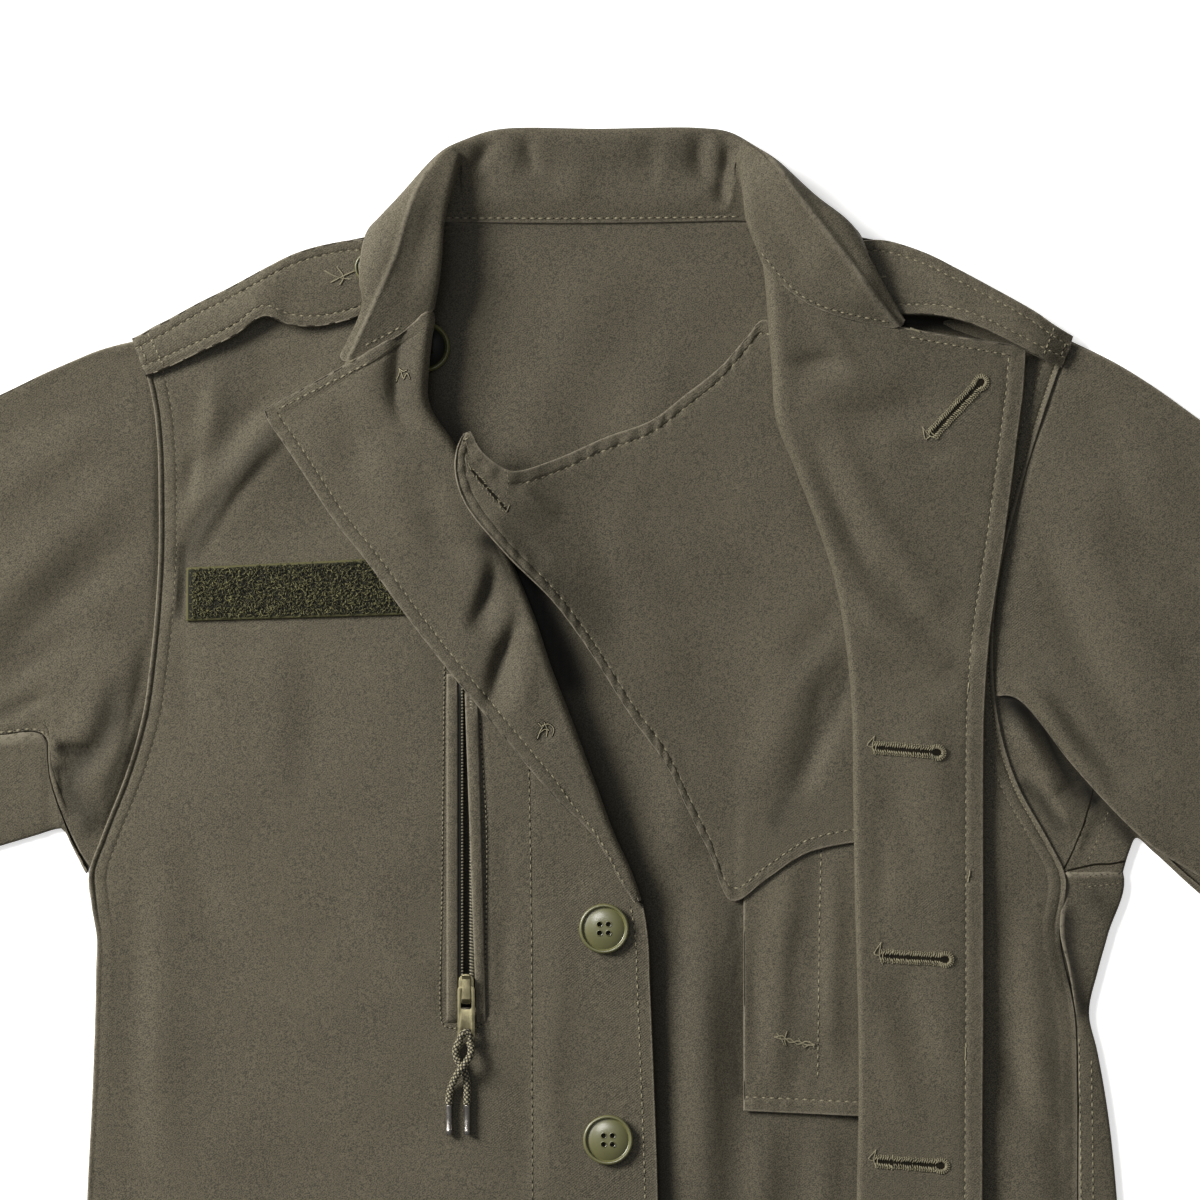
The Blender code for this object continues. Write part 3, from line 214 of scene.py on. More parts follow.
# top fold, low fold, lower edge of the upper piece with its height, swell of the
# upper piece, and how much the row still has of the armhole's curve
SLEEVE_RIGHT = table_of(SleeveRow, [
    (-233.4, 129.4, -255.8, -136, -255.6, -135.4, 2.4, 1, 1),
    (-238, 128.4, -259.8, -130.5, -259.4, -129.4, 2.4, 1.4, 0.80),
    (-252, 124.4, -267.6, -115, -269.4, -107, 2.4, 1.8, 0.35),
    (-263, 119.8, -273.6, -115, -275, -88, 2.4, 2, 0.18),
    (-274, 115, -280, -117, -276, -71, 2.4, 2.2, 0.05),
    (-300, 102.5, -300, -123, -300, -67, 2.4, 2.4, 0),
    (-370, 73.5, -362, -141, -364, -86, 2.4, 2.4, 0),
    (-480, 26.5, -463, -170.5, -467, -120, 2.4, 2.4, 0),
    (-590, -20.5, -563, -199.5, -569, -154, 2.4, 2.4, 0),
    (-700, -68, -662, -228.5, -670, -188, 2.4, 2, 0),
    (-814, -117, -762, -258, -772, -222.5, 2.4, 1.2, 0),
])
SLEEVE_LEFT = table_of(SleeveRow, [
    (236, 129.4, 263.9, -135.4, 197.4, -48, 4.4, 1, 1),
    (246, 124.6, 266, -125, 211, -50.5, 4.6, 1.6, 0.60),
    (258, 118.4, 268.5, -119, 236, -82, 4.8, 2, 0.25),
    (276, 107.2, 277.6, -126.4, 268, -116.5, 4.6, 2.2, 0.05),
    (300, 90, 300, -146.5, 299, -138, 2.6, 2.4, 0),
    (370, 43.5, 360, -184, 358, -174.5, 2.4, 2.4, 0),
    (470, -22.5, 446, -232, 444, -224, 2.4, 2.4, 0),
    (580, -95.5, 542, -279, 540, -273, 2.4, 2.2, 0),
    (680, -161.5, 628, -318.5, 626, -313, 2.4, 1.8, 0),
    (775.5, -224.8, 709.5, -357, 707.5, -352, 2.4, 1.2, 0),
])
# the left under piece comes round to the front at the underarm: where that part
# ends, hidden under the upper piece, at each of the first sleeve rows
UNDERARM_LEFT = [(197.8, -40), (224, -42), (248, -76), (276, -110)]
UNDERARM_LOW = 234.6    # x where the left armhole's front and back curves meet
UNDERARM_STEPS = (-121.5, -107, -92.5, -70, -40)      # heights up the armhole

# ---------------------------------------------------------------- smaller pieces

CollarRow = namedtuple("CollarRow", "neck roll face crest over fall")
# sections of the collar from its right end round the neck to its left end:
# neck seam, where it rolls over the neck edge, inner face, crest, outside, free edge
COLLAR = table_of(CollarRow, [
    ((-90, 146.6, 8), (-83.6, 145.4, 14.5), (-101, 131.4, 15.8), (-126.5, 118.6, 12.5), (-129.2, 120.6, 11.6),
              (-124.5, 127, 11.8)),
    ((-90, 153.6, 7.6), (-82, 152.8, 16), (-98, 148.5, 18.4), (-114.5, 143.5, 18.6), (-118.4, 144.4, 16.5),
              (-117, 146, 14.5)),
    ((-90, 161, 7), (-80.8, 160.5, 16.8), (-94, 159.5, 19.6), (-108, 158.2, 21), (-117, 158.6, 19),
              (-119.4, 159, 14.8)),
    ((-90, 170, 6.4), (-79.6, 172, 17), (-90.5, 172, 20), (-102, 172, 22), (-113, 173, 20),
              (-119, 172.4, 14.8)),
    ((-89.6, 180, 4.6), (-78.6, 188, 16), (-87, 189.5, 18.8), (-96.5, 191, 20.6), (-107, 190.4, 16.4),
              (-114.6, 185.6, 8.5)),
    ((-86, 189, 2.2), (-75, 206, 14), (-81.5, 207.5, 15.8), (-89, 209, 16.6), (-96, 205.2, 9),
              (-101, 194.5, 2)),
    ((-78, 189, 1.9), (-70.5, 222, 8.6), (-73.5, 223.5, 9.4), (-77, 224.2, 9.2), (-79.4, 221.8, 4.8),
              (-81, 197, 1)),
    ((-66, 188.8, 1.9), (-66, 200, 4.2), (-65.5, 215, 4.6), (-65, 229, 5.2), (-65, 230, 2.4), (-66, 197, 1)),
    ((-50, 188.4, 1.9), (-50, 200, 4.2), (-50, 216, 4.6),
     (-50, 233.2, 5.2), (-50, 234.2, 2.4), (-50, 197, 1)),
    ((0, 188.2, 1.9), (0, 200, 4.2), (0, 216, 4.6), (0, 233.4, 5.2), (0, 234.4, 2.4), (0, 197, 1)),
    ((50, 189, 1.9), (50, 200, 4.2), (50, 216, 4.6), (50, 233.8, 5.2), (50, 234.8, 2.4), (50, 197, 1)),
    ((64, 189.4, 1.9), (64, 200, 4.2), (64.5, 217, 4.6), (65, 231.6, 5.2), (65, 232.6, 2.4), (64, 197, 1)),
    ((75, 189, 1.9), (69.5, 222, 8.4), (73, 224.5, 9.4), (77, 225.6, 9.2), (79.6, 222.8, 4.8), (79, 197, 1)),
    ((84, 188.6, 2.2), (72, 204, 13.6), (79, 212.5, 16), (87, 218, 16.6), (92, 214.5, 9), (96, 198.5, 2)),
    ((90, 184, 4.4), (73.5, 190.5, 15), (85, 199, 18.4), (98, 202.6, 19.6), (107, 201.4, 12.5),
              (109.5, 191, 5)),
    ((94, 181.5, 5.4), (75.6, 184, 15.6), (94, 184.5, 19.2), (112, 184.6, 21), (121.6, 189, 16.4),
              (127.5, 184.2, 10)),
    ((96, 178.5, 6), (77.8, 178.4, 15.6), (99, 168, 18.8), (126, 166.6, 20.4), (133.6, 169.6, 17.6),
              (135, 167, 14.5)),
    ((97, 175, 7), (79.6, 174.4, 15.2), (101.4, 155, 17.4), (137.5, 151.2, 17), (141.4, 155.4, 15.8),
              (140, 158.4, 14.6)),
    ((98, 172.2, 8), (81.2, 170.6, 14.4), (103, 148.2, 16), (149.4, 136, 12.2), (151.6, 138.6, 11.8),
              (147.5, 143.6, 12.8)),
])

StrapRow = namedtuple("StrapRow", "top_x top_y low_x low_y top_z low_z")
STRAP_RIGHT = table_of(StrapRow, [
    (-234, 130.6, -227, 111.4, 4.4, 4.7),
    (-226.6, 134.2, -217, 115.4, 5.4, 5.8),
    (-201, 148.2, -199, 123.8, 7.6, 8.6),
    (-184, 156.6, -182.6, 131.6, 8.6, 10.4),
    (-168.6, 165, -167.5, 141.4, 9.4, 12),
    (-152, 173.2, -155.6, 137.2, 9.2, 10.6),
    (-135, 178, -141.6, 136.4, 8.6, 9.6),
    (-118, 180, -125, 139.8, 8.4, 9.2),
    (-101, 176, -108, 146, 8.6, 9),
])
STRAP_LEFT = table_of(StrapRow, [
    (236.4, 131.8, 230.6, 116.2, 4.3, 4.6),
    (227, 137.4, 220.4, 120.2, 8.4, 10.8),
    (217.4, 144, 211.6, 124.8, 9.6, 12.6),
    (192, 158.2, 187.6, 136.6, 9.2, 12.2),
    (177, 166.2, 169.6, 141.6, 9, 11.4),
    (162, 173.6, 150.6, 142.4, 8.8, 10),
    (140.6, 179.8, 137, 143.4, 8.4, 9.4),
    (122, 178.4, 121, 148, 8.4, 9),
])

FlapRow = namedtuple("FlapRow", "top_x top_y top_z low_x low_y low_z")
# storm flap, from the end of its buttonhole tab to the edge sewn in the left front
STORM_FLAP = table_of(FlapRow, [
    (-64.6, 84.2, 19.6, -68.4, 82.6, 19.4),
    (-62.2, 81, 19.6, -71.4, 75.5, 19.4),
    (-60, 76, 19.4, -72.4, 64, 19.2),
    (-53, 69.2, 18.6, -67.4, 48, 18.8),
    (-43.6, 64.4, 16.6, -47, 22.8, 18.4),
    (-23.6, 69.8, 9.8, -23.4, -1, 14.6),
    (3, 81.4, 5.4, -4, -27.4, 11),
    (26, 90, 3.8, 16, -59, 8.6),
    (42, 102, 3, 33, -82.4, 6.8),
    (59.6, 116, 2.6, 43.4, -104, 5.4),
    (73, 131, 2.5, 54.4, -126, 4.8),
    (81.6, 140, 2.5, 66, -150.6, 4.4),
    (97, 129, 2.5, 84, -139, 4.4),
    (113, 62, 2.5, 104, -126.4, 4.4),
    (138, -20, 3.2, 141, -119, 4.4),
])

INNER_POCKET_LOW = (-255.4, -258.6)      # lower edge at its left and right end
FLAP_ON_POCKET = 4.6    # least mid height of the storm flap over the pocket piece and elsewhere
FLAP_ON_BACK = 1.9
INNER_POCKET_TOP = -96
INNER_POCKET_SIDES = (71.6, 142)

# Chest pocket zip, in the right front, with a welt along each side
ZIP_X = -66.8
ZIP_TOP = -40
ZIP_LOW = -203.5
ZIP_SLOT = 9
TAPE_WIDTH = 2.4
TAPE_WALL = 1
TOOTH_LEVEL = (0.1, TAPE_WIDTH - 0.1)   # from each tape's left edge, where its teeth's height is taken
TAPE_END = 1          # tape's clearance to the slot's ends
WELT_WALL = 1.2
# left and right edge at the top, left and right edge at the low end, top and low end
WELT_OUTER = (-76.6, -71, -76.6, -71, -37, -210.6)
WELT_INNER = (-67.6, -61.0, -61.7, -56.9, -46, -210.6)


CORD = 3.8
FERRULE = 3.4
FERRULE_PROFILE = [     # share of its radius and height in mm, from the cord's side to the open end
    (0, 0), (0.72, 0), (0.95, 0.15), (1, 0.5), (0.93, 0.9), (0.93, 12.4), (1, 12.8), (1, 13.6), (0.9, 14),
    (0.8, 14.75), (0.55, 15), (0.4, 14.7), (0, 14.5),
]
FERRULE_X = (-75.4, -66.4)
FERRULE_Y = -252
CORD_RIGHT_ROUTE = [    # from the pull tab's eye to the ferrule further from the front edge
    (-65.4, -219.8, 1.2), (-64.2, -223.6, 2.2), (-65, -227.8, 4), (-67.4, -231.4, 4.6), (-70, -234.8, 4.4),
    (-72.4, -239, 2.4), (-74.4, -244, 0.4), (-75.3, -248.6, 0), (-75.4, -251.7, 0),
]
CORD_LEFT_ROUTE = [
    (-70.2, -219.8, 1), (-71.8, -223.6, 0.6), (-71.8, -227.6, 0.1), (-70, -231.4, 0), (-67.8, -235.4, 0),
    (-66.6, -240, 0), (-66.3, -245, 0), (-66.4, -251.7, 0),
]
HITCH = [               # through the pull tab's eye and round both cord ends
    (-70.0, -222.0, 0.6), (-69.6, -218.4, 2.8), (-68.2, -216.0, 3.8), (-66.4, -215.6, 3.6),
    (-64.8, -217.6, 3.0), (-64.6, -221.0, 1.8)]

TAPE_STRIP = ((-206.6, 16.2), (-84, 22), (-84, -7), (-206.8, -10.6))   # loop strip corners
STRIP_WALL = 1.4
PILE_MARGIN = 1.3       # plain selvedge at the ends of the pile
PILE_RADIUS = 1.1       # of a loop of the pile, and of its thread
PILE_THREAD = 0.21

# ------------------------------------------------------- how edges and seams are made

EDGE_STEPS = np.array((0.0, 0.5, 1.5, 3.0, 4.6, 5.8, 6.5, 7.0, 7.5, 8.3, 10.2))
HEM_INSET = 7.0         # topstitching from an edge, at which the steps above lie closest
HEM_RISE = 0.30         # how much a turned-in edge is thicker
HEM_GROOVE = 0.45       # how deep its stitches pull in
HEM_PUCKER = 0.28
EDGE_WEAR_AND_HIGHLIGHT = 0.9         # how far the pale edge reaches in from a cut or folded edge: partly wear, partly painted highlight
SEAM_STEPS = np.array((0.0, 0.5, 1.1, 1.7, 2.2, 2.7, 3.3, 4.4, 6.0, 7.4, 8.2, 8.8, 9.4, 10.4, 12.6))
SEAM_INSET = 8.8        # second row of stitches beside an armhole seam
SEAM_RIDGE = 0.9        # rise of a body piece's edge over the sleeve that goes under it
TUCK = 1.7              # how far a sleeve's edge goes under it
LAPEL_INSET = 6.4       # topstitching from the right lapel's free edge
STRIP_INSET = 8.6       # topstitching from the left front's free edge
COLLAR_INSET = 3.4      # thicker band along the collar's sewn edge
STRAP_INSET = 5.4
FLAP_INSET = 6.6
SLOT_INSET = 3.0        # closer cells beside the zip's slot
SLOT_FADE = (-30.0, 38.0)       # heights between which the slot's columns spread out again
FRONT_STEP = 2.6        # length of the cells of the fronts and of the back
BACK_STEP = 3.4
CELLS_RIGHT = ((44, 3, 24), 8, 30)      # beside, across and past the zip's slot, round the fold, turned part
CELLS_LEFT = (26, 8, 30)
FRAMED_LOW = -300       # y below which cells are COARSE_STEP long, outside the framed part
COARSE_STEP = 9.0
FRAMED_SLEEVE = 318     # x where a sleeve's cells get longer, outside the framed part
FINE_STEP = 1.7         # length of a sleeve's cells before that
FINE_UNDERARM = 80      # width beside the underarm seam with finer cells
TURN_STEPS = 6          # cells round a low side fold
CORNERS = ((0, 0), (0, 1), (1, 0), (1, 1))
NARROW = 10             # narrower strips than this are no sheets of cloth

CORD_SIDES = 30
CORD_RING_STEP = 0.32   # between rings of a braided cord
BRAID_PITCH = 2.3       # along the cord, from one yarn to the next of the same lay
BRAID_DEPTH = 0.42

# ------------------------------------------------------------- smooth lines, relief


def smooth(knots, values, at):
    """Values at `at` on a smooth line through (knots, values)."""
    knots = np.asarray(knots, float)
    values = np.asarray(values, float)
    at = np.clip(at, knots[0], knots[-1])
    gap = np.diff(knots)[:, None]
    rise = np.diff(values, axis=0) / gap
    within = (rise[:-1] * gap[1:] + rise[1:] * gap[:-1]) / (gap[1:] + gap[:-1])
    slope = np.vstack([rise[:1], within, rise[-1:]])
    k = np.clip(np.searchsorted(knots, at, side="right") - 1, 0, len(knots) - 2)
    h = gap[k]
    t = ((at - knots[k]) / h[:, 0])[:, None]
    a, b = values[k], values[k + 1]
    return (a * (1 + 2 * t) * (1 - t) ** 2 + b * t * t * (3 - 2 * t)
            + h * (slope[k] * t * (1 - t) ** 2 + slope[k + 1] * t * t * (t - 1)))


def columns(rows, key, at, *fields):
    """Columns of a table at values of its key column, on smooth lines."""
    knots = [abs(getattr(row, key)) if key != "y" else row.y for row in rows]
    values = [[getattr(row, field) for field in fields] for row in rows]
    return smooth(knots, values, np.asarray(at, float)).T


def through(points, at):
    """A smooth curve through points, at shares counted in points."""
    points = np.asarray(points, float)
    steps = np.sqrt(np.linalg.norm(np.diff(points, axis=0), axis=1)).clip(1e-3)
    knots = np.concatenate([[0.0], np.cumsum(steps)])
    return smooth(knots, points, np.interp(at, np.arange(len(points)), knots))


def net(sections, down, across):
    """A fine grid on smooth curves both ways through a coarse one."""
    lines = np.array([through(section, across) for section in sections])
    return np.stack([through(lines[:, j], down) for j in range(lines.shape[1])], axis=1)


def length_along(line):
    return np.concatenate([[0.0], np.cumsum(np.linalg.norm(np.diff(line, axis=0), axis=1))])


def unit(vectors):
    return vectors / np.linalg.norm(vectors, axis=-1, keepdims=True).clip(1e-9)


def shares(points, step, near, far=0.0):
    """Shares along a coarse line, `step` apart in mm, closer at ends that have an inset."""
    fine = through(points, np.linspace(0, len(points) - 1, 40 * len(points)))
    run = length_along(fine)
    count = max(2, round(run[-1] / step))
    marks = spread([run[-1]], count, near, far)[0]
    return np.interp(marks, run, np.linspace(0, len(points) - 1, 40 * len(points)))


def spread(width, count, near=0.0, far=0.0):
    """Distances from 0 to each width, `count` even cells and closer ones at its ends."""
    width = np.asarray(width, float)[:, None]
    start = end = np.zeros_like(width)
    if near == SEAM_INSET:
        start = SEAM_STEPS * np.minimum(1, 0.42 * width / SEAM_STEPS[-1])
    elif near:
        start = EDGE_STEPS * np.minimum(near / HEM_INSET, 0.42 * width / EDGE_STEPS[-1])
    if far:
        end = EDGE_STEPS * np.minimum(far / HEM_INSET, 0.42 * width / EDGE_STEPS[-1])
    end = width - end[:, ::-1]
    inner = np.linspace(0, 1, count + 1)[1:-1]
    return np.hstack([start, start[:, -1:] + (end[:, :1] - start[:, -1:]) * inner, end])


def levels(stops, step):
    """Heights between stops, `step` apart, and coarser below the framed part."""
    marks = []
    for low, high in zip(stops, stops[1:]):
        count = max(1, round((high - low) / (step if high > FRAMED_LOW else COARSE_STEP)))
        marks += list(np.linspace(low, high, count, endpoint=False))
    return np.array([*marks, stops[-1]])


def edge_up(y):
    """Heights of the closer cells above an edge."""
    return list(y + EDGE_STEPS)


def edge_down(y):
    """Heights of the closer cells below an edge."""
    return list(y - EDGE_STEPS[::-1])


def ease(value, low, high):
    """0 below low, 1 above high, smooth between."""
    t = np.clip((value - low) / (high - low), 0, 1)
    return t * t * (3 - 2 * t)


def undulation(x, y, size, seed):
    """Soft uneven rise and fall of about 1, `size` from crest to crest."""
    random = np.random.default_rng(seed)
    total = np.zeros(np.shape(x))
    for _ in range(9):
        angle = random.uniform(0, 2 * math.pi)
        wave = size * random.uniform(0.7, 1.6)
        along = x * math.cos(angle) + y * math.sin(angle)
        total = total + np.sin(2 * math.pi * (along / wave + random.uniform()))
    return total / 3


def waves(x, y, *layers):
    """Rise and fall of uneven cloth: height, size and seed of each layer."""
    return sum(height * undulation(x, y, size, seed) for height, size, seed in layers)


def nearest(path, x, y):
    """Distance to a path, share of the way along it, and the side that a point is on."""
    path = np.asarray(path, float)
    run = length_along(path)
    best = np.full(np.shape(x), 1e9)
    share = np.zeros(np.shape(x))
    side = np.ones(np.shape(x))
    for (x0, y0), (x1, y1), start, end in zip(path, path[1:], run, run[1:]):
        dx, dy = x1 - x0, y1 - y0
        t = np.clip(((x - x0) * dx + (y - y0) * dy) / (dx * dx + dy * dy), 0, 1)
        distance = np.hypot(x - x0 - t * dx, y - y0 - t * dy)
        closer = distance < best
        best = np.where(closer, distance, best)
        share = np.where(closer, (start + t * (end - start)) / run[-1], share)
        side = np.where(closer, np.where(dx * (y - y0) - dy * (x - x0) > 0, 1.0, -1.0), side)
    return best, share, side


def creases(table, x, y):
    """Height that the listed creases add."""
    total = np.zeros(np.shape(x))
    for height, width, soft, path in table:
        fine = through(path, np.linspace(0, len(path) - 1, 6 * len(path)))
        distance, share, side = nearest(fine, x, y)
        reach = distance / np.where(side > 0, width, width * soft)
        total = total + height * np.sin(math.pi * share) ** 0.7 * np.exp(-reach * reach)
    return total


def pucker(run, seed):
    """Uneven ripple along a seam, 8 to 12 mm from crest to crest."""
    phase = np.random.default_rng(seed).uniform(0, 2 * math.pi, 4)
    bend = 0.9 * np.sin(run / 7.3 + phase[0]) + 1.4 * np.sin(run / 17.0 + phase[1])
    strength = 0.62 + 0.38 * np.sin(run / 23.0 + phase[2]) * np.sin(run / 9.1 + phase[3])
    return np.sin(2 * math.pi * run / 10.0 + bend) * strength


def hem(distance, run, inset, seed, rise=HEM_RISE, ripple=HEM_PUCKER):
    """Relief of a turned-in edge: thicker up to its topstitching, drawn in along it."""
    band = 1 / (1 + np.exp(np.clip((distance - inset) / 0.3, -30, 30)))
    groove = np.exp(-((distance - inset) / 0.8) ** 2)
    swell = np.exp(-((distance - 0.75 * inset) / (0.6 * inset)) ** 2)
    return rise * band - HEM_GROOVE * groove + ripple * pucker(run, seed) * swell


def groove(path, x, y, depth, width, ripple=0.12, seed=0):
    """Relief of a row of stitches across a piece."""
    distance, share, _ = nearest(path, x, y)
    run = share * length_along(np.asarray(path, float))[-1]
    line = -depth * np.exp(-(distance / width) ** 2)
    return line + ripple * pucker(run, seed) * np.exp(-(distance / 5.0) ** 2)


def edge_run(points, axis, last):
    """Distance of each grid point from the first or last line, and its way along it."""
    points = np.moveaxis(points, axis, 0)
    if last:
        points = points[::-1]
    away = np.concatenate([np.zeros((1, points.shape[1])),
                           np.cumsum(np.linalg.norm(np.diff(points, axis=0), axis=2), axis=0)])
    run = np.broadcast_to(length_along(points[0]), away.shape)
    if last:
        away = away[::-1]
    return np.moveaxis(away, 0, axis), np.moveaxis(run, 0, axis)


def nearest_edge(points, *edges):
    """The same from the nearest of some edges, each an axis and whether it is the last line."""
    away, run = edge_run(points, *edges[0])
    for edge in edges[1:]:
        other, other_run = edge_run(points, *edge)
        run = np.where(other <= away, other_run, run)
        away = np.minimum(other, away)
    return away, run


# ------------------------------------------------------------------ cloth as panels

def all_cells(points):
    """Marks every cell of a grid as cloth."""
    return np.ones((points.shape[0] - 1, points.shape[1] - 1), bool)


class Panel:
    """A cloth piece: a grid of points in the middle of its wall, in mm."""

    def __init__(self, name, points, wall, cells=None):
        self.name = name
        self.points = np.array(points, float)
        size = self.points.shape[:2]
        self.wall = np.broadcast_to(np.asarray(wall, float), size)
        self.cells = all_cells(self.points) if cells is None else cells
        self.trees = {}
        self.worn = np.zeros(size)          # creases painted pale: partly wear, partly painted highlight
        self.unfaded = np.zeros(size)       # painted shade where folds and pieces above would shade the cloth

    def facings(self):
        """Unit normals of the grid points, from the cells that the piece has."""
        p = self.points
        facing = np.cross(p[1:, 1:] - p[:-1, :-1], p[1:, :-1] - p[:-1, 1:])
        facing[~self.cells] = 0
        total = np.zeros_like(p)
        for i, j in CORNERS:
            total[i:i + facing.shape[0], j:j + facing.shape[1]] += facing
        return unit(total)

    def flat(self):
        """Width, length and area of the cloth before it was folded, in metres."""
        p = self.points
        wide = (np.linalg.norm(np.diff(p, axis=1), axis=2)[:-1] * self.cells).sum(axis=1).max()
        tall = (np.linalg.norm(np.diff(p, axis=0), axis=2)[:, :-1] * self.cells).sum(axis=0).max()
        cross = np.cross(p[1:, 1:] - p[:-1, :-1], p[1:, :-1] - p[:-1, 1:])
        area = (np.linalg.norm(cross, axis=2) / 2)[self.cells].sum()
        return (wide * MM, tall * MM), min(area * MM * MM, wide * tall * MM * MM)

    def mesh(self):
        """The wall round the grid, with a rounded rim at every cut edge."""
        facing = self.facings()
        half = (self.wall / 2)[..., None]
        used = np.zeros(self.points.shape[:2], bool)
        for i, j in CORNERS:
            used[i:i + self.cells.shape[0], j:j + self.cells.shape[1]] |= self.cells
        index = np.full(used.shape, -1)
        index[used] = np.arange(used.sum())
        padded = np.pad(self.cells, 1)
        inner = padded[1:-1, 1:-1]
        i, j = np.indices(self.cells.shape)
        rim = []
        for free, start, end in ((inner & ~padded[:-2, 1:-1], (0, 0), (0, 1)),
                                 (inner & ~padded[1:-1, 2:], (0, 1), (1, 1)),
                                 (inner & ~padded[2:, 1:-1], (1, 1), (1, 0)),
                                 (inner & ~padded[1:-1, :-2], (1, 0), (0, 0))):
            a = index[i[free] + start[0], j[free] + start[1]]
            b = index[i[free] + end[0], j[free] + end[1]]
            rim.append(np.stack([a, b], axis=1))
        rim = np.vstack(rim)
        place, normal, thick = self.points[used], facing[used], half[used]
        out = np.zeros_like(place)
        sideways = np.cross(place[rim[:, 1]] - place[rim[:, 0]], normal[rim[:, 0]])
        np.add.at(out, rim[:, 0], sideways)
        np.add.at(out, rim[:, 1], sideways)
        out = unit(out)
        on_rim = np.unique(rim)
        is_rim = np.zeros((len(place), 1))
        is_rim[on_rim] = 1
        tuck = out * thick * 0.5 * is_rim
        upper = place + normal * thick - tuck
        lower = place - normal * thick - tuck
        middle = np.full(len(place), -1)
        middle[on_rim] = 2 * len(place) + np.arange(len(on_rim))
        points = np.vstack([upper, lower, place[on_rim]])
        points[:, 2] = points[:, 2].clip(0)
        corner = [index[:-1, :-1][self.cells], index[:-1, 1:][self.cells],
                  index[1:, 1:][self.cells], index[1:, :-1][self.cells]]
        top = np.stack(corner, axis=1)
        low = top[:, ::-1] + len(place)
        a, b = rim.T
        wall = np.vstack([np.stack([b, a, middle[a], middle[b]], axis=1),
                          np.stack([middle[b], middle[a], a + len(place), b + len(place)], axis=1)])
        mesh = bpy.data.meshes.new(self.name)
        mesh.from_pydata(points * MM, [], np.vstack([top, low, wall]).tolist())
        mesh.shade_smooth()
        tree = KDTree(len(on_rim))
        for k, point in enumerate(place[on_rim]):
            tree.insert(point, k)
        tree.balance()
        away = np.array([tree.find(point)[2] for point in place])
        # pale edges and creases, partly wear and partly painted highlight; then the painted shade
        worn = np.maximum(np.exp(-(away / EDGE_WEAR_AND_HIGHLIGHT) ** 2), self.worn[used])
        dark = self.unfaded[used]
        shared = {"wear": [worn, worn, np.ones(len(on_rim))], "unfaded": [dark, dark, dark[on_rim]]}
        for key, values in shared.items():
            mesh.attributes.new(key, "FLOAT", "POINT").data.foreach_set(
                "value", np.concatenate(values).astype(np.float32))
        return mesh

    def paint_shade(self, table, part=slice(None)):
        """Paints shade along paths: painted shade, darker cloth where folds and pieces above would shade it.
        """
        x, y = self.points[:, part, 0], self.points[:, part, 1]
        for path, width, strength in table:
            away = nearest(path, x, y)[0] / width
            self.unfaded[:, part] = np.maximum(self.unfaded[:, part], strength * np.exp(-away * away))

    def lines(self, rows, wide):
        """Points on the upper surface along part of the grid, and their normals."""
        facing = self.facings()[rows, wide]
        facing = facing * np.where(facing[..., 2:] < 0, -1, 1)
        return self.points[rows, wide] + facing * self.wall[rows, wide][..., None] / 2, facing

    def drop(self, path, step=1.0, part=slice(None)):
        """Points and normals where a path, seen from above, lies on the upper surface."""
        key = (part.start, part.stop)
        if key not in self.trees:
            points = self.points[:, part]
            cells = self.cells[:, slice(part.start, None if part.stop is None else part.stop - 1)]
            cells = cells[:, :points.shape[1] - 1]
            wide = points.shape[1]
            corner = np.argwhere(cells) @ (wide, 1)
            faces = np.stack([corner, corner + 1, corner + wide + 1, corner + wide], axis=1)
            self.trees[key] = BVHTree.FromPolygons(points.reshape(-1, 3).tolist(), faces.tolist())
        path = np.asarray(path, float)
        fine = through(path, np.linspace(0, len(path) - 1, 12 * len(path))) if len(path) > 2 else path
        run = length_along(fine)
        marks = np.linspace(0, run[-1], max(2, round(run[-1] / step) + 1))
        places, ups = [], []
        for x, y in zip(np.interp(marks, run, fine[:, 0]), np.interp(marks, run, fine[:, 1])):
            hit, up, _, _ = self.trees[key].ray_cast(Vector((x, y, 100)), Vector((0, 0, -1)))
            if hit is None:
                continue
            up = up if up.z > 0 else -up
            places.append(np.array(hit) + np.array(up) * self.wall[0, -1] / 2)
            ups.append(np.array(up))
        return np.array(places), np.array(ups)


def put(name, mesh, material):
    """A new piece in the scene, at the origin."""
    thing = bpy.data.objects.new(name, mesh)
    bpy.context.scene.collection.objects.link(thing)
    if material is not None:
        thing.data.materials.clear()
        thing.data.materials.append(material)
    return thing


def dress(piece, body, slot, *nodes):
    """Hangs a piece on its body and in place of its nodes; `slot` is not used."""
    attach(piece, body)
    if nodes:
        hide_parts(*nodes)
    return piece


def place_cloth(panel, material, slot="twill"):
    """A panel's piece in place of its node; the flat size of its cloth is worked out but not kept."""
    piece = dress(put(panel.name + "_cloth", panel.mesh(), material), "jacket", slot, panel.name)
    flat, area = panel.flat()
    min(flat) >= NARROW * MM
    return piece


# --------------------------------------------------------------------- node trees

class Wire:
    """An output socket that takes part in sums and products."""

    def __init__(self, graph, socket):
        self.graph = graph
        self.socket = socket

    def other(self, name):
        return Wire(self.graph, self.socket.node.outputs[name])

    def maths(self, operation, *values):
        return self.graph.add("ShaderNodeMath", {"operation": operation}, dict(enumerate(values)))

    def __add__(self, value):
        return self.maths("ADD", self, value)

    def __sub__(self, value):
        return self.maths("SUBTRACT", self, value)

    def __rsub__(self, value):
        return self.maths("SUBTRACT", value, self)

    def __mul__(self, value):
        return self.maths("MULTIPLY", self, value)

    __radd__ = __add__
    __rmul__ = __mul__

    def ease(self, low, high):
        """0 below low, 1 above high, smooth between."""
        return self.graph.add("ShaderNodeMapRange", {"interpolation_type": "SMOOTHSTEP"},
                              {"Value": self, "From Min": low, "From Max": high})


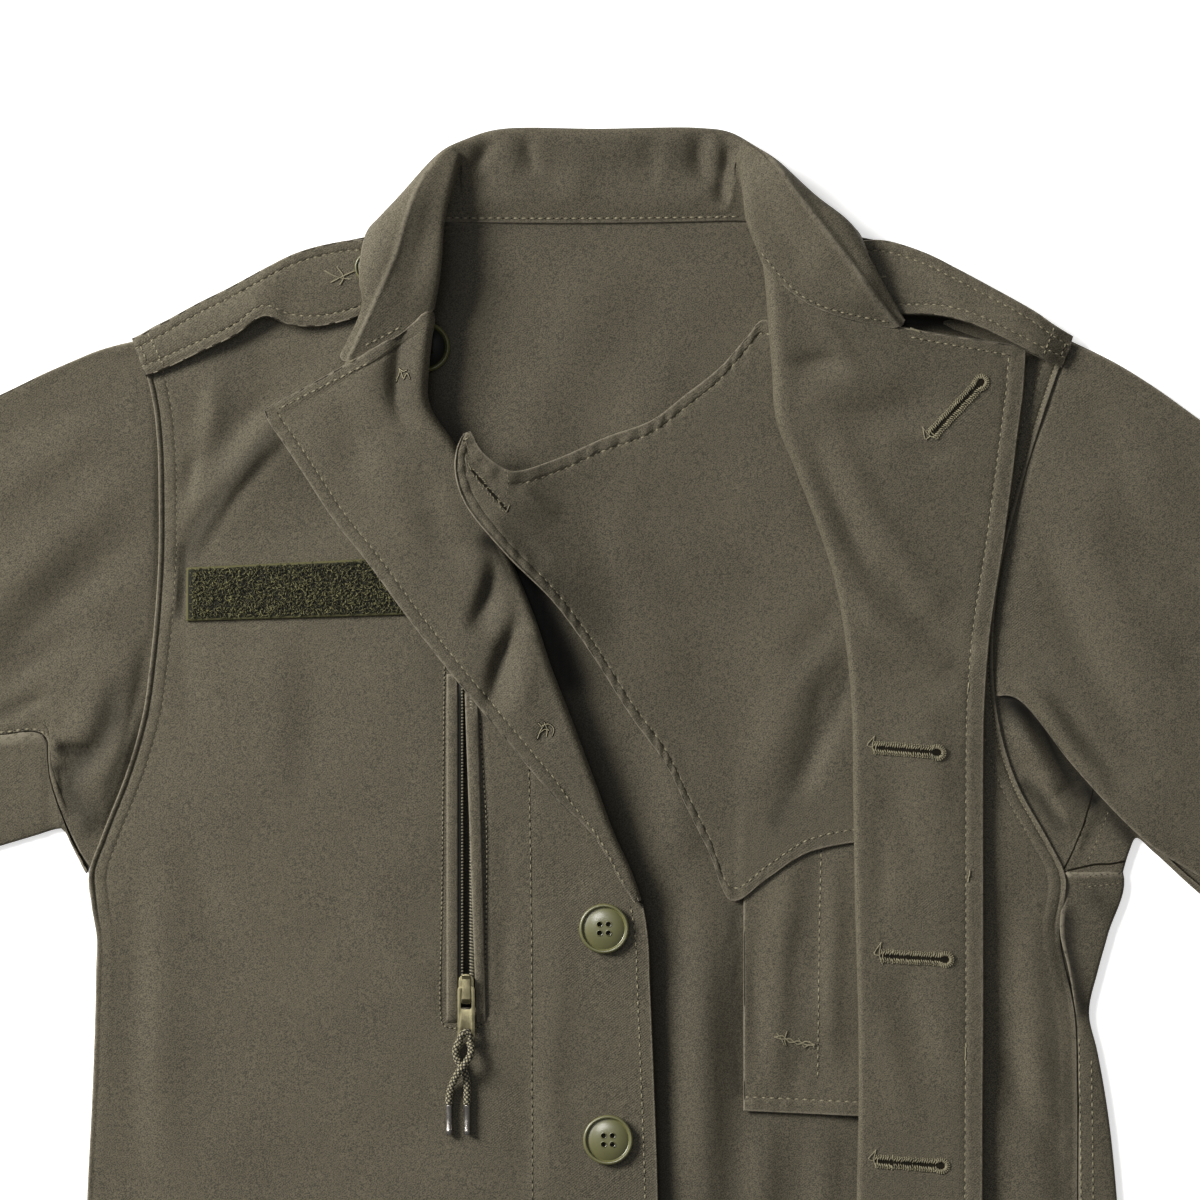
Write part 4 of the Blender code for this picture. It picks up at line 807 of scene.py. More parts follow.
class Graph:
    """A node tree that is built up by one call for each node."""

    def __init__(self, tree):
        self.tree = tree

    def add(self, kind, settings=None, inputs=None, out=0):
        node = self.tree.nodes.new(kind)
        for name, value in (settings or {}).items():
            setattr(node, name, value)
        for key, value in (inputs or {}).items():
            if isinstance(value, Wire):
                self.tree.links.new(value.socket, node.inputs[key])
            else:
                node.inputs[key].default_value = value
        return Wire(self, node.outputs[out] if node.outputs else None)

    def mix(self, factor, a, b):
        """A colour between two."""
        colours = {"Factor": factor, 6: a, 7: b}
        colours = {key: value if isinstance(value, (Wire, float)) else (*value[:3], 1.0)
                   for key, value in colours.items()}
        return self.add("ShaderNodeMix", {"data_type": "RGBA"}, colours, out=2)

    def shades(self, value, colour, low, high):
        """A colour between two shades of it, for a value from 0 to 1."""
        return self.mix(value.ease(0.0, 1.0), shade(colour, low), shade(colour, high))

    def attribute(self, name):
        return self.add("ShaderNodeAttribute", {"attribute_name": name}, out="Fac")

    def dressed(self, instances, material):
        """Instances as real meshes of one material."""
        solid = self.add("GeometryNodeRealizeInstances", None, {"Geometry": instances})
        return self.add("GeometryNodeSetMaterial", None, {"Geometry": solid, "Material": material})

    def noise(self, place, size, detail, rough=0.5):
        """Cloudy values about 0.5 whose spots are `size` mm wide."""
        return self.add("ShaderNodeTexNoise", None,
                        {"Vector": place, "Scale": 1 / (size * MM), "Detail": detail, "Roughness": rough})


def new_material(name, **constants):
    """A material with its shader's constant sockets set, its graph and its shader."""
    material = bpy.data.materials.new(name)
    material.use_nodes = True
    shader = material.node_tree.nodes["Principled BSDF"]
    for socket, value in constants.items():
        shader.inputs[socket.replace("_", " ")].default_value = value
    graph = Graph(material.node_tree)
    place = graph.add("ShaderNodeTexCoord", out="Object")
    return material, graph, shader, place


def feed(graph, shader, **wires):
    for socket, wire in wires.items():
        graph.tree.links.new(wire.socket, shader.inputs[socket.replace("_", " ")])


def bumped(graph, shader, height, distance):
    """Height in mm times `distance` as bump."""
    bump = graph.add("ShaderNodeBump", None,
                     {"Strength": 1.0, "Distance": distance * MM, "Height": height})
    feed(graph, shader, Normal=bump)


def shade(colour, factor):
    return tuple(min(1.0, c * factor) for c in colour)


RIB_WAVE = 0.314        # scale at which a wave texture has one band a unit


def twill_material(name, cloth, tone):
    """Cotton twill: fine ribs on the slant, uneven yarn, soft clouds, pale edges that are partly wear and
    partly painted highlight, and painted shade.
    """
    material, graph, shader, place = new_material(
        name, Specular_IOR_Level=0.07, Sheen_Weight=0.02, Sheen_Roughness=0.45)
    shader.inputs["Sheen Tint"].default_value = (0.92, 0.88, 0.78, 1)
    colour = shade(cloth.twill, tone)
    grain = graph.noise(place, 0.58, 3.0, 0.72)
    yarn = graph.noise(place, 2.0, 2.0)
    cloud = graph.noise(place, 60.0, 2.0, 0.5)
    turned = graph.add("ShaderNodeMapping", None, {"Vector": place, "Rotation": (0, 0, math.radians(52))})
    ribs = graph.add("ShaderNodeTexWave", {"bands_direction": "X"},
                     {"Vector": turned, "Scale": RIB_WAVE / cloth.rib_pitch, "Distortion": 1.2,
                      "Detail": 1.0, "Detail Scale": 1.5}, out="Fac")
    # pale edges: partly wear, partly painted highlight
    worn = graph.attribute("wear") * yarn.ease(0.20, 0.55)
    value = (grain - 0.5) * 4.2 + (yarn - 0.5) * 0.6 + (cloud - 0.5) * 0.35 + (ribs - 0.5) * 0.14
    base = graph.shades(value + 0.5, colour, 0.54, 1.48)
    # painted shade: the cloth turns nearly black where the panel asks for shade
    base = graph.mix(graph.attribute("unfaded"), base, shade(colour, 0.06))
    feed(graph, shader, Base_Color=graph.mix(worn * 0.6, base, cloth.twill_wear_and_highlight),
         Roughness=0.62 + (cloud - 0.5) * 0.2 + (grain - 0.5) * 0.2)
    bumped(graph, shader, grain * 0.6 + ribs * 0.3 + yarn * 0.5, 0.22)
    return material


def thread_material(name, colour, gleam=0.3):
    material, graph, shader, place = new_material(name, Specular_IOR_Level=gleam)
    fibre = graph.noise(place, 0.35, 2.0)
    tone = graph.noise(place, 4.0, 1.0)
    value = (fibre - 0.5) * 0.7 + (tone - 0.5) * 0.9 + 0.5
    feed(graph, shader, Base_Color=graph.shades(value, colour, 0.6, 1.35), Roughness=0.62 + fibre * 0.2)
    bumped(graph, shader, fibre, 0.08)
    return material


def hard_material(name, colour, low, high, metallic=0.0, fine=0.4, worn=None):
    """Moulded or cast surface: slight mottling and dull patches."""
    material, graph, shader, place = new_material(name, Metallic=metallic)
    speck = graph.noise(place, fine, 3.0, 0.6)
    patch = graph.noise(place, 3.0, 2.0)
    value = (speck - 0.5) * 0.35 + (patch - 0.5) * 0.5 + 0.5
    base = graph.shades(value, colour, 0.88, 1.12)
    if worn is not None:
        base = graph.mix(patch.ease(0.4, 0.8) * 0.25, base, worn)
    feed(graph, shader, Base_Color=base, Roughness=low + patch.ease(0.3, 0.7) * (high - low))
    bumped(graph, shader, speck, 0.03)
    return material


def cord_material(name, colour):
    material, graph, shader, place = new_material(name, Specular_IOR_Level=0.25, Sheen_Weight=0.1)
    fibre = graph.noise(place, 0.3, 2.0)
    # hollows between yarns near black, crowns a little paler: painted shade and painted highlight
    value = graph.attribute("crown").ease(0.46, 0.72) * 0.9 + (fibre - 0.5) * 0.6
    feed(graph, shader, Base_Color=graph.shades(value, colour, 0.10, 1.35), Roughness=0.7 + fibre * 0.2)
    bumped(graph, shader, fibre, 0.12)
    return material


def selvedge_material(colour):
    """Painted shade, near black, under the pile; pale along the strip's woven edge."""
    material, graph, shader, place = new_material("loop strip ground", Specular_IOR_Level=0.2)
    weave = graph.noise(place, 0.8, 2.0)
    edge = graph.attribute("wear").ease(0.02, 0.6)
    feed(graph, shader, Base_Color=graph.mix(edge, shade(colour, 0.16), shade(colour, 1.35)),
         Roughness=0.7 + weave * 0.2)
    bumped(graph, shader, weave, 0.15)
    return material


def pile_material(colour):
    material, graph, shader, place = new_material("loop pile", Specular_IOR_Level=0.3)
    spot = graph.noise(place, 1.2, 2.0)
    patch = graph.noise(place, 14.0, 2.0)
    value = (spot - 0.5) * 3.0 + (patch - 0.5) * 0.5 + 0.38
    feed(graph, shader, Base_Color=graph.shades(value, colour, 0.30, 3.0), Roughness=0.55 + spot * 0.2)
    bumped(graph, shader, spot, 0.05)
    return material


def button_material(name, colour):
    """Olive plastic with a half gloss, a little paler where it is handled."""
    material, graph, shader, place = new_material(name, Specular_IOR_Level=0.5, Coat_Roughness=0.2)
    shader.inputs["Coat Weight"].default_value = 0.35
    swirl = graph.noise(place, 9.0, 2.0)
    speck = graph.noise(place, 0.7, 2.0)
    value = (swirl - 0.5) * 0.5 + (speck - 0.5) * 0.3 + 0.5
    paint = graph.shades(value, colour, 0.8, 1.2)
    # the neck button lies in the lapel's shade: its middle is painted near black, painted shade, with less
    # gloss
    if name == "button back":
        low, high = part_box("button_neck")
        away = graph.add("ShaderNodeVectorMath", {"operation": "DISTANCE"},
                         {0: place, 1: [(a + b) / 2 for a, b in zip(low, high)]}, out="Value")
        paint = graph.mix(away.ease(0.0098, 0.0108), shade(colour, 0.02), paint)
        shader.inputs["Coat Weight"].default_value = 0.0
        shader.inputs["Specular IOR Level"].default_value = 0.12
    feed(graph, shader, Base_Color=paint, Roughness=0.34 + speck * 0.12)
    bumped(graph, shader, swirl, 0.03)
    return material


def known(make, name, *values):
    """A material by name, made once."""
    return bpy.data.materials.get(name) or make(name, *values)


def known_twill(cloth, tone=1.0, name="twill face"):
    return known(twill_material, name, cloth, tone)


# --------------------------------------------------------- what Geometry Nodes repeat

def node_group(name, **inputs):
    """A new Geometry Nodes group with named inputs, and what it is given."""
    tree = bpy.data.node_groups.new(name, "GeometryNodeTree")
    for label, kind in {"Geometry": "Geometry", **inputs}.items():
        tree.interface.new_socket(label, in_out="INPUT", socket_type="NodeSocket" + kind)
    tree.interface.new_socket("Geometry", in_out="OUTPUT", socket_type="NodeSocketGeometry")
    graph = Graph(tree)
    return graph, graph.add("NodeGroupInput")


def scatter_tree(name):
    """Threads, teeth and the like: a bead at every point, with its own size and turn,
    of the first material, or of the second, near black painted shade, where the point's `pit` is above 0."""
    graph, given = node_group(name, Segments="Int", Rings="Int", Thread="Material", Pit="Material")
    kinds = {"up": "FLOAT_VECTOR", "along": "FLOAT_VECTOR", "size": "FLOAT_VECTOR", "pit": "FLOAT"}
    read = {key: graph.add("GeometryNodeInputNamedAttribute", {"data_type": kind}, {"Name": key})
            for key, kind in kinds.items()}
    turn = graph.add("FunctionNodeAxesToRotation", {"primary_axis": "Z", "secondary_axis": "X"},
                     {"Primary Axis": read["up"], "Secondary Axis": read["along"]})
    bead = graph.add("GeometryNodeMeshUVSphere", None,
                     {"Segments": given.other("Segments"), "Rings": given.other("Rings"), "Radius": 0.5})
    join = graph.add("GeometryNodeJoinGeometry")
    for label, operation in (("Thread", "LESS_THAN"), ("Pit", "GREATER_THAN")):
        chosen = graph.add("FunctionNodeCompare", {"operation": operation}, {"A": read["pit"], "B": 0.5})
        beads = graph.add("GeometryNodeInstanceOnPoints", None,
                          {"Points": given, "Selection": chosen, "Instance": bead, "Rotation": turn,
                           "Scale": read["size"]})
        graph.tree.links.new(graph.dressed(beads, given.other(label)).socket, join.socket.node.inputs[0])
    graph.add("NodeGroupOutput", None, {"Geometry": join})
    return graph.tree


def grown(name, mesh, tree, **inputs):
    """A plain mesh piece from a mesh that a node tree works on."""
    thing = put(name + "_points", mesh, None)
    step = thing.modifiers.new("grow", "NODES")
    step.node_group = tree
    for item in tree.interface.items_tree:
        if item.in_out == "INPUT" and item.name in inputs:
            step[item.identifier] = inputs[item.name]
    evaluated = thing.evaluated_get(bpy.context.evaluated_depsgraph_get())
    made = bpy.data.meshes.new_from_object(evaluated)
    made.shade_smooth()
    thing.modifiers.remove(step)
    bpy.data.objects.remove(thing)
    made.name = name
    return put(name, made, None)


def stretches(points, ups):
    """Each stretch of a line of points and normals: its start, normal and way to its end."""
    return zip(points[:-1], ups, np.diff(points, axis=0))


class Needlework:
    """Threads sewn on one piece, gathered up and then made as one mesh."""

    def __init__(self, name, cloth):
        self.name = name
        self.cloth = cloth
        self.beads = []

    def bead(self, place, up, along, length, girth, height, pit=0.0):
        self.beads.append((place, up, along, (length, girth, height), pit))

    def row(self, line, length=None, girth=None, gap=None, sink=0.05):
        """Topstitches along a line of points and normals, with a needle hole between two, a near black bead
        of painted shade.
        """
        points, ups = line
        if len(points) < 2:
            return
        length = length or self.cloth.stitch / MM * 0.60
        gap = gap or self.cloth.stitch / MM * 0.40
        girth = girth or self.cloth.thread_width / MM
        run = length_along(points)
        marks = np.arange(length / 2, run[-1] - length / 2, length + gap)

        def at(mark):
            return np.array([np.interp(mark, run, points[:, k]) for k in range(3)])

        for count, mark in enumerate(marks):
            ahead, behind = at(mark + length / 2), at(mark - length / 2)
            k = min(int(np.searchsorted(run, mark)), len(ups) - 1)
            uneven = 1 + 0.12 * math.sin(count * 2.4) * math.sin(count * 0.7)
            up = ups[k]
            self.bead(at(mark) - up * sink, up, ahead - behind, length * uneven, girth, girth * 0.9)
            hole = at(mark + (length + gap) / 2)
            self.bead(hole - up * 0.12, up, ahead - behind, gap * 0.8, girth * 0.95, 0.36, pit=1.0)

    def bar(self, panel, start, end, width, part=slice(None)):
        """A bar tack: short threads side by side across a line."""
        for point, up, along in stretches(*panel.drop((start, end), 0.62, part)):
            self.bead(point + up * 0.15, up, np.cross(up, along), width, 0.6, 0.55)

    def slit(self, panel, path, width):
        """Painted shade: the dark line of a seam that is pressed to one side."""
        for point, up, along in stretches(*panel.drop(path, 0.9)):
            self.bead(point + up * 0.02, up, along, 2.2, width, 0.25, pit=1.0)

    def tail(self, panel, path, girth=0.8, part=slice(None)):
        """A loose thread end that lies on the cloth."""
        for point, up, along in stretches(*panel.drop(path, 0.7, part)):
            self.bead(point + up * 0.25, up, along, 1.3, girth, girth)

    def buttonhole(self, panel, start, end, part=slice(None), *, seed, worked=True):
        """Two rows of close stitches beside a slit, with an eye and loose ends; an
        unworked one is a slit with a few threads along it."""
        random = np.random.default_rng(seed)
        points, ups = panel.drop((start, end), 1.15, part)
        if len(points) < 8:
            raise RuntimeError(f"{panel.name} isn't under its buttonhole")
        count = len(points)
        along = (points[-1] - points[0]) / np.linalg.norm(points[-1] - points[0])
        for k in range(count):
            across = np.cross(ups[k], along)
            wobble = random.normal(0, 0.15, 4)
            slit = 1.3 + 0.5 * math.sin(math.pi * k / count)
            # the slit: a near black bead at each point, painted shade
            self.bead(points[k] + ups[k] * 0.02, ups[k], along, 2.6, 4.8 if worked else slit, 0.3, pit=1.0)
            if worked and k > count - 5:
                continue
            for side in (-1, 1):
                if worked:
                    place = points[k] + across * side * (1.8 + wobble[0]) + ups[k] * (0.25 + wobble[1] * 0.4)
                    self.bead(place, ups[k], across * 0.9 + along * (0.45 * side + wobble[2]),
                              2.8 + wobble[3], 0.82 + wobble[0], 0.95)
                    self.bead(place + across * side * 1.2, ups[k], along, 0.8, 0.85, 1.05)
                elif random.uniform() < 0.75:
                    place = points[k] + across * side * (1.1 + 3 * wobble[0]) + ups[k] * 0.15
                    self.bead(place, ups[k], along + across * (side + 4 * wobble[2]) * 0.5, 1.5, 0.5, 0.5)
        if not worked:
            self.tail(panel, (start, np.array(start) + (-1.6, 3.4)), 0.5, part)
            self.tail(panel, (end, np.array(end) + (1.2, 3.0)), 0.5, part)
            return
        centre, up = points[-3], ups[-3]
        across = np.cross(up, along)
        # the eye's dark middle: painted shade
        self.bead(centre, up, along, 8.4, 7.6, 0.3, pit=1.0)
        for k in range(22):
            angle = 2 * math.pi * k / 22
            if math.cos(angle) < -0.8:
                continue
            out = along * math.cos(angle) + across * math.sin(angle)
            rim = centre + along * math.cos(angle) * 3.1 + across * math.sin(angle) * 2.8 + up * 0.25
            self.bead(rim, up, out + random.normal(0, 0.12, 3), 2.6, 0.85, 0.95)
            self.bead(rim + out * 1.1, up, np.cross(up, out), 0.8, 0.8, 1.0)
        flat = along[:2] / np.linalg.norm(along[:2])
        square = np.array((-flat[1], flat[0]))
        base = points[0][:2]
        reach = random.uniform(5.2, 7.0, 2)
        knot = base + flat * 0.6
        far = knot + square * reach[0] - flat * 1.2
        for path in ((knot - square * (reach[0] * 0.6), base - flat * 1.0, far),
                     (far, base - flat * 3.6 + square * 0.8, base - flat * 0.6),
                     (knot + square * 1.6, knot - square * 1.8)):
            self.tail(panel, path, 0.65, part)

    def finish(self, slot="twill"):
        """The piece that holds every thread gathered here."""
        if not self.beads:
            raise RuntimeError(f"{self.name} has no stitches")
        places = np.array([bead[0] for bead in self.beads]) * MM
        mesh = bpy.data.meshes.new(self.name + "_points")
        mesh.from_pydata(places, [], [])
        for key, column, scale in (("up", 1, 1.0), ("along", 2, 1.0), ("size", 3, MM)):
            values = np.array([bead[column] for bead in self.beads], np.float32) * scale
            mesh.attributes.new(key, "FLOAT_VECTOR", "POINT").data.foreach_set("vector", values.ravel())
        shade_beads = np.array([bead[4] for bead in self.beads], np.float32)
        mesh.attributes.new("pit", "FLOAT", "POINT").data.foreach_set("value", shade_beads)
        tree = bpy.data.node_groups.get("Beads") or scatter_tree("Beads")
        thread = known(thread_material, "sewing thread", self.cloth.thread)
        # near black beads of painted shade: needle holes, slits and seam lines
        pit = known(thread_material, "needle hole", self.cloth.shadow, 0.05)
        piece = grown(self.name, mesh, tree, Segments=6, Rings=4, Thread=thread, Pit=pit)
        return dress(piece, "jacket", slot)


# ----------------------------------------------------------------------- fronts

def ridges(folds, x, y):
    """Height that a piece's largest folds add."""
    total = np.zeros(np.shape(x))
    for fold in folds:
        dx, dy = fold.x1 - fold.x0, fold.y1 - fold.y0
        square = dx * dx + dy * dy
        t = ((x - fold.x0) * dx + (y - fold.y0) * dy) / square
        away = np.hypot(x - fold.x0 - t * dx, y - fold.y0 - t * dy) / fold.width
        rise = fold.height * np.sin(math.pi * np.clip(t, 0, 1)) * np.exp(-away * away)
        total = total + np.where((t > 0) & (t < 1), rise, 0)
    return total


def lie(table, folds, x, y):
    """Mid height of a front's lower layer, without its creases."""
    x, y = np.broadcast_arrays(np.asarray(x, float), np.asarray(y, float))
    side, fold, fold_z, belly = (column.reshape(x.shape) for column in columns(
        table, "y", y.ravel(), "side", "fold", "fold_z", "belly"))
    u = np.clip((x - side) / (fold - side), 0, 1)
    fade = 4 * u * (1 - u)
    return SECOND_LAYER * (1 - u) + fold_z * u + belly * fade + ridges(folds, x, y) * np.minimum(1, 2 * fade)


SLOT_SHARES = (0.60, 0.66)      # of the width: where the slot's edges run away from it
NO_LAPEL = 10.0                 # width kept where nothing is turned out


def make_front(name, table, folds, dip, heights, counts, relief, slot=None):
    """A front: its lower layer, the fold, and the part turned out over it.

    `counts` are the cells across the lower layer, round the fold and out over the
    turned part. `slot` is the zip's: its two sides, low end and top.
    """
    base_count, turn_count, lapel_count = counts
    lapel_inset = relief.inset
    y = np.asarray(heights, float)
    side, fold_x = columns(table, "y", y, "side", "fold")
    turned = [row for row in table if row.roll is not None]
    low, high = turned[0].y, turned[-1].y
    has = (y >= low - 1e-6) & (y <= high + 1e-6)
    roll, edge_x, edge_y, lift = columns(turned, "y", y.clip(low, high), "roll", "edge_x", "edge_y", "lift")
    edge = np.stack([edge_x, edge_y], axis=1)
    outer = np.stack([fold_x, y], axis=1)
    out = unit(outer - edge)
    out[~has] = (1, 0)
    fold = outer - out * ((roll + DOUBLE_CLOTH / 2) * has)[:, None]
    span = np.abs(fold[:, 0] - side)
    if slot is None:
        reach = spread(span, base_count, near=SEAM_INSET, far=lapel_inset)
    else:
        blend = ease(y, *SLOT_FADE)
        left, right = ((edge - side) * (1 - blend) + span * share * blend
                       for edge, share in zip(slot, SLOT_SHARES))
        first = spread(left, base_count[0], near=SEAM_INSET, far=SLOT_INSET)
        middle = left[:, None] + (right - left)[:, None] * np.linspace(0, 1, base_count[1] + 1)[1:-1]
        last = right[:, None] + spread(span - right, base_count[2], near=SLOT_INSET, far=lapel_inset)
        reach = np.hstack([first, middle, last])
    share = reach / span[:, None]
    x = side[:, None] + share * (fold[:, 0] - side)[:, None]
    across_y = y[:, None] + share * (fold[:, 1] - y)[:, None]
    base = np.stack([x, across_y, lie(table, folds, x, across_y)], axis=2)
    flat_count = base.shape[1]
    angle = math.pi * np.arange(1, turn_count + 1) / turn_count
    start = base[:, -1:]
    bend = start + np.dstack([out[:, None] * (roll[:, None] * np.sin(angle))[..., None],
                              roll[:, None] * (1 - np.cos(angle))])
    width = np.linalg.norm(edge - fold, axis=1)
    width[~has] = NO_LAPEL
    t = (spread(width, lapel_count, far=lapel_inset) / width[:, None])[:, 1:]
    gap = np.clip(dip * (1 - (high - y) / GORGE_REACH), 0, None)
    lapel_x = fold[:, :1] + (edge - fold)[:, :1] * t
    lapel_y = fold[:, 1:] + (edge - fold)[:, 1:] * t - gap[:, None] * np.sin(math.pi * t ** 0.55)
    lapel_z = lie(table, folds, lapel_x, lapel_y) + 2 * roll[:, None] * (1 - t) + lift[:, None] * t
    points = np.concatenate([base, bend, np.stack([lapel_x, lapel_y, lapel_z], axis=2)], axis=1)
    cells = all_cells(points)
    cells[:, flat_count - 1:] = (has[:-1] & has[1:])[:, None]
    if slot is not None:
        middle_y = (y[:-1] + y[1:]) / 2
        in_slot = (middle_y > slot[2]) & (middle_y < slot[3])
        cells[in_slot, first.shape[1] - 1:first.shape[1] - 1 + base_count[1]] = False
    wall = np.interp(np.arange(points.shape[1]), [flat_count - 1, flat_count - 1 + turn_count],
                     [CLOTH, DOUBLE_CLOTH])
    panel = Panel(name, points, wall, cells)
    panel.flat_count = flat_count
    panel.turned = has
    panel.turned_from = flat_count - 1 + turn_count
    raise_front(panel, relief)
    panel.paint_shade(relief.dark, slice(panel.turned_from, None))
    return panel


def raise_front(panel, relief):
    """Adds the creases of the lower layer and of the turned part, eased into one another round the fold."""
    points = panel.points
    base = points[:, :panel.flat_count]
    below = relief.lower(base[..., 0], base[..., 1])
    fold = below[:, -1:]
    away, run = edge_run(base, 1, last=False)
    seam = seam_relief(away, run, seed=panel.flat_count)
    below = below + seam * (0.25 + 0.75 * ease(base[..., 1], -175, -142))
    base[..., 2] += below
    points[:, panel.flat_count:, 2] += fold
    rows = panel.turned
    lapel = points[rows][:, panel.turned_from:]
    distance, _ = edge_run(lapel, 1, last=False)
    height = relief.upper(lapel[..., 0], lapel[..., 1])
    t = ease(distance, 0, 16)
    extra = (height - fold[rows]) * t
    extra += hem(*nearest_edge(lapel, (1, True), (0, True)), relief.inset, seed=3) * t
    lapel[..., 2] += extra
    block = points[rows]
    block[:, panel.turned_from:] = lapel
    points[rows] = block


def seam_relief(away, run, seed):
    """The raised, twice stitched allowance beside an armhole or side seam."""
    band = 1 / (1 + np.exp(np.clip((away - SEAM_INSET) / 0.5, -30, 30)))
    ridge = np.exp(-(away / 1.9) ** 4)
    rows = np.exp(-((away - 2.7) / 0.7) ** 2) + 0.7 * np.exp(-((away - SEAM_INSET) / 0.8) ** 2)
    ripple = pucker(run, seed) * np.exp(-((away - 5.0) / 4.0) ** 2)
    return SEAM_RIDGE * ridge + 0.45 * band - 0.4 * rows + 0.25 * ripple


FrontRelief = namedtuple("FrontRelief", "lower upper inset dark")
# functions for the height of the lower layer and of the turned part, the inset of
# the turned part's topstitching and the painted shade in the turned part's folds

# painted shade on the right lapel: black under the storm flap's tab, darker along its folds
LAPEL_DARK = table_of(Dark, [
    (((-56, 30), (-51, 27), (-46, 22), (-42, 15)), 5.5, 0.9),
    (((-50, 24), (-54, 10), (-59, -2), (-62, -10)), 8, 0.32),
    (((-42, -10), (-48, -24), (-54, -36)), 8, 0.14),
    (((-70, 30), (-40, -30), (-10, -90), (6, -120)), 34, 0.11),
    (((-120, 90), (-104, 66), (-90, 40)), 30, 0.06),
    (((-96, 130), (-99, 112), (-97, 96)), 5, 0.3),
])

CREASES_RIGHT = table_of(Crease, [       # lower layer of the right front
    (-5, 12, 0.9, ((-46, 48), (-43, 26), (-36, 4), (-30, -14))),
    (3.4, 3.4, 3.2, ((-152, 90), (-175, 68), (-191, 46), (-207, 20))),
    (1.5, 1.8, 1.8, ((-207, 22), (-210, 8), (-211.5, -8))),
    (-2.2, 3.0, 0.6, ((-206.5, 30), (-208.6, 18), (-209.4, 6), (-210, -8))),
    (-2.2, 7, 0.7, ((-178, 64), (-194, 46), (-204, 32), (-208, 20))),
    (-1.5, 3, 1.6, ((-201.5, 77), (-204.5, 61), (-207, 49))),
    (-1.7, 5, 1.6, ((-157, 106), (-180, 86), (-196, 65))),
    (-1.3, 5, 1.5, ((-198.5, 110), (-201.5, 91), (-203, 75))),
    (1.2, 6, 1.5, ((-193, 114), (-194, 95), (-197, 77))),
    (-1.2, 8, 1.5, ((-154, 72.5), (-141, 59), (-125, 35))),
    (-0.9, 9, 1.4, ((-175, 120), (-155, 114), (-135, 124))),
    (-1.4, 6, 1.4, ((-230, -125), (-231, -180), (-231.5, -240), (-229.5, -300))),
    (1, 9, 1.4, ((-216, -130), (-217, -190), (-216, -260), (-214, -315))),
    (-1.1, 8, 1.5, ((-209, -95), (-201, -135), (-188, -167.5), (-175, -195))),
    (-0.9, 5, 1.5, ((-211, -3), (-207, -30), (-203, -65))),
    (0.8, 10, 1.3, ((-162, -10), (-159, -50), (-161, -100))),
    (-0.7, 9, 1.3, ((-146, -13), (-144, -60), (-149, -110))),
    (-1.1, 7, 1.5, ((-139, -145), (-108, -186), (-80, -224))),
    (1, 9, 1.4, ((-125, -145), (-98, -179), (-78, -202))),
    (-1.4, 4, 1.4, ((-46.5, -152.5), (-48, -180), (-46, -210))),
    (-0.9, 5, 1.4, ((-50, -110), (-47, -135), (-44, -150))),
    (0.9, 6, 1.4, ((-22, -140), (-20, -190), (-24, -240), (-20, -300))),
    (-0.9, 6, 1.4, ((-40, -220), (-35, -255), (-38, -300))),
    (-1.2, 16, 1.2, ((-200, -330), (-120, -360), (-40, -350))),
    (1.4, 18, 1.2, ((-220, -410), (-140, -440), (-50, -470))),
    (-1.3, 14, 1.2, ((-180, -450), (-110, -490), (-40, -520))),
])
CREASES_RIGHT_LAPEL = table_of(Crease, [
    (-4.2, 7, 0.6, ((-98, 137), (-101, 119), (-100.5, 98), (-92, 84))),
    (1.2, 8, 1.3, ((-113, 130), (-116, 108), (-110, 85))),
    (-6.0, 9, 0.4, ((-48, 46), (-50, 24), (-55, 6), (-60, -6), (-64, -16))),
    (-3.0, 6, 0.8, ((-42, 40), (-43, 24), (-47, 10))),
    (1.6, 5, 1.5, ((-36, 24), (-41, 2), (-50, -20))),
    (-5.0, 9, 0.4, ((-32, 6), (-42, -14), (-50, -30), (-54, -46), (-55, -56))),
    (1.2, 5, 1.4, ((-26, -15), (-34, -38), (-43, -60))),
    (-1.5, 6, 1.4, ((-88, 44), (-74, 27), (-60, 22))),
    (1.1, 7, 1.4, ((-80, 55), (-65, 42), (-53, 40))),
    (-1.4, 7, 1.4, ((-135, 95), (-122, 80), (-124, 60))),
    (1.1, 9, 1.4, ((-110, 75), (-100, 50), (-90, 20))),
    (-1.8, 4, 1.0, ((-14, -54), (-22, -61), (-31, -72))),
    (-1.6, 6, 0.8, ((-20, -20), (-17, -45), (-10, -69))),
])
CREASES_LEFT = table_of(Crease, [        # lower layer of the left front
    (-4.5, 6, 1.0, ((146, 143), (170, 139), (195, 133), (222, 122))),
    (1.2, 8, 1.4, ((214, -150), (218, -230), (222, -330))),
    (-3, 4, 1.4, ((236, -146), (235, -174), (241, -202))),
    (-1.8, 6, 1.4, ((200, -225), (215, -255), (231, -280))),
    (1.2, 7, 1.4, ((210, -215), (225, -240), (236, -260))),
    (-1, 8, 1.4, ((207, -140), (206, -200), (208, -280))),
])
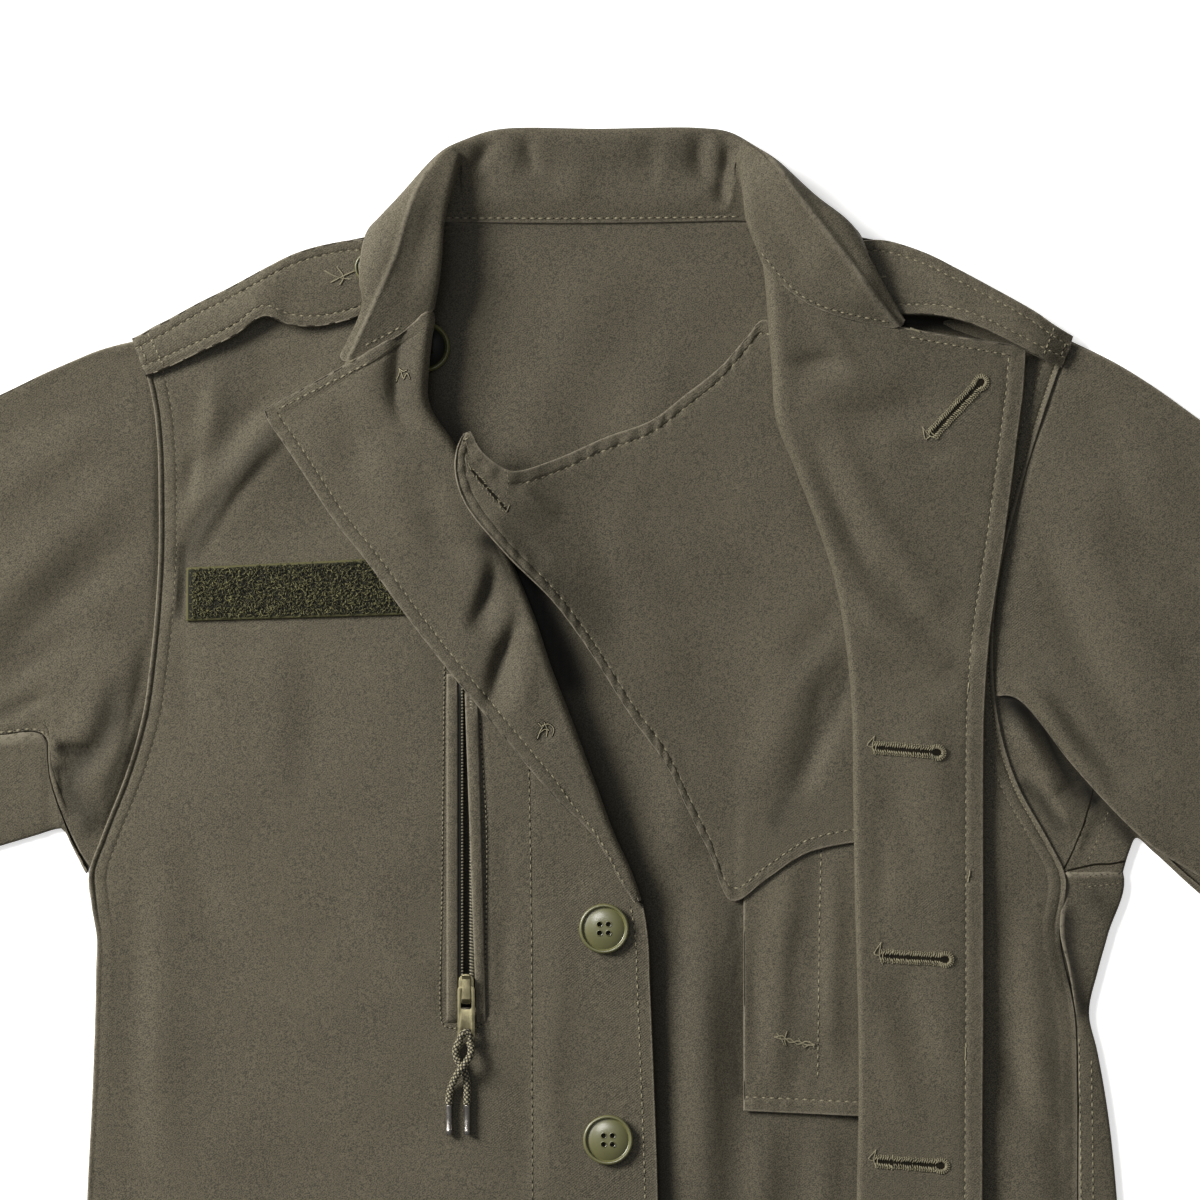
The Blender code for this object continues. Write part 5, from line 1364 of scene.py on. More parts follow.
CREASES_LEFT_LAPEL = table_of(Crease, [
    (-2.6, 3.6, 1.5, ((84, 125), (100, 119), (119, 120))),
    (1.1, 2.2, 2, ((106, 146), (119, 130), (132, 108))),
    (-1.9, 9, 1.3, ((119, 86), (140, 93), (173, 98))),
    (1.2, 8, 1.3, ((100, 96), (115, 106), (150, 111))),
    (-1.2, 3.6, 1.4, ((148, 81), (164, 73.5), (176, 77))),
    (-2.2, 6, 1.5, ((103, 80), (119, 44), (136, 15), (154, -9))),
    (1.8, 7, 1.4, ((118, 85), (131, 51), (151, 22), (174, -2))),
    (-2.4, 5, 1.6, ((140, 20), (160, -7), (190, -26))),
    (1.8, 5, 1.5, ((123, 5), (143, -16), (175, -34))),
    (-1.2, 6, 1.5, ((131, -13), (150, -31), (175, -45))),
    (-1.1, 7, 1.4, ((144, -82), (151, -109), (163, -140))),
    (1, 8, 1.4, ((160, -45), (165, -80), (175, -115))),
    (-1.3, 7, 1.5, ((150, -184), (157, -210), (175, -246))),
    (0.9, 7, 1.5, ((142, -205), (146, -235), (160, -265))),
    (-0.9, 6, 1.5, ((136, -100), (139, -135), (136, -170))),
    (0.8, 8, 1.5, ((170, -150), (172, -200), (169, -250))),
    (-0.8, 8, 1.4, ((150, -300), (160, -360), (150, -425))),
])

PLACKET_LINE = ((-36, -40), (-35.2, -90), (-34.2, -160), (-33.6, -300), (-33.4, -530))
POCKET_FRAME = [        # the stitched frame round the chest zip
    ((-77.6, -33), (-78.2, -90), (-78.8, -150), (-79, -210.6), (-77, -213), (-60, -213), (-58.6, -208)),
    ((-60, -60), (-56.8, -110), (-56.8, -160), (-58.2, -208)),
]


def lower_right(x, y):
    """Relief of the right front's lower layer, which what is sewn on it follows."""
    calm = 1 - np.exp(-(np.abs(x - ZIP_X) / 16.0) ** 2) * ease(y, -275, -262) * (1 - ease(y, -30, 0))
    for button_x, button_y in button_places():
        calm = calm * (1 - np.exp(-(((x - button_x) ** 2 + (y - button_y) ** 2) / 20.0 ** 2)))
    height = creases(CREASES_RIGHT, x, y) + waves(x, y, (0.30, 70.0, 5), (0.05, 16.0, 6))
    frame_lines = sum(groove(line, x, y, 0.4, 1.5, 0.10, 11) for line in POCKET_FRAME)
    placket = groove(PLACKET_LINE, x, y, 0.3, 1.6, 0.16, 12) + 0.25 * ease(x, -36.5, -34.0)
    return height * (0.15 + 0.85 * calm) + frame_lines + placket


def relief_of(table, *layers):
    """A function for the relief of one layer: its creases on uneven cloth."""
    return lambda x, y: creases(table, x, y) + waves(x, y, *layers)


upper_right = relief_of(CREASES_RIGHT_LAPEL, (0.28, 46.0, 21), (0.05, 13.0, 22))
lower_left = relief_of(CREASES_LEFT, (0.22, 55.0, 31), (0.05, 14.0, 32))
upper_left = relief_of(CREASES_LEFT_LAPEL, (0.26, 60.0, 33), (0.05, 14.0, 34))


def button_places():
    return [(x, FIRST_BUTTON_Y - index * BUTTON_PITCH) for index, x in enumerate(FRONT_BUTTON_X)]


# painted shade on the right front's lower layer, in its folds near the armhole
RIGHT_DARK = table_of(Dark, [
    (((-158, 90), (-178, 66), (-196, 42), (-208, 20)), 5, 0.42),
    (((-182, 120), (-186, 94), (-190, 60)), 9, 0.2),
    (((-208, 22), (-210, 6), (-211, -8)), 2, 0.5),
])
# painted shade in the gap under the left shoulder strap
LEFT_DARK = [Dark(((148, 139), (168, 139), (186, 136), (200, 130)), 6, 1.0)]


def right_front_panel():
    rows = [*edge_up(-530), -300, ZIP_LOW, -152, -150, ZIP_TOP, *edge_down(145.5), 153, 177, 184]
    slot = (ZIP_X - ZIP_SLOT / 2, ZIP_X + ZIP_SLOT / 2, ZIP_LOW, ZIP_TOP)
    panel = make_front("front_right", FRONT_RIGHT, FOLDS_RIGHT, RIGHT_GORGE_DIP, levels(rows, FRONT_STEP),
                       CELLS_RIGHT, FrontRelief(lower_right, upper_right, LAPEL_INSET, LAPEL_DARK), slot)
    hem_base(panel)
    panel.paint_shade(RIGHT_DARK, slice(0, panel.flat_count))
    return panel


def left_front_panel():
    rows = [*edge_up(-530), -300, 40, *edge_down(172), 178, 184]
    panel = make_front("front_left", FRONT_LEFT, FOLDS_LEFT, LEFT_GORGE_DIP, levels(rows, FRONT_STEP),
                       CELLS_LEFT, FrontRelief(lower_left, upper_left, STRIP_INSET, ()))
    hem_base(panel)
    panel.paint_shade(LEFT_DARK, slice(0, panel.flat_count))
    return panel


def hem_base(panel):
    """The hem at the foot of a front."""
    base = panel.points[:, :panel.flat_count]
    base[..., 2] += hem(*edge_run(base, 0, last=False), HEM_INSET, seed=41)


# ------------------------------------------------------------------------ sleeves

def outline(table, field, gap):
    """A function of y for one side's outline."""
    def x_of(y):
        return columns(table, "y", np.ravel(y), field)[0].reshape(np.shape(y)) + gap
    return x_of


def across_sleeve(table, at, share, end_fields, x_of):
    """Points of sleeve rows, which keep part of the first row's curve."""
    fields = ("top_x", "top_y", *end_fields, "shape")
    top_x, top_y, end_x, end_y, shape = (v[:, None] for v in columns(table, "top_x", at, *fields))
    first = table[0]
    first_end = [getattr(first, field) for field in end_fields]
    first_x = first.top_x + (first_end[0] - first.top_x) * share
    first_y = first.top_y + (first_end[1] - first.top_y) * share
    x = top_x + (end_x - top_x) * share + shape * (x_of(first_y) - first_x)
    return x, top_y + (end_y - top_y) * share


def sleeve_marks(table, step):
    """Places along a sleeve's top fold, closer in the framed part and at the cuff."""
    start, end = abs(table[0].top_x), abs(table[-1].top_x)
    near = start + EDGE_STEPS * 0.6
    cuff = end - EDGE_STEPS[::-1]
    return np.array([*near[:-1], *np.arange(near[-1], FRAMED_SLEEVE, step),
                     *np.linspace(FRAMED_SLEEVE, end - 12, 60), *cuff])


# painted shade in the folds of the right armpit
ARMPIT_DARK = table_of(Dark, [
    (((-243, -56), (-246, -66), (-252, -76), (-260, -83), (-264, -93), (-260, -103), (-255, -110)), 7, 0.5),
    (((-241, -44), (-243, -54)), 5, 0.3),
    (((-270, -74.6), (-262, -76), (-254, -75.4)), 3.0, 0.75),
    (((-276, -82), (-272, -85), (-267, -83)), 2, 0.6),
])
SLEEVE_CREASES_RIGHT = table_of(Crease, [
    (3.4, 15, 1.0, ((-236, -20), (-246, -60), (-258, -90), (-254, -122))),
    (-3.4, 0.9, 5.5, ((-271, -72), (-262, -72.6), (-253, -73))),
    (-4.4, 6.5, 1.0, ((-242, -38), (-245, -60), (-252, -75), (-262, -83), (-266, -94), (-258, -110))),
    (1.2, 5, 1.4, ((-237, -52), (-242, -70), (-248, -90), (-251, -112))),
    (2.2, 3, 1.2, ((-273, -84), (-273, -94), (-268, -106))),
    (-2, 8, 1.6, ((-224, 36), (-245, 19), (-270, 0), (-300, -24))),
    (1.6, 10, 1.5, ((-230, 65), (-252, 45), (-280, 20), (-310, 0))),
    (-1.3, 9, 1.4, ((-238, 116), (-270, 95), (-305, 77))),
    (1.3, 10, 1.4, ((-245, 90), (-275, 70), (-310, 50))),
    (-1.3, 3, 1.7, ((-274, -47), (-290, -55), (-308, -63))),
    (-2, 3.6, 1.4, ((-225, -20), (-230, -45), (-238, -72))),
    (-1.6, 8, 1.5, ((-255, -10), (-280, -28), (-310, -45))),
    (-1.5, 14, 1.3, ((-340, 60), (-400, 10), (-450, -60))),
    (1.7, 16, 1.3, ((-430, 10), (-500, -30), (-560, -90))),
    (-1.6, 14, 1.3, ((-540, -40), (-600, -90), (-640, -160))),
    (1.5, 15, 1.3, ((-640, -90), (-690, -130), (-730, -200))),
])
SLEEVE_CREASES_LEFT = table_of(Crease, [
    (-2, 8, 1.5, ((219, 40), (234, -8), (253, -46), (278, -89))),
    (1.7, 10, 1.4, ((235, 50), (252, 10), (275, -25), (300, -60))),
    (-1.9, 8, 1.5, ((253, 60), (275, 30), (307, 1))),
    (1.4, 9, 1.4, ((265, 75), (290, 50), (320, 25))),
    (-1, 9, 1.4, ((240, 100), (255, 80), (275, 65))),
    (2.6, 5, 1.6, ((199, -45), (216, -47), (235, -71), (256, -97))),
    (-1.4, 6, 1.5, ((225, -45), (245, -72), (265, -95))),
    (1.2, 14, 1.3, ((330, 30), (390, -40), (430, -120))),
    (-1.4, 14, 1.3, ((420, -20), (480, -100), (520, -170))),
    (1.5, 15, 1.3, ((540, -100), (590, -170), (620, -240))),
    (-1.4, 14, 1.3, ((640, -150), (680, -220), (700, -280))),
])


def sleeve_upper_panel(name, table, front, field_gap, folds, crease_table, dark, seed):
    """The upper piece of a sleeve, from its top fold to the underarm seam."""
    at = sleeve_marks(table, FINE_STEP)
    first = table[0]
    width = math.hypot(first.seam_x - first.top_x, first.seam_y - first.top_y)
    near_seam = width - FINE_UNDERARM
    share = np.array([*EDGE_STEPS[:-1], *np.linspace(EDGE_STEPS[-1], near_seam, 38)[:-1],
                      *np.linspace(near_seam, width - EDGE_STEPS[-1], 52)[:-1],
                      *(width - EDGE_STEPS[::-1])])[None] / width
    x, y = across_sleeve(table, at, share, ("seam_x", "seam_y"), outline(front, "side", field_gap))
    seam_z, belly = (v[:, None] for v in columns(table, "top_x", at, "seam_z", "belly"))
    fade = 4 * share * (1 - share)
    edge_calm = ease(width * share, 0, 12) * ease(width * (1 - share), 0, 8)
    z = SECOND_LAYER + (seam_z - SECOND_LAYER) * share + belly * fade
    z = z + ridges(folds, x, y) * np.minimum(1, 2 * fade)
    uneven = waves(x, y, (0.45, 80.0, seed), (0.06, 15.0, seed + 1))
    z = z + edge_calm * (creases(crease_table, x, y) + uneven)
    points = np.stack([x, y, z], axis=2)
    away, run = edge_run(points, 1, last=True)
    points[..., 2] += hem(away, run, 6.0, seed=seed + 2, rise=0.25) * ease(np.abs(x), 262, 272)
    away, run = edge_run(points, 0, last=True)
    points[..., 2] += hem(away, run, HEM_INSET, seed=seed + 3)
    away, run = edge_run(points, 0, last=False)
    points[..., 2] += 0.25 * pucker(run, seed + 4) * np.exp(-((away - 8) / 6.0) ** 2)
    points[..., 2] = np.maximum(points[..., 2], SECOND_LAYER - 0.2)
    tucked = np.exp(-(away / (TUCK + 1.2)) ** 4)
    points[..., 2] += (np.minimum(points[..., 2], SECOND_LAYER - 0.1) - points[..., 2]) * tucked
    panel = Panel(name, points, CLOTH)
    panel.paint_shade(dark)
    return panel


def floor_part(table, at, x_of):
    """The part of an under piece that lies on the floor, and its low fold."""
    x, y = across_sleeve(table, at, np.linspace(0, 1, 34)[None], ("low_x", "low_y"), x_of)
    low = np.stack(columns(table, "top_x", at, "low_x", "low_y"), axis=1)
    return np.stack([x, y, np.full_like(x, FLOOR_LAYER)], axis=2), low


def bend_up(start, outward):
    """Points round a low side fold that turns up and over, after its start."""
    angle = math.pi * np.arange(1, TURN_STEPS + 1) / TURN_STEPS
    reach = SIDE_FOLD * np.sin(angle)
    rise = np.broadcast_to(SIDE_FOLD * (1 - np.cos(angle)), (len(start), TURN_STEPS))
    return start[:, None] + np.dstack([outward[:, None, 0] * reach, outward[:, None, 1] * reach, rise])


def sleeve_under_right_panel():
    """Lies on the floor and comes round the low fold up to the underarm seam."""
    table = SLEEVE_RIGHT
    at = sleeve_marks(table, 5.0)
    floor, low = floor_part(table, at, outline(BACK, "right", -SEAM_GAP))
    seam = np.stack(columns(table, "top_x", at, "seam_x", "seam_y"), axis=1)
    outward = unit(low - seam)
    grows = ease(at, at[0], at[0] + 6.0)[:, None]
    floor[:, -1, :2] -= outward * (SIDE_FOLD + CLOTH / 2) * grows
    bend = bend_up(floor[:, -1], outward)
    end = np.column_stack([seam + outward * SEAM_GAP, np.full(len(at), SECOND_LAYER)])
    lip = bend[:, -1:] + (end - bend[:, -1])[:, None] * np.linspace(0, 1, 9)[1:, None]
    points = np.concatenate([floor, bend, lip], axis=1)
    points[..., 2] += 0.3 * (points[..., 2] > FLOOR_LAYER + 1) * pucker(points[..., 0], 61)
    cells = all_cells(points)
    cells[at[:-1] < at[0] + 0.2, floor.shape[1] - 1:] = False
    return Panel("sleeve_right_under", points, CLOTH, cells)


UNDERARM_CREASES = table_of(Crease, [
    (4.6, 6.5, 0.6, ((199, -50), (207, -64), (216, -75), (225, -86), (230, -96))),
    (2.2, 5, 0.8, ((214, -83), (224, -94), (232, -106), (236, -120))),
    (-1.4, 2.4, 1.4, ((212, -92), (220, -100), (230, -113))),
    (1.2, 2.0, 0.5, ((247, -94), (243.6, -108), (239, -122), (234.6, -136))),
])
# painted shade in the folds under the left arm
UNDERARM_DARK = table_of(Dark, [
    (((207, -51.5), (215, -57.5), (223.6, -68.6), (232.4, -82), (239.6, -93), (247, -99.6)), 7.5, 1.0),
    (((212, -92), (220, -100), (230, -113)), 3.4, 0.6),
    (((252, -103), (258, -110), (265, -118)), 5, 0.75),
])
UNDERARM_SEAM = ((247, -92), (243.2, -107), (238.4, -121), (231.6, -135))
UNDERARM_CROSS = ((234.4, -135.0), (240.7, -133.6), (247.5, -132.2), (255.6, -131.8), (263.0, -130.4))
UNDERARM_STITCHES = ((254, -106), (250, -116), (244.6, -129), (242, -133))
BACK_ARMHOLE_STITCHES = [
    ((243, -138.4), (250, -137.2), (262, -136.6)),
    ((244, -143.4), (250, -142.6), (260, -141.4)),
]


def sleeve_under_left_panel():
    """Lies on the floor and comes round to the front below the armhole."""
    table = SLEEVE_LEFT
    at = sleeve_marks(table, FINE_STEP)
    floor, low = floor_part(table, at, outline(BACK, "left", SEAM_GAP))
    knots = [row.top_x for row in table]
    hidden_table = [*UNDERARM_LEFT, *[UNDERARM_LEFT[-1]] * (len(table) - len(UNDERARM_LEFT))]
    hidden = smooth(knots, hidden_table, at)
    first = 1 - ease(at, at[0], knots[1])[:, None]
    outward = unit(unit(low - hidden) * (1 - first) + np.array((1.0, 0.0)) * first)
    floor[:, -1, :2] -= outward * (SIDE_FOLD + CLOTH / 2)
    bend = bend_up(floor[:, -1], outward)
    start = bend[:, -1]
    t = np.linspace(0, 1, 72)[1:]
    armhole = outline(FRONT_LEFT, "side", -TUCK)
    corner = [(UNDERARM_LOW, start[0, 1] - TUCK), *[(float(armhole(y)), y) for y in UNDERARM_STEPS]]
    curve = through([start[0, :2], *corner], t * len(corner))
    straight = start[:, None, :2] + (hidden - start[:, :2])[:, None] * t[:, None]
    first_line = start[0, :2] + (hidden[0] - start[0, :2]) * t[:, None]
    flat = straight + (curve - first_line) * first[..., None]
    flat[0] = curve
    lip = np.dstack([flat, np.full(flat.shape[:2], SECOND_LAYER)])
    x, y = lip[..., 0], lip[..., 1]
    shape = creases(UNDERARM_CREASES, x, y) + waves(x, y, (0.35, 22.0, 71))
    inside = ease(at, at[0] + 1.0, at[0] + 5.0)[:, None]
    lip[..., 2] += np.clip(shape, -0.5, 4.8) * ease(t, 0.0, 0.1) * inside
    points = np.concatenate([floor, bend, lip], axis=1)
    cells = all_cells(points)
    cells[at[1:] > knots[3] + 0.1, floor.shape[1] - 1 + TURN_STEPS + 14:] = False
    turn = slice(floor.shape[1] - 4, floor.shape[1] + 7)
    points[0, turn, :2] -= (0.3, 1.6)
    panel = Panel("sleeve_left_under", points, CLOTH, cells)
    panel.paint_shade(UNDERARM_DARK, slice(floor.shape[1] + TURN_STEPS - 1, None))
    return panel


# ------------------------------------------------------------------ back, inner parts

BACK_CREASES = table_of(Crease, [
    (0.9, 14, 1.4, ((-60, 120), (-20, 60), (-30, 0))),
    (-0.5, 14, 1.4, ((40, 150), (60, 110), (40, 60))),
    (4.6, 10, 0.8, ((46, -130), (51, -175), (52, -230), (53, -350))),
    (2.4, 6, 1.1, ((82, -255), (82, -280), (80, -350))),
    (2.4, 6, 1.1, ((113, -255), (112, -280), (110, -350))),
    (2, 9, 1, ((27.5, -50), (38, -90), (45, -130))),
    (1.2, 12, 1.3, ((60, -380), (70, -450), (66, -520))),
])
# painted shade on the back's inside: beside the open fronts, inside the neck, beside the inner pocket and by
# the left side seam
BACK_DARK = table_of(Dark, [
    (((-52, 40), (-44, 18), (-32, -9.5), (-24.5, -32.5), (-16, -54.5), (-4, -85), (8, -119), (20, -150),
      (25, -191), (27, -232), (29, -300), (30, -530)), 8, 0.62),
    (((-50, 44), (-41, 20), (-32, 0), (-23, -22), (-16, -40)), 11, 1.0),
    (((-79, 188), (-80, 160), (-84, 130), (-84, 100), (-70, 77)), 9, 0.45),
    (((66, -152), (68, -190), (68.5, -245)), 4, 0.5),
    (((40, -190), (52, -240), (60, -300)), 26, 0.16),
    (((233.0, -158), (233.8, -174), (237.8, -191.4), (241.4, -204.5)), 4.5, 0.85),
    (((246.5, -147.5), (251.5, -151), (255, -157)), 3.5, 0.35),
])


def back_panel():
    rows = [*edge_up(-530), -300, -250, -136, 0, 100, 187.4, 190.6]
    y = levels(rows, BACK_STEP)
    right, left = columns(BACK, "y", y, "right", "left")
    low_rows = [row for row in BACK if row.seam is not None]
    has = y <= low_rows[-1].y + 1e-6
    seam = columns(low_rows, "y", y.clip(None, low_rows[-1].y), "seam")[0]
    edge = left - np.where(has, SIDE_FOLD + CLOTH / 2, 0.0)
    width = edge - right
    x = right[:, None] + spread(width, 96, near=4.0)
    cross_y = y[:, None] + 0 * x
    z = FLOOR_LAYER + 0.4 * ease(cross_y, 182, 188)
    rise = creases(BACK_CREASES, x, cross_y) + 0.5 + waves(x, cross_y, (0.45, 60.0, 81))
    between = ease(x, -100, -60) * (1 - ease(x, 120, 140))
    z = z + np.clip(rise, 0, 5.5) * between * (1 - ease(cross_y, 150, 184))
    floor = np.stack([x, cross_y, z], axis=2)
    bend = bend_up(floor[:, -1], np.tile((1.0, 0.0), (len(y), 1)))
    end = np.column_stack([seam, y, np.full(len(y), SECOND_LAYER)])
    t = np.linspace(0, 1, 10)[1:]
    lip = bend[:, -1:] + (end - bend[:, -1])[:, None] * t[:, None]
    lip[..., 2] += 0.4 * np.sin(math.pi * t) * (1 + 0.5 * pucker(y, 83))[:, None]
    lip[..., 2] += SEAM_RIDGE * np.exp(-((y + 136) / 3.0) ** 4)[:, None] * ease(t, 0.0, 0.12)
    points = np.concatenate([floor, bend, lip], axis=1)
    points[..., 2] += hem(*edge_run(points, 0, last=False), HEM_INSET, seed=82, rise=0.2)
    cells = all_cells(points)
    cells[:, floor.shape[1] - 1:] = (has[:-1] & has[1:])[:, None]
    panel = Panel("back", points, CLOTH, cells)
    panel.paint_shade(BACK_DARK)
    return panel


FLAP_CREASES = table_of(Crease, [
    (-2.6, 6, 1.5, ((123, -38), (108, -74), (97, -101), (83, -128))),
    (1.8, 10, 1.2, ((103, -30), (88, -70), (75, -105))),
    (-1.7, 9, 1.4, ((20, 61), (58, 44), (94, 27), (118, 17))),
    (1.3, 9, 1.4, ((25, 40), (58, 22), (95, 5))),
    (-1.2, 8, 1.4, ((20, -11), (60, 0), (100, -3))),
    (-1.8, 3.6, 1.6, ((121, -6), (107, -20), (93, -32))),
    (-1.8, 3.4, 1.6, ((126, -30), (119, -46), (106, -58))),
    (1.3, 5, 1.6, ((118, -23), (105, -38), (95, -50))),
    (-1.9, 2, 1.3, ((78.5, 141), (77, 134), (78, 127))),
    (-1.6, 1.8, 1.3, ((83, 144), (82, 135), (82, 127))),
    (1.3, 3, 1.5, ((-40, 57), (-34, 50), (-20, 43))),
    (-1.5, 4, 1.6, ((-50, 40), (-36, 28), (-26, 17))),
    (1.4, 3, 1.5, ((-40, 20), (-30, 10), (-20, 4))),
    (-1, 8, 1.4, ((-5, 50), (0, 20), (20, -10))),
    (1, 10, 1.4, ((20, -20), (45, -60), (60, -100))),
])
# painted shade in the storm flap's folds
FLAP_DARK = table_of(Dark, [
    (((124, -40), (110, -62), (99, -85), (87, -110)), 3.6, 0.34),
    (((-40, 28), (-30, 14), (-18, 0), (0, -12)), 12, 0.2),
])


def long_edges(table):
    """The two long edges of a band, from its table."""
    return ([(row.top_x, row.top_y, row.top_z) for row in table],
            [(row.low_x, row.low_y, row.low_z) for row in table])


def band(table, at, count, inset):
    """A grid from a band's top edge to its low edge, and how far across each point is."""
    top, low = (through(edge, at) for edge in long_edges(table))
    width = np.linalg.norm(low - top, axis=1)
    share = spread(width, count, near=inset, far=inset) / width[:, None]
    return top[:, None] + (low - top)[:, None] * share[..., None], share


def storm_flap_panel():
    at = shares(long_edges(STORM_FLAP)[1], 2.2, near=5.0)
    points, share = band(STORM_FLAP, at, 26, FLAP_INSET)
    x, y = points[..., 0], points[..., 1]
    middle = np.minimum(1, 6 * share * (1 - share))
    points[..., 2] += (creases(FLAP_CREASES, x, y) + waves(x, y, (0.3, 45.0, 91))) * middle
    free_low, _ = edge_run(points, 1, last=True)
    edges = nearest_edge(points, (0, False), (1, True), (1, False))
    points[..., 2] += hem(*edges, FLAP_INSET, seed=92, ripple=0.55)
    tab = ease(-x, 24, 34)
    points[..., 2] -= 1.1 * tab * np.exp(-((free_low - 1.6) / 0.7) ** 2)
    on_pocket = (x > INNER_POCKET_SIDES[0] - 2) & (y < INNER_POCKET_TOP + 4)
    points[..., 2] = np.maximum(points[..., 2], np.where(on_pocket, FLAP_ON_POCKET, FLAP_ON_BACK))
    panel = Panel("storm_flap", points, CLOTH)
    panel.paint_shade(FLAP_DARK)
    return panel


# painted shade along the inner pocket's fold
POCKET_DARK = [Dark(((104, -120), (105, -150), (103, -190), (101, -215)), 5, 0.14)]
POCKET_FOLD = ((110.8, -118), (109.6, -180), (108.8, -242))
POCKET_CREASES = table_of(Crease, [
    (-1.2, 5, 1.4, ((105, -125), (105, -150), (102, -185), (101, -215))),
    (1.4, 5, 1.4, ((94, -130), (92, -165), (90, -205), (86, -245))),
    (1.2, 4, 1.2, ((117, -125), (118, -160), (116, -200), (118, -240))),
    (-1.0, 3, 1.4, ((103, -224), (99, -236), (97, -250))),
    (-0.8, 3, 1.4, ((79, -150), (78, -190), (80, -240))),
])


def inner_pocket_panel():
    left, right = INNER_POCKET_SIDES
    across = spread([right - left], 22, near=4.0)[0]
    low = np.interp(across, [0, right - left], INNER_POCKET_LOW)
    tall = INNER_POCKET_TOP - low
    up = spread(tall, 52, near=HEM_INSET)
    x = left + np.broadcast_to(across[:, None], up.shape)
    points = np.stack([x, low[:, None] + up, np.full(up.shape, SECOND_LAYER + 0.2)], axis=2)
    points = points.transpose(1, 0, 2)
    x, y = points[..., 0], points[..., 1]
    folds = creases(POCKET_CREASES, x, y) * ease(-y, 118, 135)
    points[..., 2] += np.clip(0.7 + waves(x, y, (0.3, 40.0, 95)) + folds, 0, 3)
    points[..., 2] += groove(POCKET_FOLD, x, y, 0.35, 1.5)
    points[..., 2] -= 0.9 * ease(y, -128, -112)
    points[..., 2] += hem(*edge_run(points, 0, last=False), HEM_INSET, seed=96, ripple=0.6)
    panel = Panel("inner_pocket", points, CLOTH)
    panel.paint_shade(POCKET_DARK)
    return panel


# ---------------------------------------------------------------- collar, straps

COLLAR_CREASES = table_of(Crease, [
    (-2.2, 3.4, 1.6, ((-51.5, 232), (-57, 224), (-67, 212))),
    (1.6, 4, 1.4, ((-62, 231), (-65, 220), (-67, 205))),
    (-1.8, 2.6, 1.6, ((-36, 233), (-35, 224), (-32, 212))),
    (1, 5, 1.4, ((-44, 232), (-45, 220), (-47, 205))),
    (-2.4, 3.4, 1.5, ((51, 234), (50, 220), (54, 207))),
    (1.8, 3.4, 1.3, ((58, 233), (59, 220), (61, 207))),
    (-2.2, 2.8, 1.3, ((64, 227), (61, 205), (65, 193))),
    (-1, 4, 1.5, ((28, 233), (26, 220), (25, 205))),
    (0.8, 8, 1.5, ((-10, 225), (-12, 210), (-14, 195))),
    (-1.2, 7, 1.4, ((-82, 205), (-89, 175), (-98, 150))),
    (-1.3, 7, 1.4, ((78, 202), (95, 175), (118, 152))),
    (-1.2, 6, 1.4, ((100, 205), (118, 184), (134, 162))),
])
# painted shade along the back of the collar
COLLAR_DARK = [Dark(((-60, 222), (0, 222), (62, 222)), 16, 0.13)]


def collar_panel():
    down = shares([row.crest for row in COLLAR], 2.3, near=4.0, far=4.0)
    across = np.concatenate([np.linspace(0, 5, 56)[:-4], 5 - np.array((0.28, 0.17, 0.09, 0.04, 0.0))])
    points = net(COLLAR, down, across)
    x, y = points[..., 0], points[..., 1]
    inner = ease(across, 0.6, 1.2) * (1 - ease(across, 3.2, 3.8))
    points[..., 2] += (creases(COLLAR_CREASES, x, y) + waves(x, y, (0.22, 30.0, 101))) * inner
    rim = hem(*edge_run(points, 1, last=False), COLLAR_INSET, seed=102, rise=0.1, ripple=0.12)
    points[..., 2] += rim * ease(across, 0.1, 0.5)
    folded = ease(np.abs(x), 70, 82)
    crest = np.exp(-np.abs(across - 3) / 0.1) * folded
    points[..., 2] += np.where(x > 0, 1.7, 1.1) * crest
    panel = Panel("collar", points, COLLAR_WALL)
    # a pale line along the folded crest: painted highlight, partly wear
    panel.worn = 0.8 * np.exp(-((across - 3) / 0.07) ** 2) * folded
    panel.paint_shade(COLLAR_DARK)
    return panel


def strap_panel(name, table, seed):
    at = shares(long_edges(table)[0], 1.9, near=3.0, far=4.0)
    points, share = band(table, at, 14, STRAP_INSET)
    points[..., 2] += np.sin(math.pi * share)
    x, y = points[..., 0], points[..., 1]
    points[..., 2] += waves(x, y, (0.35, 30.0, seed)) * np.minimum(1, 5 * share * (1 - share))
    edges = nearest_edge(points, (1, False), (1, True))
    points[..., 2] += hem(*edges, STRAP_INSET, seed=seed + 1, ripple=0.22)
    return Panel(name, points, STRAP_WALL)


# ------------------------------------------------------------- on the right front

def on_front(name, corners, rise, wall, rows, wide):
    """A strip that lies on the right front and follows its relief."""
    a, b, c, d = (np.array(corner, float) for corner in corners)
    across = spread([np.linalg.norm(b - a)], wide)[0] / np.linalg.norm(b - a)
    along = np.linspace(0, 1, rows + 1)
    start = d + (a - d) * along[:, None]
    end = c + (b - c) * along[:, None]
    flat = start[:, None] + (end - start)[:, None] * across[:, None]
    x, y = flat[..., 0], flat[..., 1]
    z = lie(FRONT_RIGHT, FOLDS_RIGHT, x, y) + lower_right(x, y) + rise
    return Panel(name, np.stack([x, y, z], axis=2), wall)


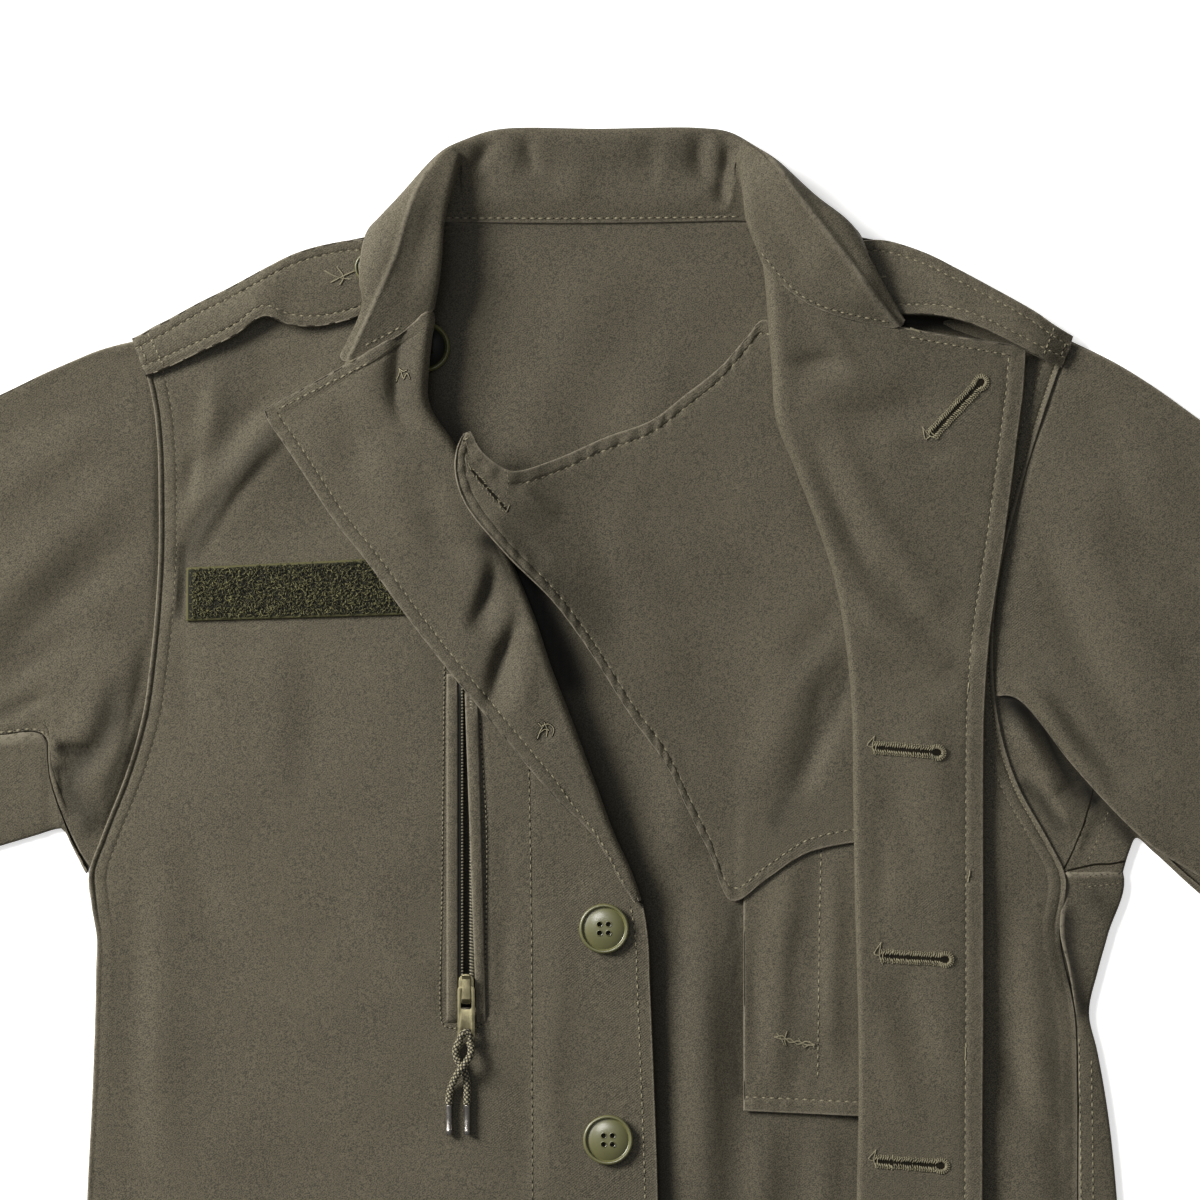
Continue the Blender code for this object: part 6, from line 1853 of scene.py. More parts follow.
def welt_panel(name, sizes, seed):
    top_left, top_right, low_left, low_right, top, low = sizes
    corners = ((top_left, top), (top_right, top), (low_right, low), (low_left, low))
    rise = CLOTH / 2 + SEAM_GAP + WELT_WALL / 2
    panel = on_front(name, corners, rise, WELT_WALL, 70, 7)
    middle = 4 * np.linspace(0, 1, 8) * (1 - np.linspace(0, 1, 8))
    run = length_along(panel.points[:, 0])[:, None]
    panel.points[..., 2] += 0.55 * middle + 0.12 * pucker(run, seed) * middle
    end = ease(panel.points[..., 1], top - 13, top - 7) + 1 - ease(panel.points[..., 1], low, low + 5)
    panel.points[..., 2] -= 1.0 * end + 0.5 * middle * end
    return panel


def revolve(profile, segments, centre, axis="Z"):
    """A closed turned shape in mm from a profile of (radius, height)."""
    bm = bmesh.new()
    rings = []
    for radius, height in profile:
        if radius < 1e-6:
            rings.append([bm.verts.new((0, 0, height))])
        else:
            rings.append([bm.verts.new((radius * math.cos(2 * math.pi * k / segments),
                                        radius * math.sin(2 * math.pi * k / segments), height))
                          for k in range(segments)])
    for low, high in zip(rings, rings[1:]):
        for k in range(segments):
            n = (k + 1) % segments
            face = [low[k % len(low)], low[n % len(low)], high[n % len(high)], high[k % len(high)]]
            bm.faces.new(list(dict.fromkeys(face)))
    bmesh.ops.recalc_face_normals(bm, faces=bm.faces)
    if axis == "Y":
        bmesh.ops.rotate(bm, matrix=Matrix.Rotation(math.radians(90), 3, "X"), verts=bm.verts)
    bmesh.ops.translate(bm, vec=centre, verts=bm.verts)
    return bm


def mesh_of(name, bm):
    mesh = bpy.data.meshes.new(name)
    bm.to_mesh(mesh)
    bm.free()
    return mesh


def to_mesh(name, bm, smooth_angle=None):
    """A mesh in metres from a bmesh in mm."""
    bmesh.ops.scale(bm, vec=(MM, MM, MM), verts=bm.verts)
    mesh = mesh_of(name, bm)
    mesh.shade_smooth()
    if smooth_angle is not None:
        mesh.set_sharp_from_angle(angle=math.radians(smooth_angle))
    return mesh


def polished(node, bevel, material, slot, body):
    """A copy of a node with its triangles merged and its edges rounded."""
    bm = bmesh.new()
    bm.from_mesh(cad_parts[node].data)
    bmesh.ops.remove_doubles(bm, verts=bm.verts, dist=0.01 * MM)
    bmesh.ops.dissolve_limit(bm, angle_limit=math.radians(3), verts=bm.verts, edges=bm.edges)
    piece = put(node + "_detail", mesh_of(node, bm), material)
    step = piece.modifiers.new("rounding", "BEVEL")
    step.width = bevel * MM
    step.segments = 3
    step.limit_method = "ANGLE"
    step.angle_limit = math.radians(35)
    made = bpy.data.meshes.new_from_object(piece.evaluated_get(bpy.context.evaluated_depsgraph_get()))
    piece.modifiers.remove(step)
    piece.data = made
    made.shade_smooth()
    made.set_sharp_from_angle(angle=math.radians(38))
    return dress(piece, body, slot, node)


# ------------------------------------------------------------------------- buttons

BUTTON_PROFILE = [      # radius and height of a 25 mm button, from under its middle to its top
    (0, 0), (9.4, 0), (11.4, 0.45), (12.3, 1.2), (12.5, 1.9), (12.35, 2.6), (11.95, 3.0), (11.5, 3.12),
    (11.1, 2.95), (10.85, 2.35), (10.6, 1.9), (10.3, 1.75), (9.9, 1.95), (9.2, 2.25), (8, 2.62),
    (6.6, 2.94), (5, 3.18),
    (3.4, 3.3), (2, 3.3), (0, 3.3),
]


HOLE_RIM = [(1.25, 2.5), (1.25, 3.42), (1.4, 3.52), (1.6, 3.46), (1.75, 3.2), (1.75, 2.5)]
HOLES = [Vector((sx, sy, 0)) * HOLE_PITCH / 2 for sx, sy in ((-1, -1), (1, -1), (1, 1), (-1, 1))]


def button_mesh(diameter):
    """A domed button with a raised rim and four holes, standing on its back."""
    scale = diameter / FRONT_BUTTON
    disc = revolve([(r * scale, h * scale) for r, h in BUTTON_PROFILE], 64, (0, 0, 0))
    body = put("button", to_mesh("button", disc), None)
    tools = []
    bore = BUTTON_HOLE / 2 * scale
    for hole in HOLES:
        pin = revolve([(0, 0), (bore, 0), (bore, 6), (0, 6)], 20, hole * scale - Vector((0, 0, 1)))
        tool = put("hole", to_mesh("hole", pin), None)
        tools.append(tool)
        cut = body.modifiers.new("hole", "BOOLEAN")
        cut.operation = "DIFFERENCE"
        cut.object = tool
    made = bpy.data.meshes.new_from_object(body.evaluated_get(bpy.context.evaluated_depsgraph_get()))
    bpy.data.objects.remove(body)
    for tool in tools:
        bpy.data.objects.remove(tool)
    bm = bmesh.new()
    bm.from_mesh(made)
    for hole in HOLES:
        ring = revolve(HOLE_RIM, 20, (0, 0, 0))
        bmesh.ops.scale(ring, vec=(scale * MM,) * 3, verts=ring.verts)
        bmesh.ops.translate(ring, vec=hole * scale * MM, verts=ring.verts)
        extra = bpy.data.meshes.new("lip")
        ring.to_mesh(extra)
        ring.free()
        bm.from_mesh(extra)
    bm.to_mesh(made)
    bm.free()
    made.shade_smooth()
    made.set_sharp_from_angle(angle=math.radians(42))
    return made


def place_button(name, mesh, material):
    """A button in its node's place."""
    low, high = (np.array(corner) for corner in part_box(name))
    mesh = mesh.copy()
    centre = (low + high) / 2
    mesh.transform(Matrix.Translation((centre[0], centre[1], low[2])))
    return dress(put(name + "_detail", mesh, material), "jacket", "button", name)


# ---------------------------------------------------------------- pull tab's cords

def cord_height(x, y):
    return lie(FRONT_RIGHT, FOLDS_RIGHT, x, y) + CLOTH / 2 + SEAM_GAP + CORD / 2


def braided(name, points, radius):
    """A braided tube along points in mm: two lays of yarn that cross, as rows of beads."""
    fine = through(points, np.linspace(0, len(points) - 1, 30 * len(points)))
    run = length_along(fine)
    marks = np.linspace(0, run[-1], max(8, round(run[-1] / CORD_RING_STEP)))
    path = np.array([[np.interp(mark, run, fine[:, k]) for k in range(3)] for mark in marks])
    ahead = unit(np.gradient(path, axis=0))
    side = unit(np.cross(ahead, (0, 0, 1.0)))
    up = np.cross(side, ahead)
    angle = 2 * math.pi * np.arange(CORD_SIDES) / CORD_SIDES
    turn = 2 * math.pi * marks[:, None] / BRAID_PITCH
    beads = np.cos(4 * angle + 0.6 * np.sin(turn / 2)) * np.cos(turn)
    size = radius - BRAID_DEPTH * (0.5 - 0.5 * beads)
    spokes = side[:, None] * np.cos(angle)[:, None] + up[:, None] * np.sin(angle)[:, None]
    rings = path[:, None] + spokes * size[..., None]
    count = len(marks)
    vertices = np.vstack([rings.reshape(-1, 3), path[:1], path[-1:]])
    faces = []
    for i in range(count - 1):
        for k in range(CORD_SIDES):
            n = (k + 1) % CORD_SIDES
            low, high = i * CORD_SIDES, (i + 1) * CORD_SIDES
            faces.append((low + k, low + n, high + n, high + k))
    last = (count - 1) * CORD_SIDES
    for k in range(CORD_SIDES):
        n = (k + 1) % CORD_SIDES
        faces.append((k, len(vertices) - 2, n))
        faces.append((last + n, len(vertices) - 1, last + k))
    mesh = bpy.data.meshes.new(name)
    mesh.from_pydata(vertices * MM, [], faces)
    bm = bmesh.new()
    bm.from_mesh(mesh)
    bmesh.ops.recalc_face_normals(bm, faces=bm.faces)
    bm.to_mesh(mesh)
    bm.free()
    # painted shade in the hollows between yarns, slight painted highlight on their crowns
    shadow = np.concatenate([(0.5 + 0.5 * beads).ravel(), (0.5, 0.5)])
    mesh.attributes.new("crown", "FLOAT", "POINT").data.foreach_set("value", shadow.astype(np.float32))
    mesh.shade_smooth()
    return mesh, path, run[-1]


def route_points(route):
    return [(x, y, float(cord_height(x, y)) + rise) for x, y, rise in route]


# ---------------------------------------------------------------- what a user sets

def colour_of(name, description, *default):
    return bpy.props.FloatVectorProperty(
        name=name, description=description, subtype="COLOR", size=3, min=0, max=1, default=default)


def length_of(name, description, default, low, high):
    return bpy.props.FloatProperty(
        name=name, description=description, unit="LENGTH", default=default, min=low, max=high)


class JacketCloth(bpy.types.PropertyGroup):
    """Cloth and thread of the jacket."""

    twill: colour_of("Twill", "Colour of the cotton twill", 0.0905, 0.0800, 0.0560)
    # pale edge colour: partly wear, partly painted highlight
    twill_wear_and_highlight: colour_of("Worn edge", "Colour of the twill where its edges are worn", 0.230, 0.205, 0.155)
    rib_pitch: length_of("Rib pitch", "Distance between the twill's slanting ribs", 0.0011, 0.0004, 0.004)
    thread: colour_of("Thread", "Colour of the sewing thread", 0.212, 0.190, 0.120)
    # painted shade: colour of the near black beads in needle holes, slits and seam lines
    shadow: colour_of("Needle holes", "Colour of the holes between stitches", 0.012, 0.010, 0.006)
    stitch: length_of("Stitch", "Length of a topstitch with its gap", 0.0042, 0.001, 0.008)
    thread_width: length_of("Thread width", "Width of a stitch on the cloth", 0.00095, 0.0003, 0.003)


class JacketTrim(bpy.types.PropertyGroup):
    """Buttons, zip, cords and the loop strip."""

    button: colour_of("Button", "Colour of the buttons", 0.105, 0.102, 0.036)
    metal: colour_of("Zip metal", "Colour of the slider and its pull tab", 0.27, 0.24, 0.14)
    teeth: colour_of("Zip teeth", "Colour of the moulded teeth", 0.150, 0.135, 0.085)
    tape: colour_of("Zip tape", "Colour of the zip tapes", 0.060, 0.054, 0.034)
    cord: colour_of("Cord", "Colour of the braided cord", 0.235, 0.210, 0.135)
    ferrule: colour_of("Cord ends", "Colour of the ferrules", 0.240, 0.225, 0.205)
    pile: colour_of("Loop pile", "Colour of the loops of the fastening strip", 0.058, 0.055, 0.022)
    tooth_pitch: length_of("Tooth pitch", "Distance between teeth of the zip", 0.0016, 0.0008, 0.004)
    loops: bpy.props.IntProperty(
        name="Loops", description="Loops in each square centimetre of the strip", default=90, min=5, max=120)


class JacketStage(bpy.types.PropertyGroup):
    """Floor, light and camera."""

    floor: colour_of("Floor", "Colour of the floor", 0.93, 0.93, 0.93)
    frame_width: length_of("Framed width", "Width that the camera takes in", 0.6, 0.2, 3.0)
    camera_height: length_of("Camera height", "How far the camera is above the jacket", 6.0, 1.0, 20.0)
    sky: bpy.props.FloatProperty(
        name="Fill light", description="Strength of the light from all round", default=0.24, min=0.0, max=5.0)
    key: bpy.props.FloatProperty(
        name="Main light", description="Power of the large soft light at the upper left",
        unit="POWER", default=490.0, min=0.0, max=5000.0)
    reflector: bpy.props.FloatProperty(
        name="Reflector", description="Power of the card whose gleam shows on buttons and metal only",
        unit="POWER", default=80.0, min=0.0, max=1000.0)


# ----------------------------------------------------------- where thread is sewn

TACKS_RIGHT = [         # thread ends that show where a button is sewn on behind the lapel
    ((-101.2, 109.4), (-99.6, 112.6), (-99.2, 115.6)),
    ((-99.4, 115.2), (-97.4, 114.0), (-95.4, 114.8)),
    ((-98.6, 113.6), (-97.2, 110.4), (-95.8, 113.0), (-94.2, 110.0)),
    ((-31.2, -68.8), (-29.6, -64.6), (-27.4, -61.6)),
    ((-30.2, -66.0), (-27.4, -64.4), (-24.8, -65.2)),
    ((-27.6, -61.4), (-26.2, -64.8), (-26.8, -68.6)),
    ((-28.6, -62.4), (-25.4, -61.8), (-22.8, -64.4), (-23.8, -68.2)),
    ((-30.6, -61.6), (-28.8, -63.4)),
]
BUTTONHOLES_LEFT = [    # start and eye end of each, on the left front's turned-out part
    ((165.6, 82.4), (191.6, 110.2)),
    ((137.0, -73.6), (170.6, -76.4)),
    ((140.5, -177.6), (174.6, -179.6)),
    ((137.8, -280.2), (172.6, -282.6)),
    ((138.0, -385.6), (172.8, -387.4)),
    ((138.0, -491.0), (172.8, -492.8)),
]
TAILS_LEFT = [          # loose thread ends on the left front's turned-out part
    ((184.0, -42.0), (183.4, -46.0)),
    ((184.6, -135.5), (184.0, -141.0)),
    ((182.6, -221.5), (183.0, -226), (182.4, -233.0)),
]
NECK_STITCHES = [
    ((-77, 191.2), (-40, 190.8), (0, 190.8), (40, 191.2), (71, 191.8)),
    ((81, 173.0), (90, 162.0), (100, 152.4), (112, 146.2), (130, 141.6), (146, 138.4)),
    ((-117, 127.2), (-108, 131.6), (-98, 137.0)),
]
POCKET_TACK = [         # thick threads of the tack on the inner pocket, then its loose ones
    ((87.6, -218.4), (91, -217.8), (95, -221.0), (99, -220.4), (103, -222.2), (107.6, -222.4)),
    ((87.6, -218.4), (91, -219.4), (95, -219.4), (99, -222.0), (103, -220.6), (107.6, -222.4)),
]
POCKET_TAILS = [
    ((88.6, -216.6), (90.6, -219.4), (92.2, -222.8)),
    ((93.2, -215.8), (92.2, -219.6), (93, -223.0)),
    ((99.4, -219.4), (102.4, -223.4), (104.4, -222.0)),
    ((105, -220.8), (106.2, -222.0), (107.2, -224.0)),
]
SIDE_STITCHES = [(240.4, -219), (246.4, -230)]          # x and top of the rows beside the left side seam
BACK_HEM_STITCHES = ((-250, -523.2), (0, -523.2), (236, -523.2))

Strap = namedtuple("Strap", "name table seed front cross tails")
# seed of its unevenness, the front it lies on, the row across it and its loose threads
STRAPS = table_of(Strap, [
    ("strap_right", STRAP_RIGHT, 111, "front_right", ((-225.6, 133), (-217.4, 116.6)),
     [((-137, 164), (-131, 161), (-124, 160)), ((-131, 166), (-128, 161), (-130, 157)),
      ((-134, 158.6), (-126, 162.6), (-120, 165))]),
    ("strap_left", STRAP_LEFT, 116, "front_left", ((226.6, 136), (221.4, 122.6)),
     [((134, 163), (138, 161), (143, 161.4)), ((137, 166.5), (138.4, 162), (136, 158.6))]),
])


def sew_turned_part(work, panel, skip, beyond):
    """Topstitches a turned-out part's free edge, then its top edge where `beyond` holds for x."""
    turned = np.flatnonzero(panel.turned)
    top = turned[-1] - 7
    work.row(panel.lines(slice(turned[0] + skip, top + 1), -8))
    first = panel.turned_from + int(np.argmax(beyond(panel.points[top, panel.turned_from:, 0])))
    work.row(panel.lines(top, slice(first, -7)))


def sew_armhole(work, panel, low, *rows):
    """Topstitches beside an armhole above `low`: column, length, gap, girth and sink of each row."""
    y = panel.points[:, 0, 1]
    beside = np.flatnonzero((y > low) & (y < 128))
    for column, length, gap, girth, sink in rows:
        line = panel.lines(slice(beside[0], beside[-1]), column)
        work.row(line, length=length, gap=gap, girth=girth, sink=sink)


# ------------------------------------------------------------- the steps of making

class JacketStep:
    """What every step of making the jacket shares."""

    bl_options = {"REGISTER", "UNDO"}

    def execute(self, context):
        self.make(context.scene)
        return {"FINISHED"}


# The stage, in metres: where the lamps hang, how large they are, and the floor
MAIN_LIGHT = (-3.8, 1.9, 2.3)
MAIN_SIZE = (2.0, 1.5)
REFLECTOR = (-0.7, 1.1, 3.4)
REFLECTOR_SIZE = 1.1
FLOOR_HALF = 8.0
FLOOR_LEVEL = -0.0003
FLOOR_GLOW = 0.55


def hang_lamp(name, size, power, place):
    """A soft lamp that points at the middle of the jacket."""
    lamp = bpy.data.lights.new(name, "AREA")
    lamp.size = size
    lamp.energy = power
    light = bpy.data.objects.new(name, lamp)
    light.location = place
    light.rotation_mode = "QUATERNION"
    light.rotation_quaternion = (-light.location).to_track_quat("-Z", "Y")
    bpy.context.scene.collection.objects.link(light)
    return light


def lay_floor(colour):
    """A wide floor just below the jacket, which glows a little."""
    bm = bmesh.new()
    bmesh.ops.create_grid(bm, x_segments=1, y_segments=1, size=FLOOR_HALF)
    bmesh.ops.translate(bm, vec=(0, 0, FLOOR_LEVEL), verts=bm.verts)
    material, graph, shader, place = new_material("paper floor", Specular_IOR_Level=0.2,
                                                  Emission_Strength=FLOOR_GLOW)
    cloud = graph.noise(place, 400.0, 2.0)
    paper = graph.mix(cloud, shade(colour, 0.99), colour)
    feed(graph, shader, Base_Color=paper, Roughness=0.9 - cloud * 0.05)
    put("floor", mesh_of("floor", bm), material)


class JACKET_OT_stage(JacketStep, bpy.types.Operator):
    """Lay the floor, hang the lights and set the camera straight above"""

    bl_idname = "jacket.stage"
    bl_label = "Stage"

    def make(self, scene):
        stage = scene.jacket_stage
        camera = bpy.data.objects.new("Camera", bpy.data.cameras.new("Camera"))
        scene.collection.objects.link(camera)
        camera.data.lens = camera.data.sensor_width * stage.camera_height / stage.frame_width
        camera.data.clip_start = stage.camera_height * 0.1
        camera.data.clip_end = stage.camera_height * 4
        camera.location = (0, 0, stage.camera_height)
        scene.camera = camera
        lay_floor(stage.floor)
        world = bpy.data.worlds.new("Studio")
        world.use_nodes = True
        sky = world.node_tree.nodes["Background"].inputs
        sky["Color"].default_value = (1.0, 1.0, 1.0, 1.0)
        sky["Strength"].default_value = stage.sky
        scene.world = world
        light = hang_lamp("Main light", MAIN_SIZE[0], stage.key, MAIN_LIGHT)
        light.data.shape = "RECTANGLE"
        light.data.size_y = MAIN_SIZE[1]
        light.data.color = (1.0, 0.985, 0.96)
        hang_lamp("Reflector", REFLECTOR_SIZE, stage.reflector, REFLECTOR).visible_diffuse = False
        scene.view_settings.view_transform = "Standard"
        scene.view_settings.look = "None"


class JACKET_OT_pull_cords(JacketStep, bpy.types.Operator):
    """Braid the zip pull's cord ends, knot them and cap them with ferrules"""

    bl_idname = "jacket.pull_cords"
    bl_label = "Pull cords"

    def make(self, scene):
        trim = scene.jacket_trim
        yarn = cord_material("braided cord", trim.cord)
        metal = hard_material("dark ferrule", trim.ferrule, 0.22, 0.34, metallic=0.9)
        profile = [(share * FERRULE / 2, height) for share, height in FERRULE_PROFILE]
        for side, route, x in zip(("right", "left"), (CORD_RIGHT_ROUTE, CORD_LEFT_ROUTE), FERRULE_X):
            bm = revolve(profile, 28, (x, FERRULE_Y, float(cord_height(x, FERRULE_Y))), axis="Y")
            end = put(f"ferrule_{side}_detail", to_mesh("ferrule", bm, 50), metal)
            dress(end, "pull", "ferrule", f"ferrule_{side}")
            name = f"pull_cord_{side}"
            mesh, path, length = braided(name + "_braid", route_points(route), CORD / 2)
            piece = dress(put(name + "_braid", mesh, yarn), "pull", "cord", name)
        mesh, _, _ = braided("pull_cord_hitch", route_points(HITCH), CORD / 2 * 0.92)
        dress(put("pull_cord_hitch", mesh, yarn), "pull", "cord")


class JACKET_OT_back(JacketStep, bpy.types.Operator):
    """Cut the back, whose inside shows in the open front, and the inner pocket on it"""

    bl_idname = "jacket.back"
    bl_label = "Back and inner pocket"

    def make(self, scene):
        cloth = scene.jacket_cloth
        panel = back_panel()
        place_cloth(panel, known_twill(cloth, 0.93, "twill inside"))
        work = Needlework("topstitch_back", cloth)
        for x, top in SIDE_STITCHES:
            work.row(panel.drop(((x - 0.8, top), (x + 0.2, -300), (x, -528))))
        for path in BACK_ARMHOLE_STITCHES:
            work.row(panel.drop(path), length=1.3, gap=1.6, girth=0.55)
        work.row(panel.drop(BACK_HEM_STITCHES, 2.0))
        work.finish()
        pocket = inner_pocket_panel()
        place_cloth(pocket, known_twill(cloth))
        work = Needlework("topstitch_inner_pocket", cloth)
        work.row(pocket.lines(7, slice(2, None)))
        work.row(pocket.drop(POCKET_FOLD))
        for path in POCKET_TACK:
            work.tail(pocket, path, 0.75)
        for path in POCKET_TAILS:
            work.tail(pocket, path, 0.6)
        work.finish()


class JACKET_OT_fronts(JacketStep, bpy.types.Operator):
    """Cut both fronts with their turned-out lapels and sew their edges"""

    bl_idname = "jacket.fronts"
    bl_label = "Fronts"

    def make(self, scene):
        self.make_right(scene.jacket_cloth)
        self.make_left(scene.jacket_cloth)

    def make_right(self, cloth):
        panel = right_front_panel()
        place_cloth(panel, known_twill(cloth))
        work = Needlework("topstitch_front_right", cloth)
        below = slice(0, panel.flat_count)
        sew_turned_part(work, panel, 4, lambda x: x < -114)
        work.row(panel.lines(slice(0, np.flatnonzero(panel.turned)[0]), panel.flat_count - 8))
        sew_armhole(work, panel, -134, (5, 0.9, 1.2, 0.5, 0.2), (11, 1.9, 1.9, 0.62, 0.12))
        work.row(panel.drop(PLACKET_LINE, part=below), girth=0.6, sink=0.16)
        for line in POCKET_FRAME:
            work.row(panel.drop(line, part=below), length=1.6, gap=0.9, girth=0.7)
        work.row(panel.lines(7, below))
        work.bar(panel, (-127.0, 118.0), (-122.6, 119.6), width=1.5)
        for path in TACKS_RIGHT:
            work.slit(panel, path, 1.5)
            work.tail(panel, path, 0.65)
        work.finish()

    def make_left(self, cloth):
        panel = left_front_panel()
        place_cloth(panel, known_twill(cloth))
        work = Needlework("topstitch_front_left", cloth)
        over = slice(panel.turned_from, None)
        sew_turned_part(work, panel, 0, lambda x: x > 154)
        fold = [(row.fold + 2.6, row.y) for row in FRONT_LEFT if row.roll is not None and row.y < 60]
        work.row(panel.drop(fold, part=over))
        sew_armhole(work, panel, -119, (4, 1.3, 0.9, 0.62, 0.05), (11, 1.6, 1.9, 0.6, 0.12))
        work.row(panel.lines(7, slice(0, panel.flat_count)))
        for count, (start, end) in enumerate(BUTTONHOLES_LEFT):
            work.buttonhole(panel, start, end, over, seed=count + 50)
        for path in TAILS_LEFT:
            work.tail(panel, path, part=over)
        work.bar(panel, (152.6, 136.4), (160.0, 133.6), width=1.4, part=over)
        work.finish()


class JACKET_OT_sleeves(JacketStep, bpy.types.Operator):
    """Cut the upper and under pieces of both sleeves"""

    bl_idname = "jacket.sleeves"
    bl_label = "Sleeves"

    def make(self, scene):
        cloth = scene.jacket_cloth
        right = sleeve_upper_panel("sleeve_right_upper", SLEEVE_RIGHT, FRONT_RIGHT, TUCK, FOLDS_RIGHT_SLEEVE,
                                   SLEEVE_CREASES_RIGHT, ARMPIT_DARK, 51)
        x, y, _ = right.points[:, -1].T
        beside = slice(int(np.argmax((x < -277) & (y > -76))), -4)
        self.make_upper(cloth, right, right.lines(beside, -3))
        place_cloth(sleeve_under_right_panel(), known_twill(cloth))
        left = sleeve_upper_panel("sleeve_left_upper", SLEEVE_LEFT, FRONT_LEFT, -TUCK, FOLDS_LEFT_SLEEVE,
                                  SLEEVE_CREASES_LEFT, (), 56)
        self.make_upper(cloth, left)
        under = sleeve_under_left_panel()
        place_cloth(under, known_twill(cloth))
        work = Needlework("topstitch_underarm", cloth)
        work.row(under.drop(UNDERARM_STITCHES), length=1.4, gap=1.6, girth=0.55)
        work.slit(under, UNDERARM_SEAM, 1.1)
        work.slit(under, UNDERARM_CROSS, 1.2)
        work.finish()

    def make_upper(self, cloth, panel, *rows):
        place_cloth(panel, known_twill(cloth))
        work = Needlework("topstitch_" + panel.name, cloth)
        for row in (*rows, panel.lines(-8, slice(1, -1))):
            work.row(row)
        work.finish()


class JACKET_OT_collar(JacketStep, bpy.types.Operator):
    """Cut the collar and sew it along the neck"""

    bl_idname = "jacket.collar"
    bl_label = "Collar"

    def make(self, scene):
        cloth = scene.jacket_cloth
        panel = collar_panel()
        place_cloth(panel, known_twill(cloth, 0.96, "twill collar"))
        work = Needlework("topstitch_collar", cloth)
        for path in NECK_STITCHES:
            work.row(panel.drop(path))
        work.finish()


class JACKET_OT_straps(JacketStep, bpy.types.Operator):
    """Cut both shoulder straps"""

    bl_idname = "jacket.straps"
    bl_label = "Shoulder straps"

    def make(self, scene):
        cloth = scene.jacket_cloth
        for strap in STRAPS:
            panel = strap_panel(strap.name, strap.table, strap.seed)
            place_cloth(panel, known_twill(cloth, 1.06, "twill strap"))
            work = Needlework("topstitch_" + strap.name, cloth)
            for column in (7, -8):
                work.row(panel.lines(slice(0, None), column))
            work.row(panel.lines(6, slice(7, -7)))
            work.row(panel.drop(strap.cross), length=2.2, gap=0.9, girth=0.85)
            for path in strap.tails:
                work.tail(panel, path)
            work.finish()


class JACKET_OT_storm_flap(JacketStep, bpy.types.Operator):
    """Cut the inner storm flap and its buttonhole tab"""

    bl_idname = "jacket.storm_flap"
    bl_label = "Storm flap"

    def make(self, scene):
        cloth = scene.jacket_cloth
        panel = storm_flap_panel()
        place_cloth(panel, known_twill(cloth, 0.97, "twill flap"))
        work = Needlework("topstitch_storm_flap", cloth)
        for column, off in ((7, panel.points[:, 7, 0] > -42), (-8, panel.points[:, -8, 1] < 14)):
            work.row(panel.lines(slice(int(np.argmax(off)), None), column))
        work.row(panel.lines(7, slice(8, -8)))
        work.buttonhole(panel, (-64.4, 65.2), (-46.4, 44.6), worked=False, seed=44)
        work.row(panel.drop(((-47.6, 65.4), (-45.6, 59.6), (-47.2, 51.4))), length=1.4, gap=1.6, girth=0.5)
        work.finish()


class JACKET_OT_loop_strip(JacketStep, bpy.types.Operator):
    """Cut the loop side of the chest fastening and raise its pile"""

    bl_idname = "jacket.loop_strip"
    bl_label = "Loop strip"

    def make(self, scene):
        trim = scene.jacket_trim
        rise = CLOTH / 2 + SEAM_GAP + STRIP_WALL / 2
        panel = on_front("loop_strip", TAPE_STRIP, rise, STRIP_WALL, 22, 90)
        strip = place_cloth(panel, selvedge_material(trim.pile), slot="loop_pile")
        ground = strip.data.copy()
        ground.name = "loop_pile_ground"
        each_metre = float(trim.loops * 1e4)
        pile = grown("loop_pile", top_faces(ground, PILE_MARGIN), pile_tree(), Density=each_metre, Seed=7,
                     Loop=pile_material(trim.pile), Radius=PILE_RADIUS * MM, Thread=PILE_THREAD * MM)
        dress(pile, "jacket", "loop_pile")


def top_faces(mesh, margin):
    """The upper faces of a strip, without its selvedge."""
    bm = bmesh.new()
    bm.from_mesh(mesh)
    along = [v.co.x for v in bm.verts]
    low, high = min(along) + margin * MM, max(along) - margin * MM
    spare = [face for face in bm.faces
             if face.normal.z < 0.6 or not low < face.calc_center_median().x < high]
    bmesh.ops.delete(bm, geom=spare, context="FACES")
    bmesh.ops.delete(bm, geom=[v for v in bm.verts if v.is_boundary], context="VERTS")
    bm.to_mesh(mesh)
    bm.free()
    return mesh


def pile_tree():
    """Small thread loops that stand at random on a ground."""
    graph, given = node_group("Loop pile", Density="Float", Seed="Int", Radius="Float", Thread="Float",
                              Loop="Material")
    spots = graph.add("GeometryNodeDistributePointsOnFaces", None,
                      {"Mesh": given, "Density": given.other("Density"), "Seed": given.other("Seed")})
    arc = graph.add("GeometryNodeCurveArc", {"mode": "RADIUS"},
                    {"Resolution": 7, "Radius": given.other("Radius"), "Start Angle": math.radians(-35),
                     "Sweep Angle": math.radians(250)})
    ring = graph.add("GeometryNodeCurvePrimitiveCircle", None,
                     {"Resolution": 3, "Radius": given.other("Thread")})
    loop = graph.add("GeometryNodeCurveToMesh", None,
                     {"Curve": arc, "Profile Curve": ring, "Fill Caps": True})
    turn, size = (graph.add("FunctionNodeRandomValue", {"data_type": "FLOAT_VECTOR"},
                            {0: low, 1: high, "Seed": seed})
                  for low, high, seed in (((0.35, -0.9, 0.0), (2.4, 0.9, 6.28), 3),
                                          ((0.55, 0.55, 0.55), (1.25, 1.25, 1.25), 4)))
    rotation = graph.add("FunctionNodeEulerToRotation", None, {"Euler": turn})
    loops = graph.add("GeometryNodeInstanceOnPoints", None,
                      {"Points": spots, "Instance": loop, "Rotation": rotation, "Scale": size})
    graph.add("NodeGroupOutput", None, {"Geometry": graph.dressed(loops, given.other("Loop"))})
    return graph.tree


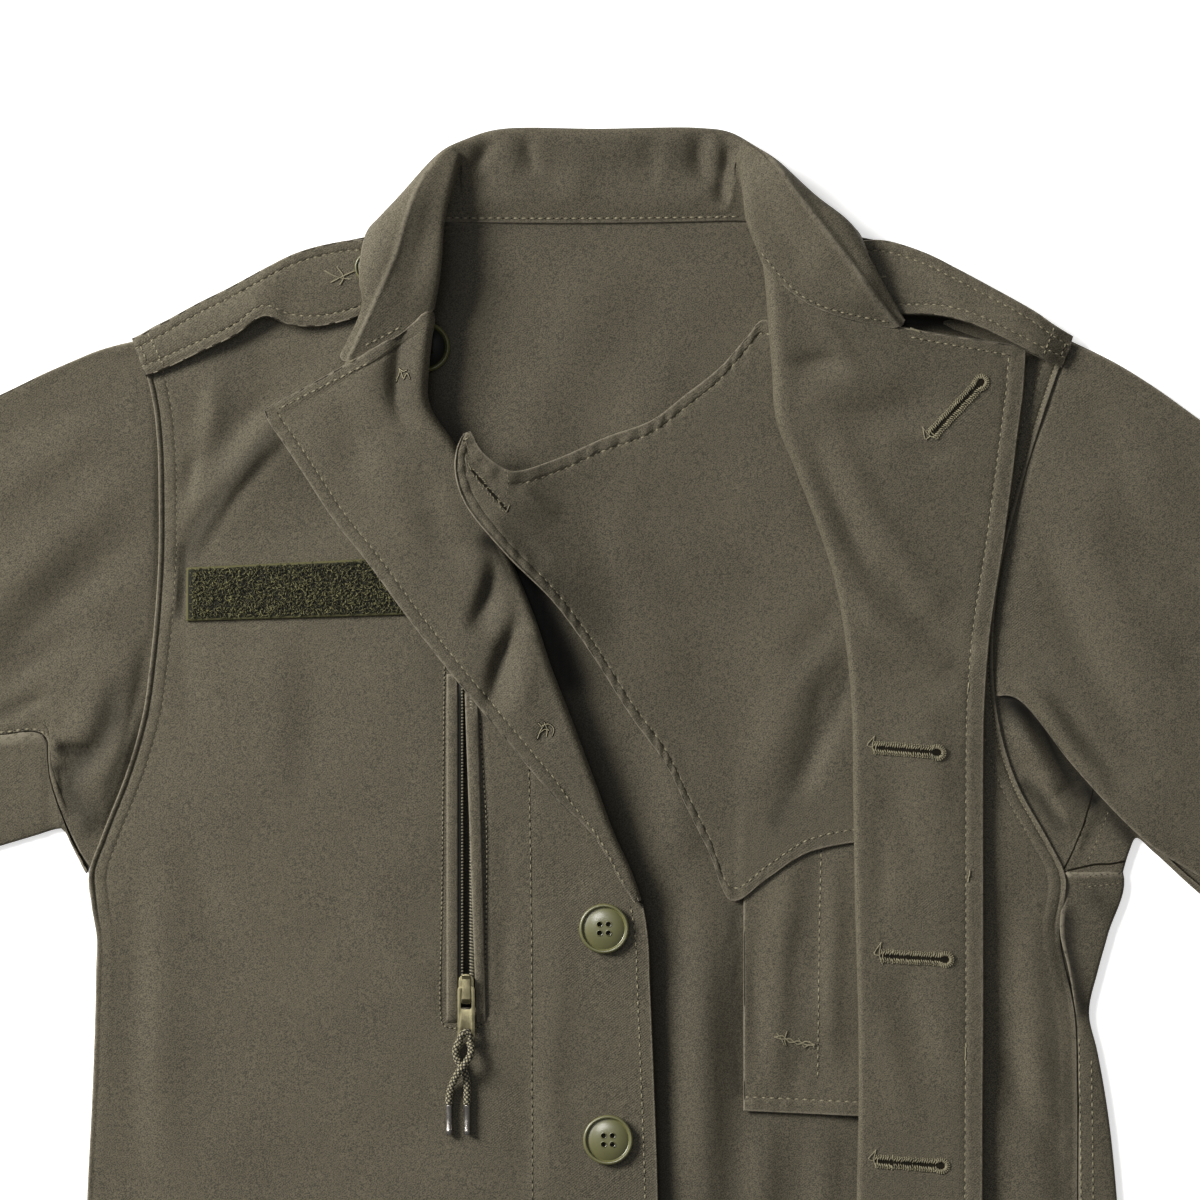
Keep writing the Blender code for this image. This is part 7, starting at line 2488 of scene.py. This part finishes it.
class JACKET_OT_chest_zip(JacketStep, bpy.types.Operator):
    """Make the chest zip: tapes, teeth, welts, slider and pull tab"""

    bl_idname = "jacket.chest_zip"
    bl_label = "Chest zip"

    def make(self, scene):
        trim, cloth = scene.jacket_trim, scene.jacket_cloth
        half = ZIP_SLOT / 2 - SEAM_GAP
        top, low = ZIP_TOP - TAPE_END, ZIP_LOW + TAPE_END
        # the tapes are darkened well below their colour: painted shade in the zip's open gap
        tape = thread_material("zip tape", shade(trim.tape, 0.35))
        teeth = Needlework("zip_teeth", cloth)
        # name, left edge, the teeth's place from it, their width and which way they lean
        for name, left, tooth, width, lean in (
                ("zip_tape_outer", ZIP_X - half, TAPE_WIDTH - 0.1, 1.5, 0.34),
                ("zip_tape_inner", ZIP_X + half - TAPE_WIDTH, 1.2, 3.6, -0.34)):
            right = left + TAPE_WIDTH
            corners = ((left, top), (right, top), (right, low), (left, low))
            panel = on_front(name, corners, 0.0, TAPE_WALL, 60, 4)
            place_cloth(panel, tape, slot="zip_tape")
            for y in np.arange(low + 14.0, top - 1.0, trim.tooth_pitch / MM):
                x = left + TOOTH_LEVEL[lean > 0]
                z = float(lie(FRONT_RIGHT, FOLDS_RIGHT, x, y) + lower_right(x, y)) + 0.75
                teeth.bead(np.array((left + tooth, y, z)), np.array((0, 0, 1.0)), np.array((1.0, lean, 0)),
                           width, 1.15, 1.5)
        piece = teeth.finish(slot="zip_tape")
        piece.data.materials.clear()
        piece.data.materials.append(hard_material("zip tooth", trim.teeth, 0.35, 0.55, fine=0.8))
        for name, sizes, seed in (("welt_outer", WELT_OUTER, 121), ("welt_inner", WELT_INNER, 122)):
            place_cloth(welt_panel(name, sizes, seed), known_twill(cloth))
        metal = hard_material("aged brass", shade(trim.metal, 0.72), 0.36, 0.50, metallic=1.0, fine=0.6,
                              worn=shade(trim.metal, 1.1))
        polished("zip_slider", 0.5, metal, "aged_brass", "jacket")
        polished("zip_pull", 0.32, metal, "aged_brass", "pull")


class JACKET_OT_buttons(JacketStep, bpy.types.Operator):
    """Turn the buttons of the fronts, neck and straps"""

    bl_idname = "jacket.buttons"
    bl_label = "Buttons"

    def make(self, scene):
        colour = scene.jacket_trim.button
        # the neck button gets the copy with painted shade
        plastic, shaded = (button_material(name, colour) for name in ("button", "button back"))
        meshes = {size: button_mesh(size) for size in (FRONT_BUTTON, STRAP_BUTTON)}
        for node in sorted(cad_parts):
            if node.startswith("button_"):
                size = STRAP_BUTTON if "strap" in node else FRONT_BUTTON
                place_button(node, meshes[size], shaded if node == "button_neck" else plastic)


class JACKET_PT_steps(bpy.types.Panel):
    """The steps that make the jacket, and its sizes and colours"""

    bl_idname = "JACKET_PT_steps"
    bl_label = "Field Jacket"
    bl_space_type = "VIEW_3D"
    bl_region_type = "UI"
    bl_category = "Jacket"

    def draw(self, context):
        layout = self.layout
        for step in STEPS:
            layout.operator(step.bl_idname)
        for group in (context.scene.jacket_cloth, context.scene.jacket_trim, context.scene.jacket_stage):
            box = layout.box()
            for name in group.__annotations__:
                box.prop(group, name)


STEPS = (JACKET_OT_stage, JACKET_OT_pull_cords, JACKET_OT_back, JACKET_OT_fronts, JACKET_OT_sleeves,
         JACKET_OT_collar, JACKET_OT_straps, JACKET_OT_storm_flap, JACKET_OT_loop_strip, JACKET_OT_chest_zip,
         JACKET_OT_buttons)
CLASSES = (JacketCloth, JacketTrim, JacketStage, *STEPS, JACKET_PT_steps)


def register():
    for item in CLASSES:
        bpy.utils.register_class(item)
    bpy.types.Scene.jacket_cloth = bpy.props.PointerProperty(type=JacketCloth)
    bpy.types.Scene.jacket_trim = bpy.props.PointerProperty(type=JacketTrim)
    bpy.types.Scene.jacket_stage = bpy.props.PointerProperty(type=JacketStage)


def unregister():
    del bpy.types.Scene.jacket_cloth
    del bpy.types.Scene.jacket_trim
    del bpy.types.Scene.jacket_stage
    for item in reversed(CLASSES):
        bpy.utils.unregister_class(item)


def main():
    register()
    for step in STEPS:
        group, name = step.bl_idname.split(".")
        getattr(getattr(bpy.ops, group), name)()


if __name__ == "__main__":
    main()
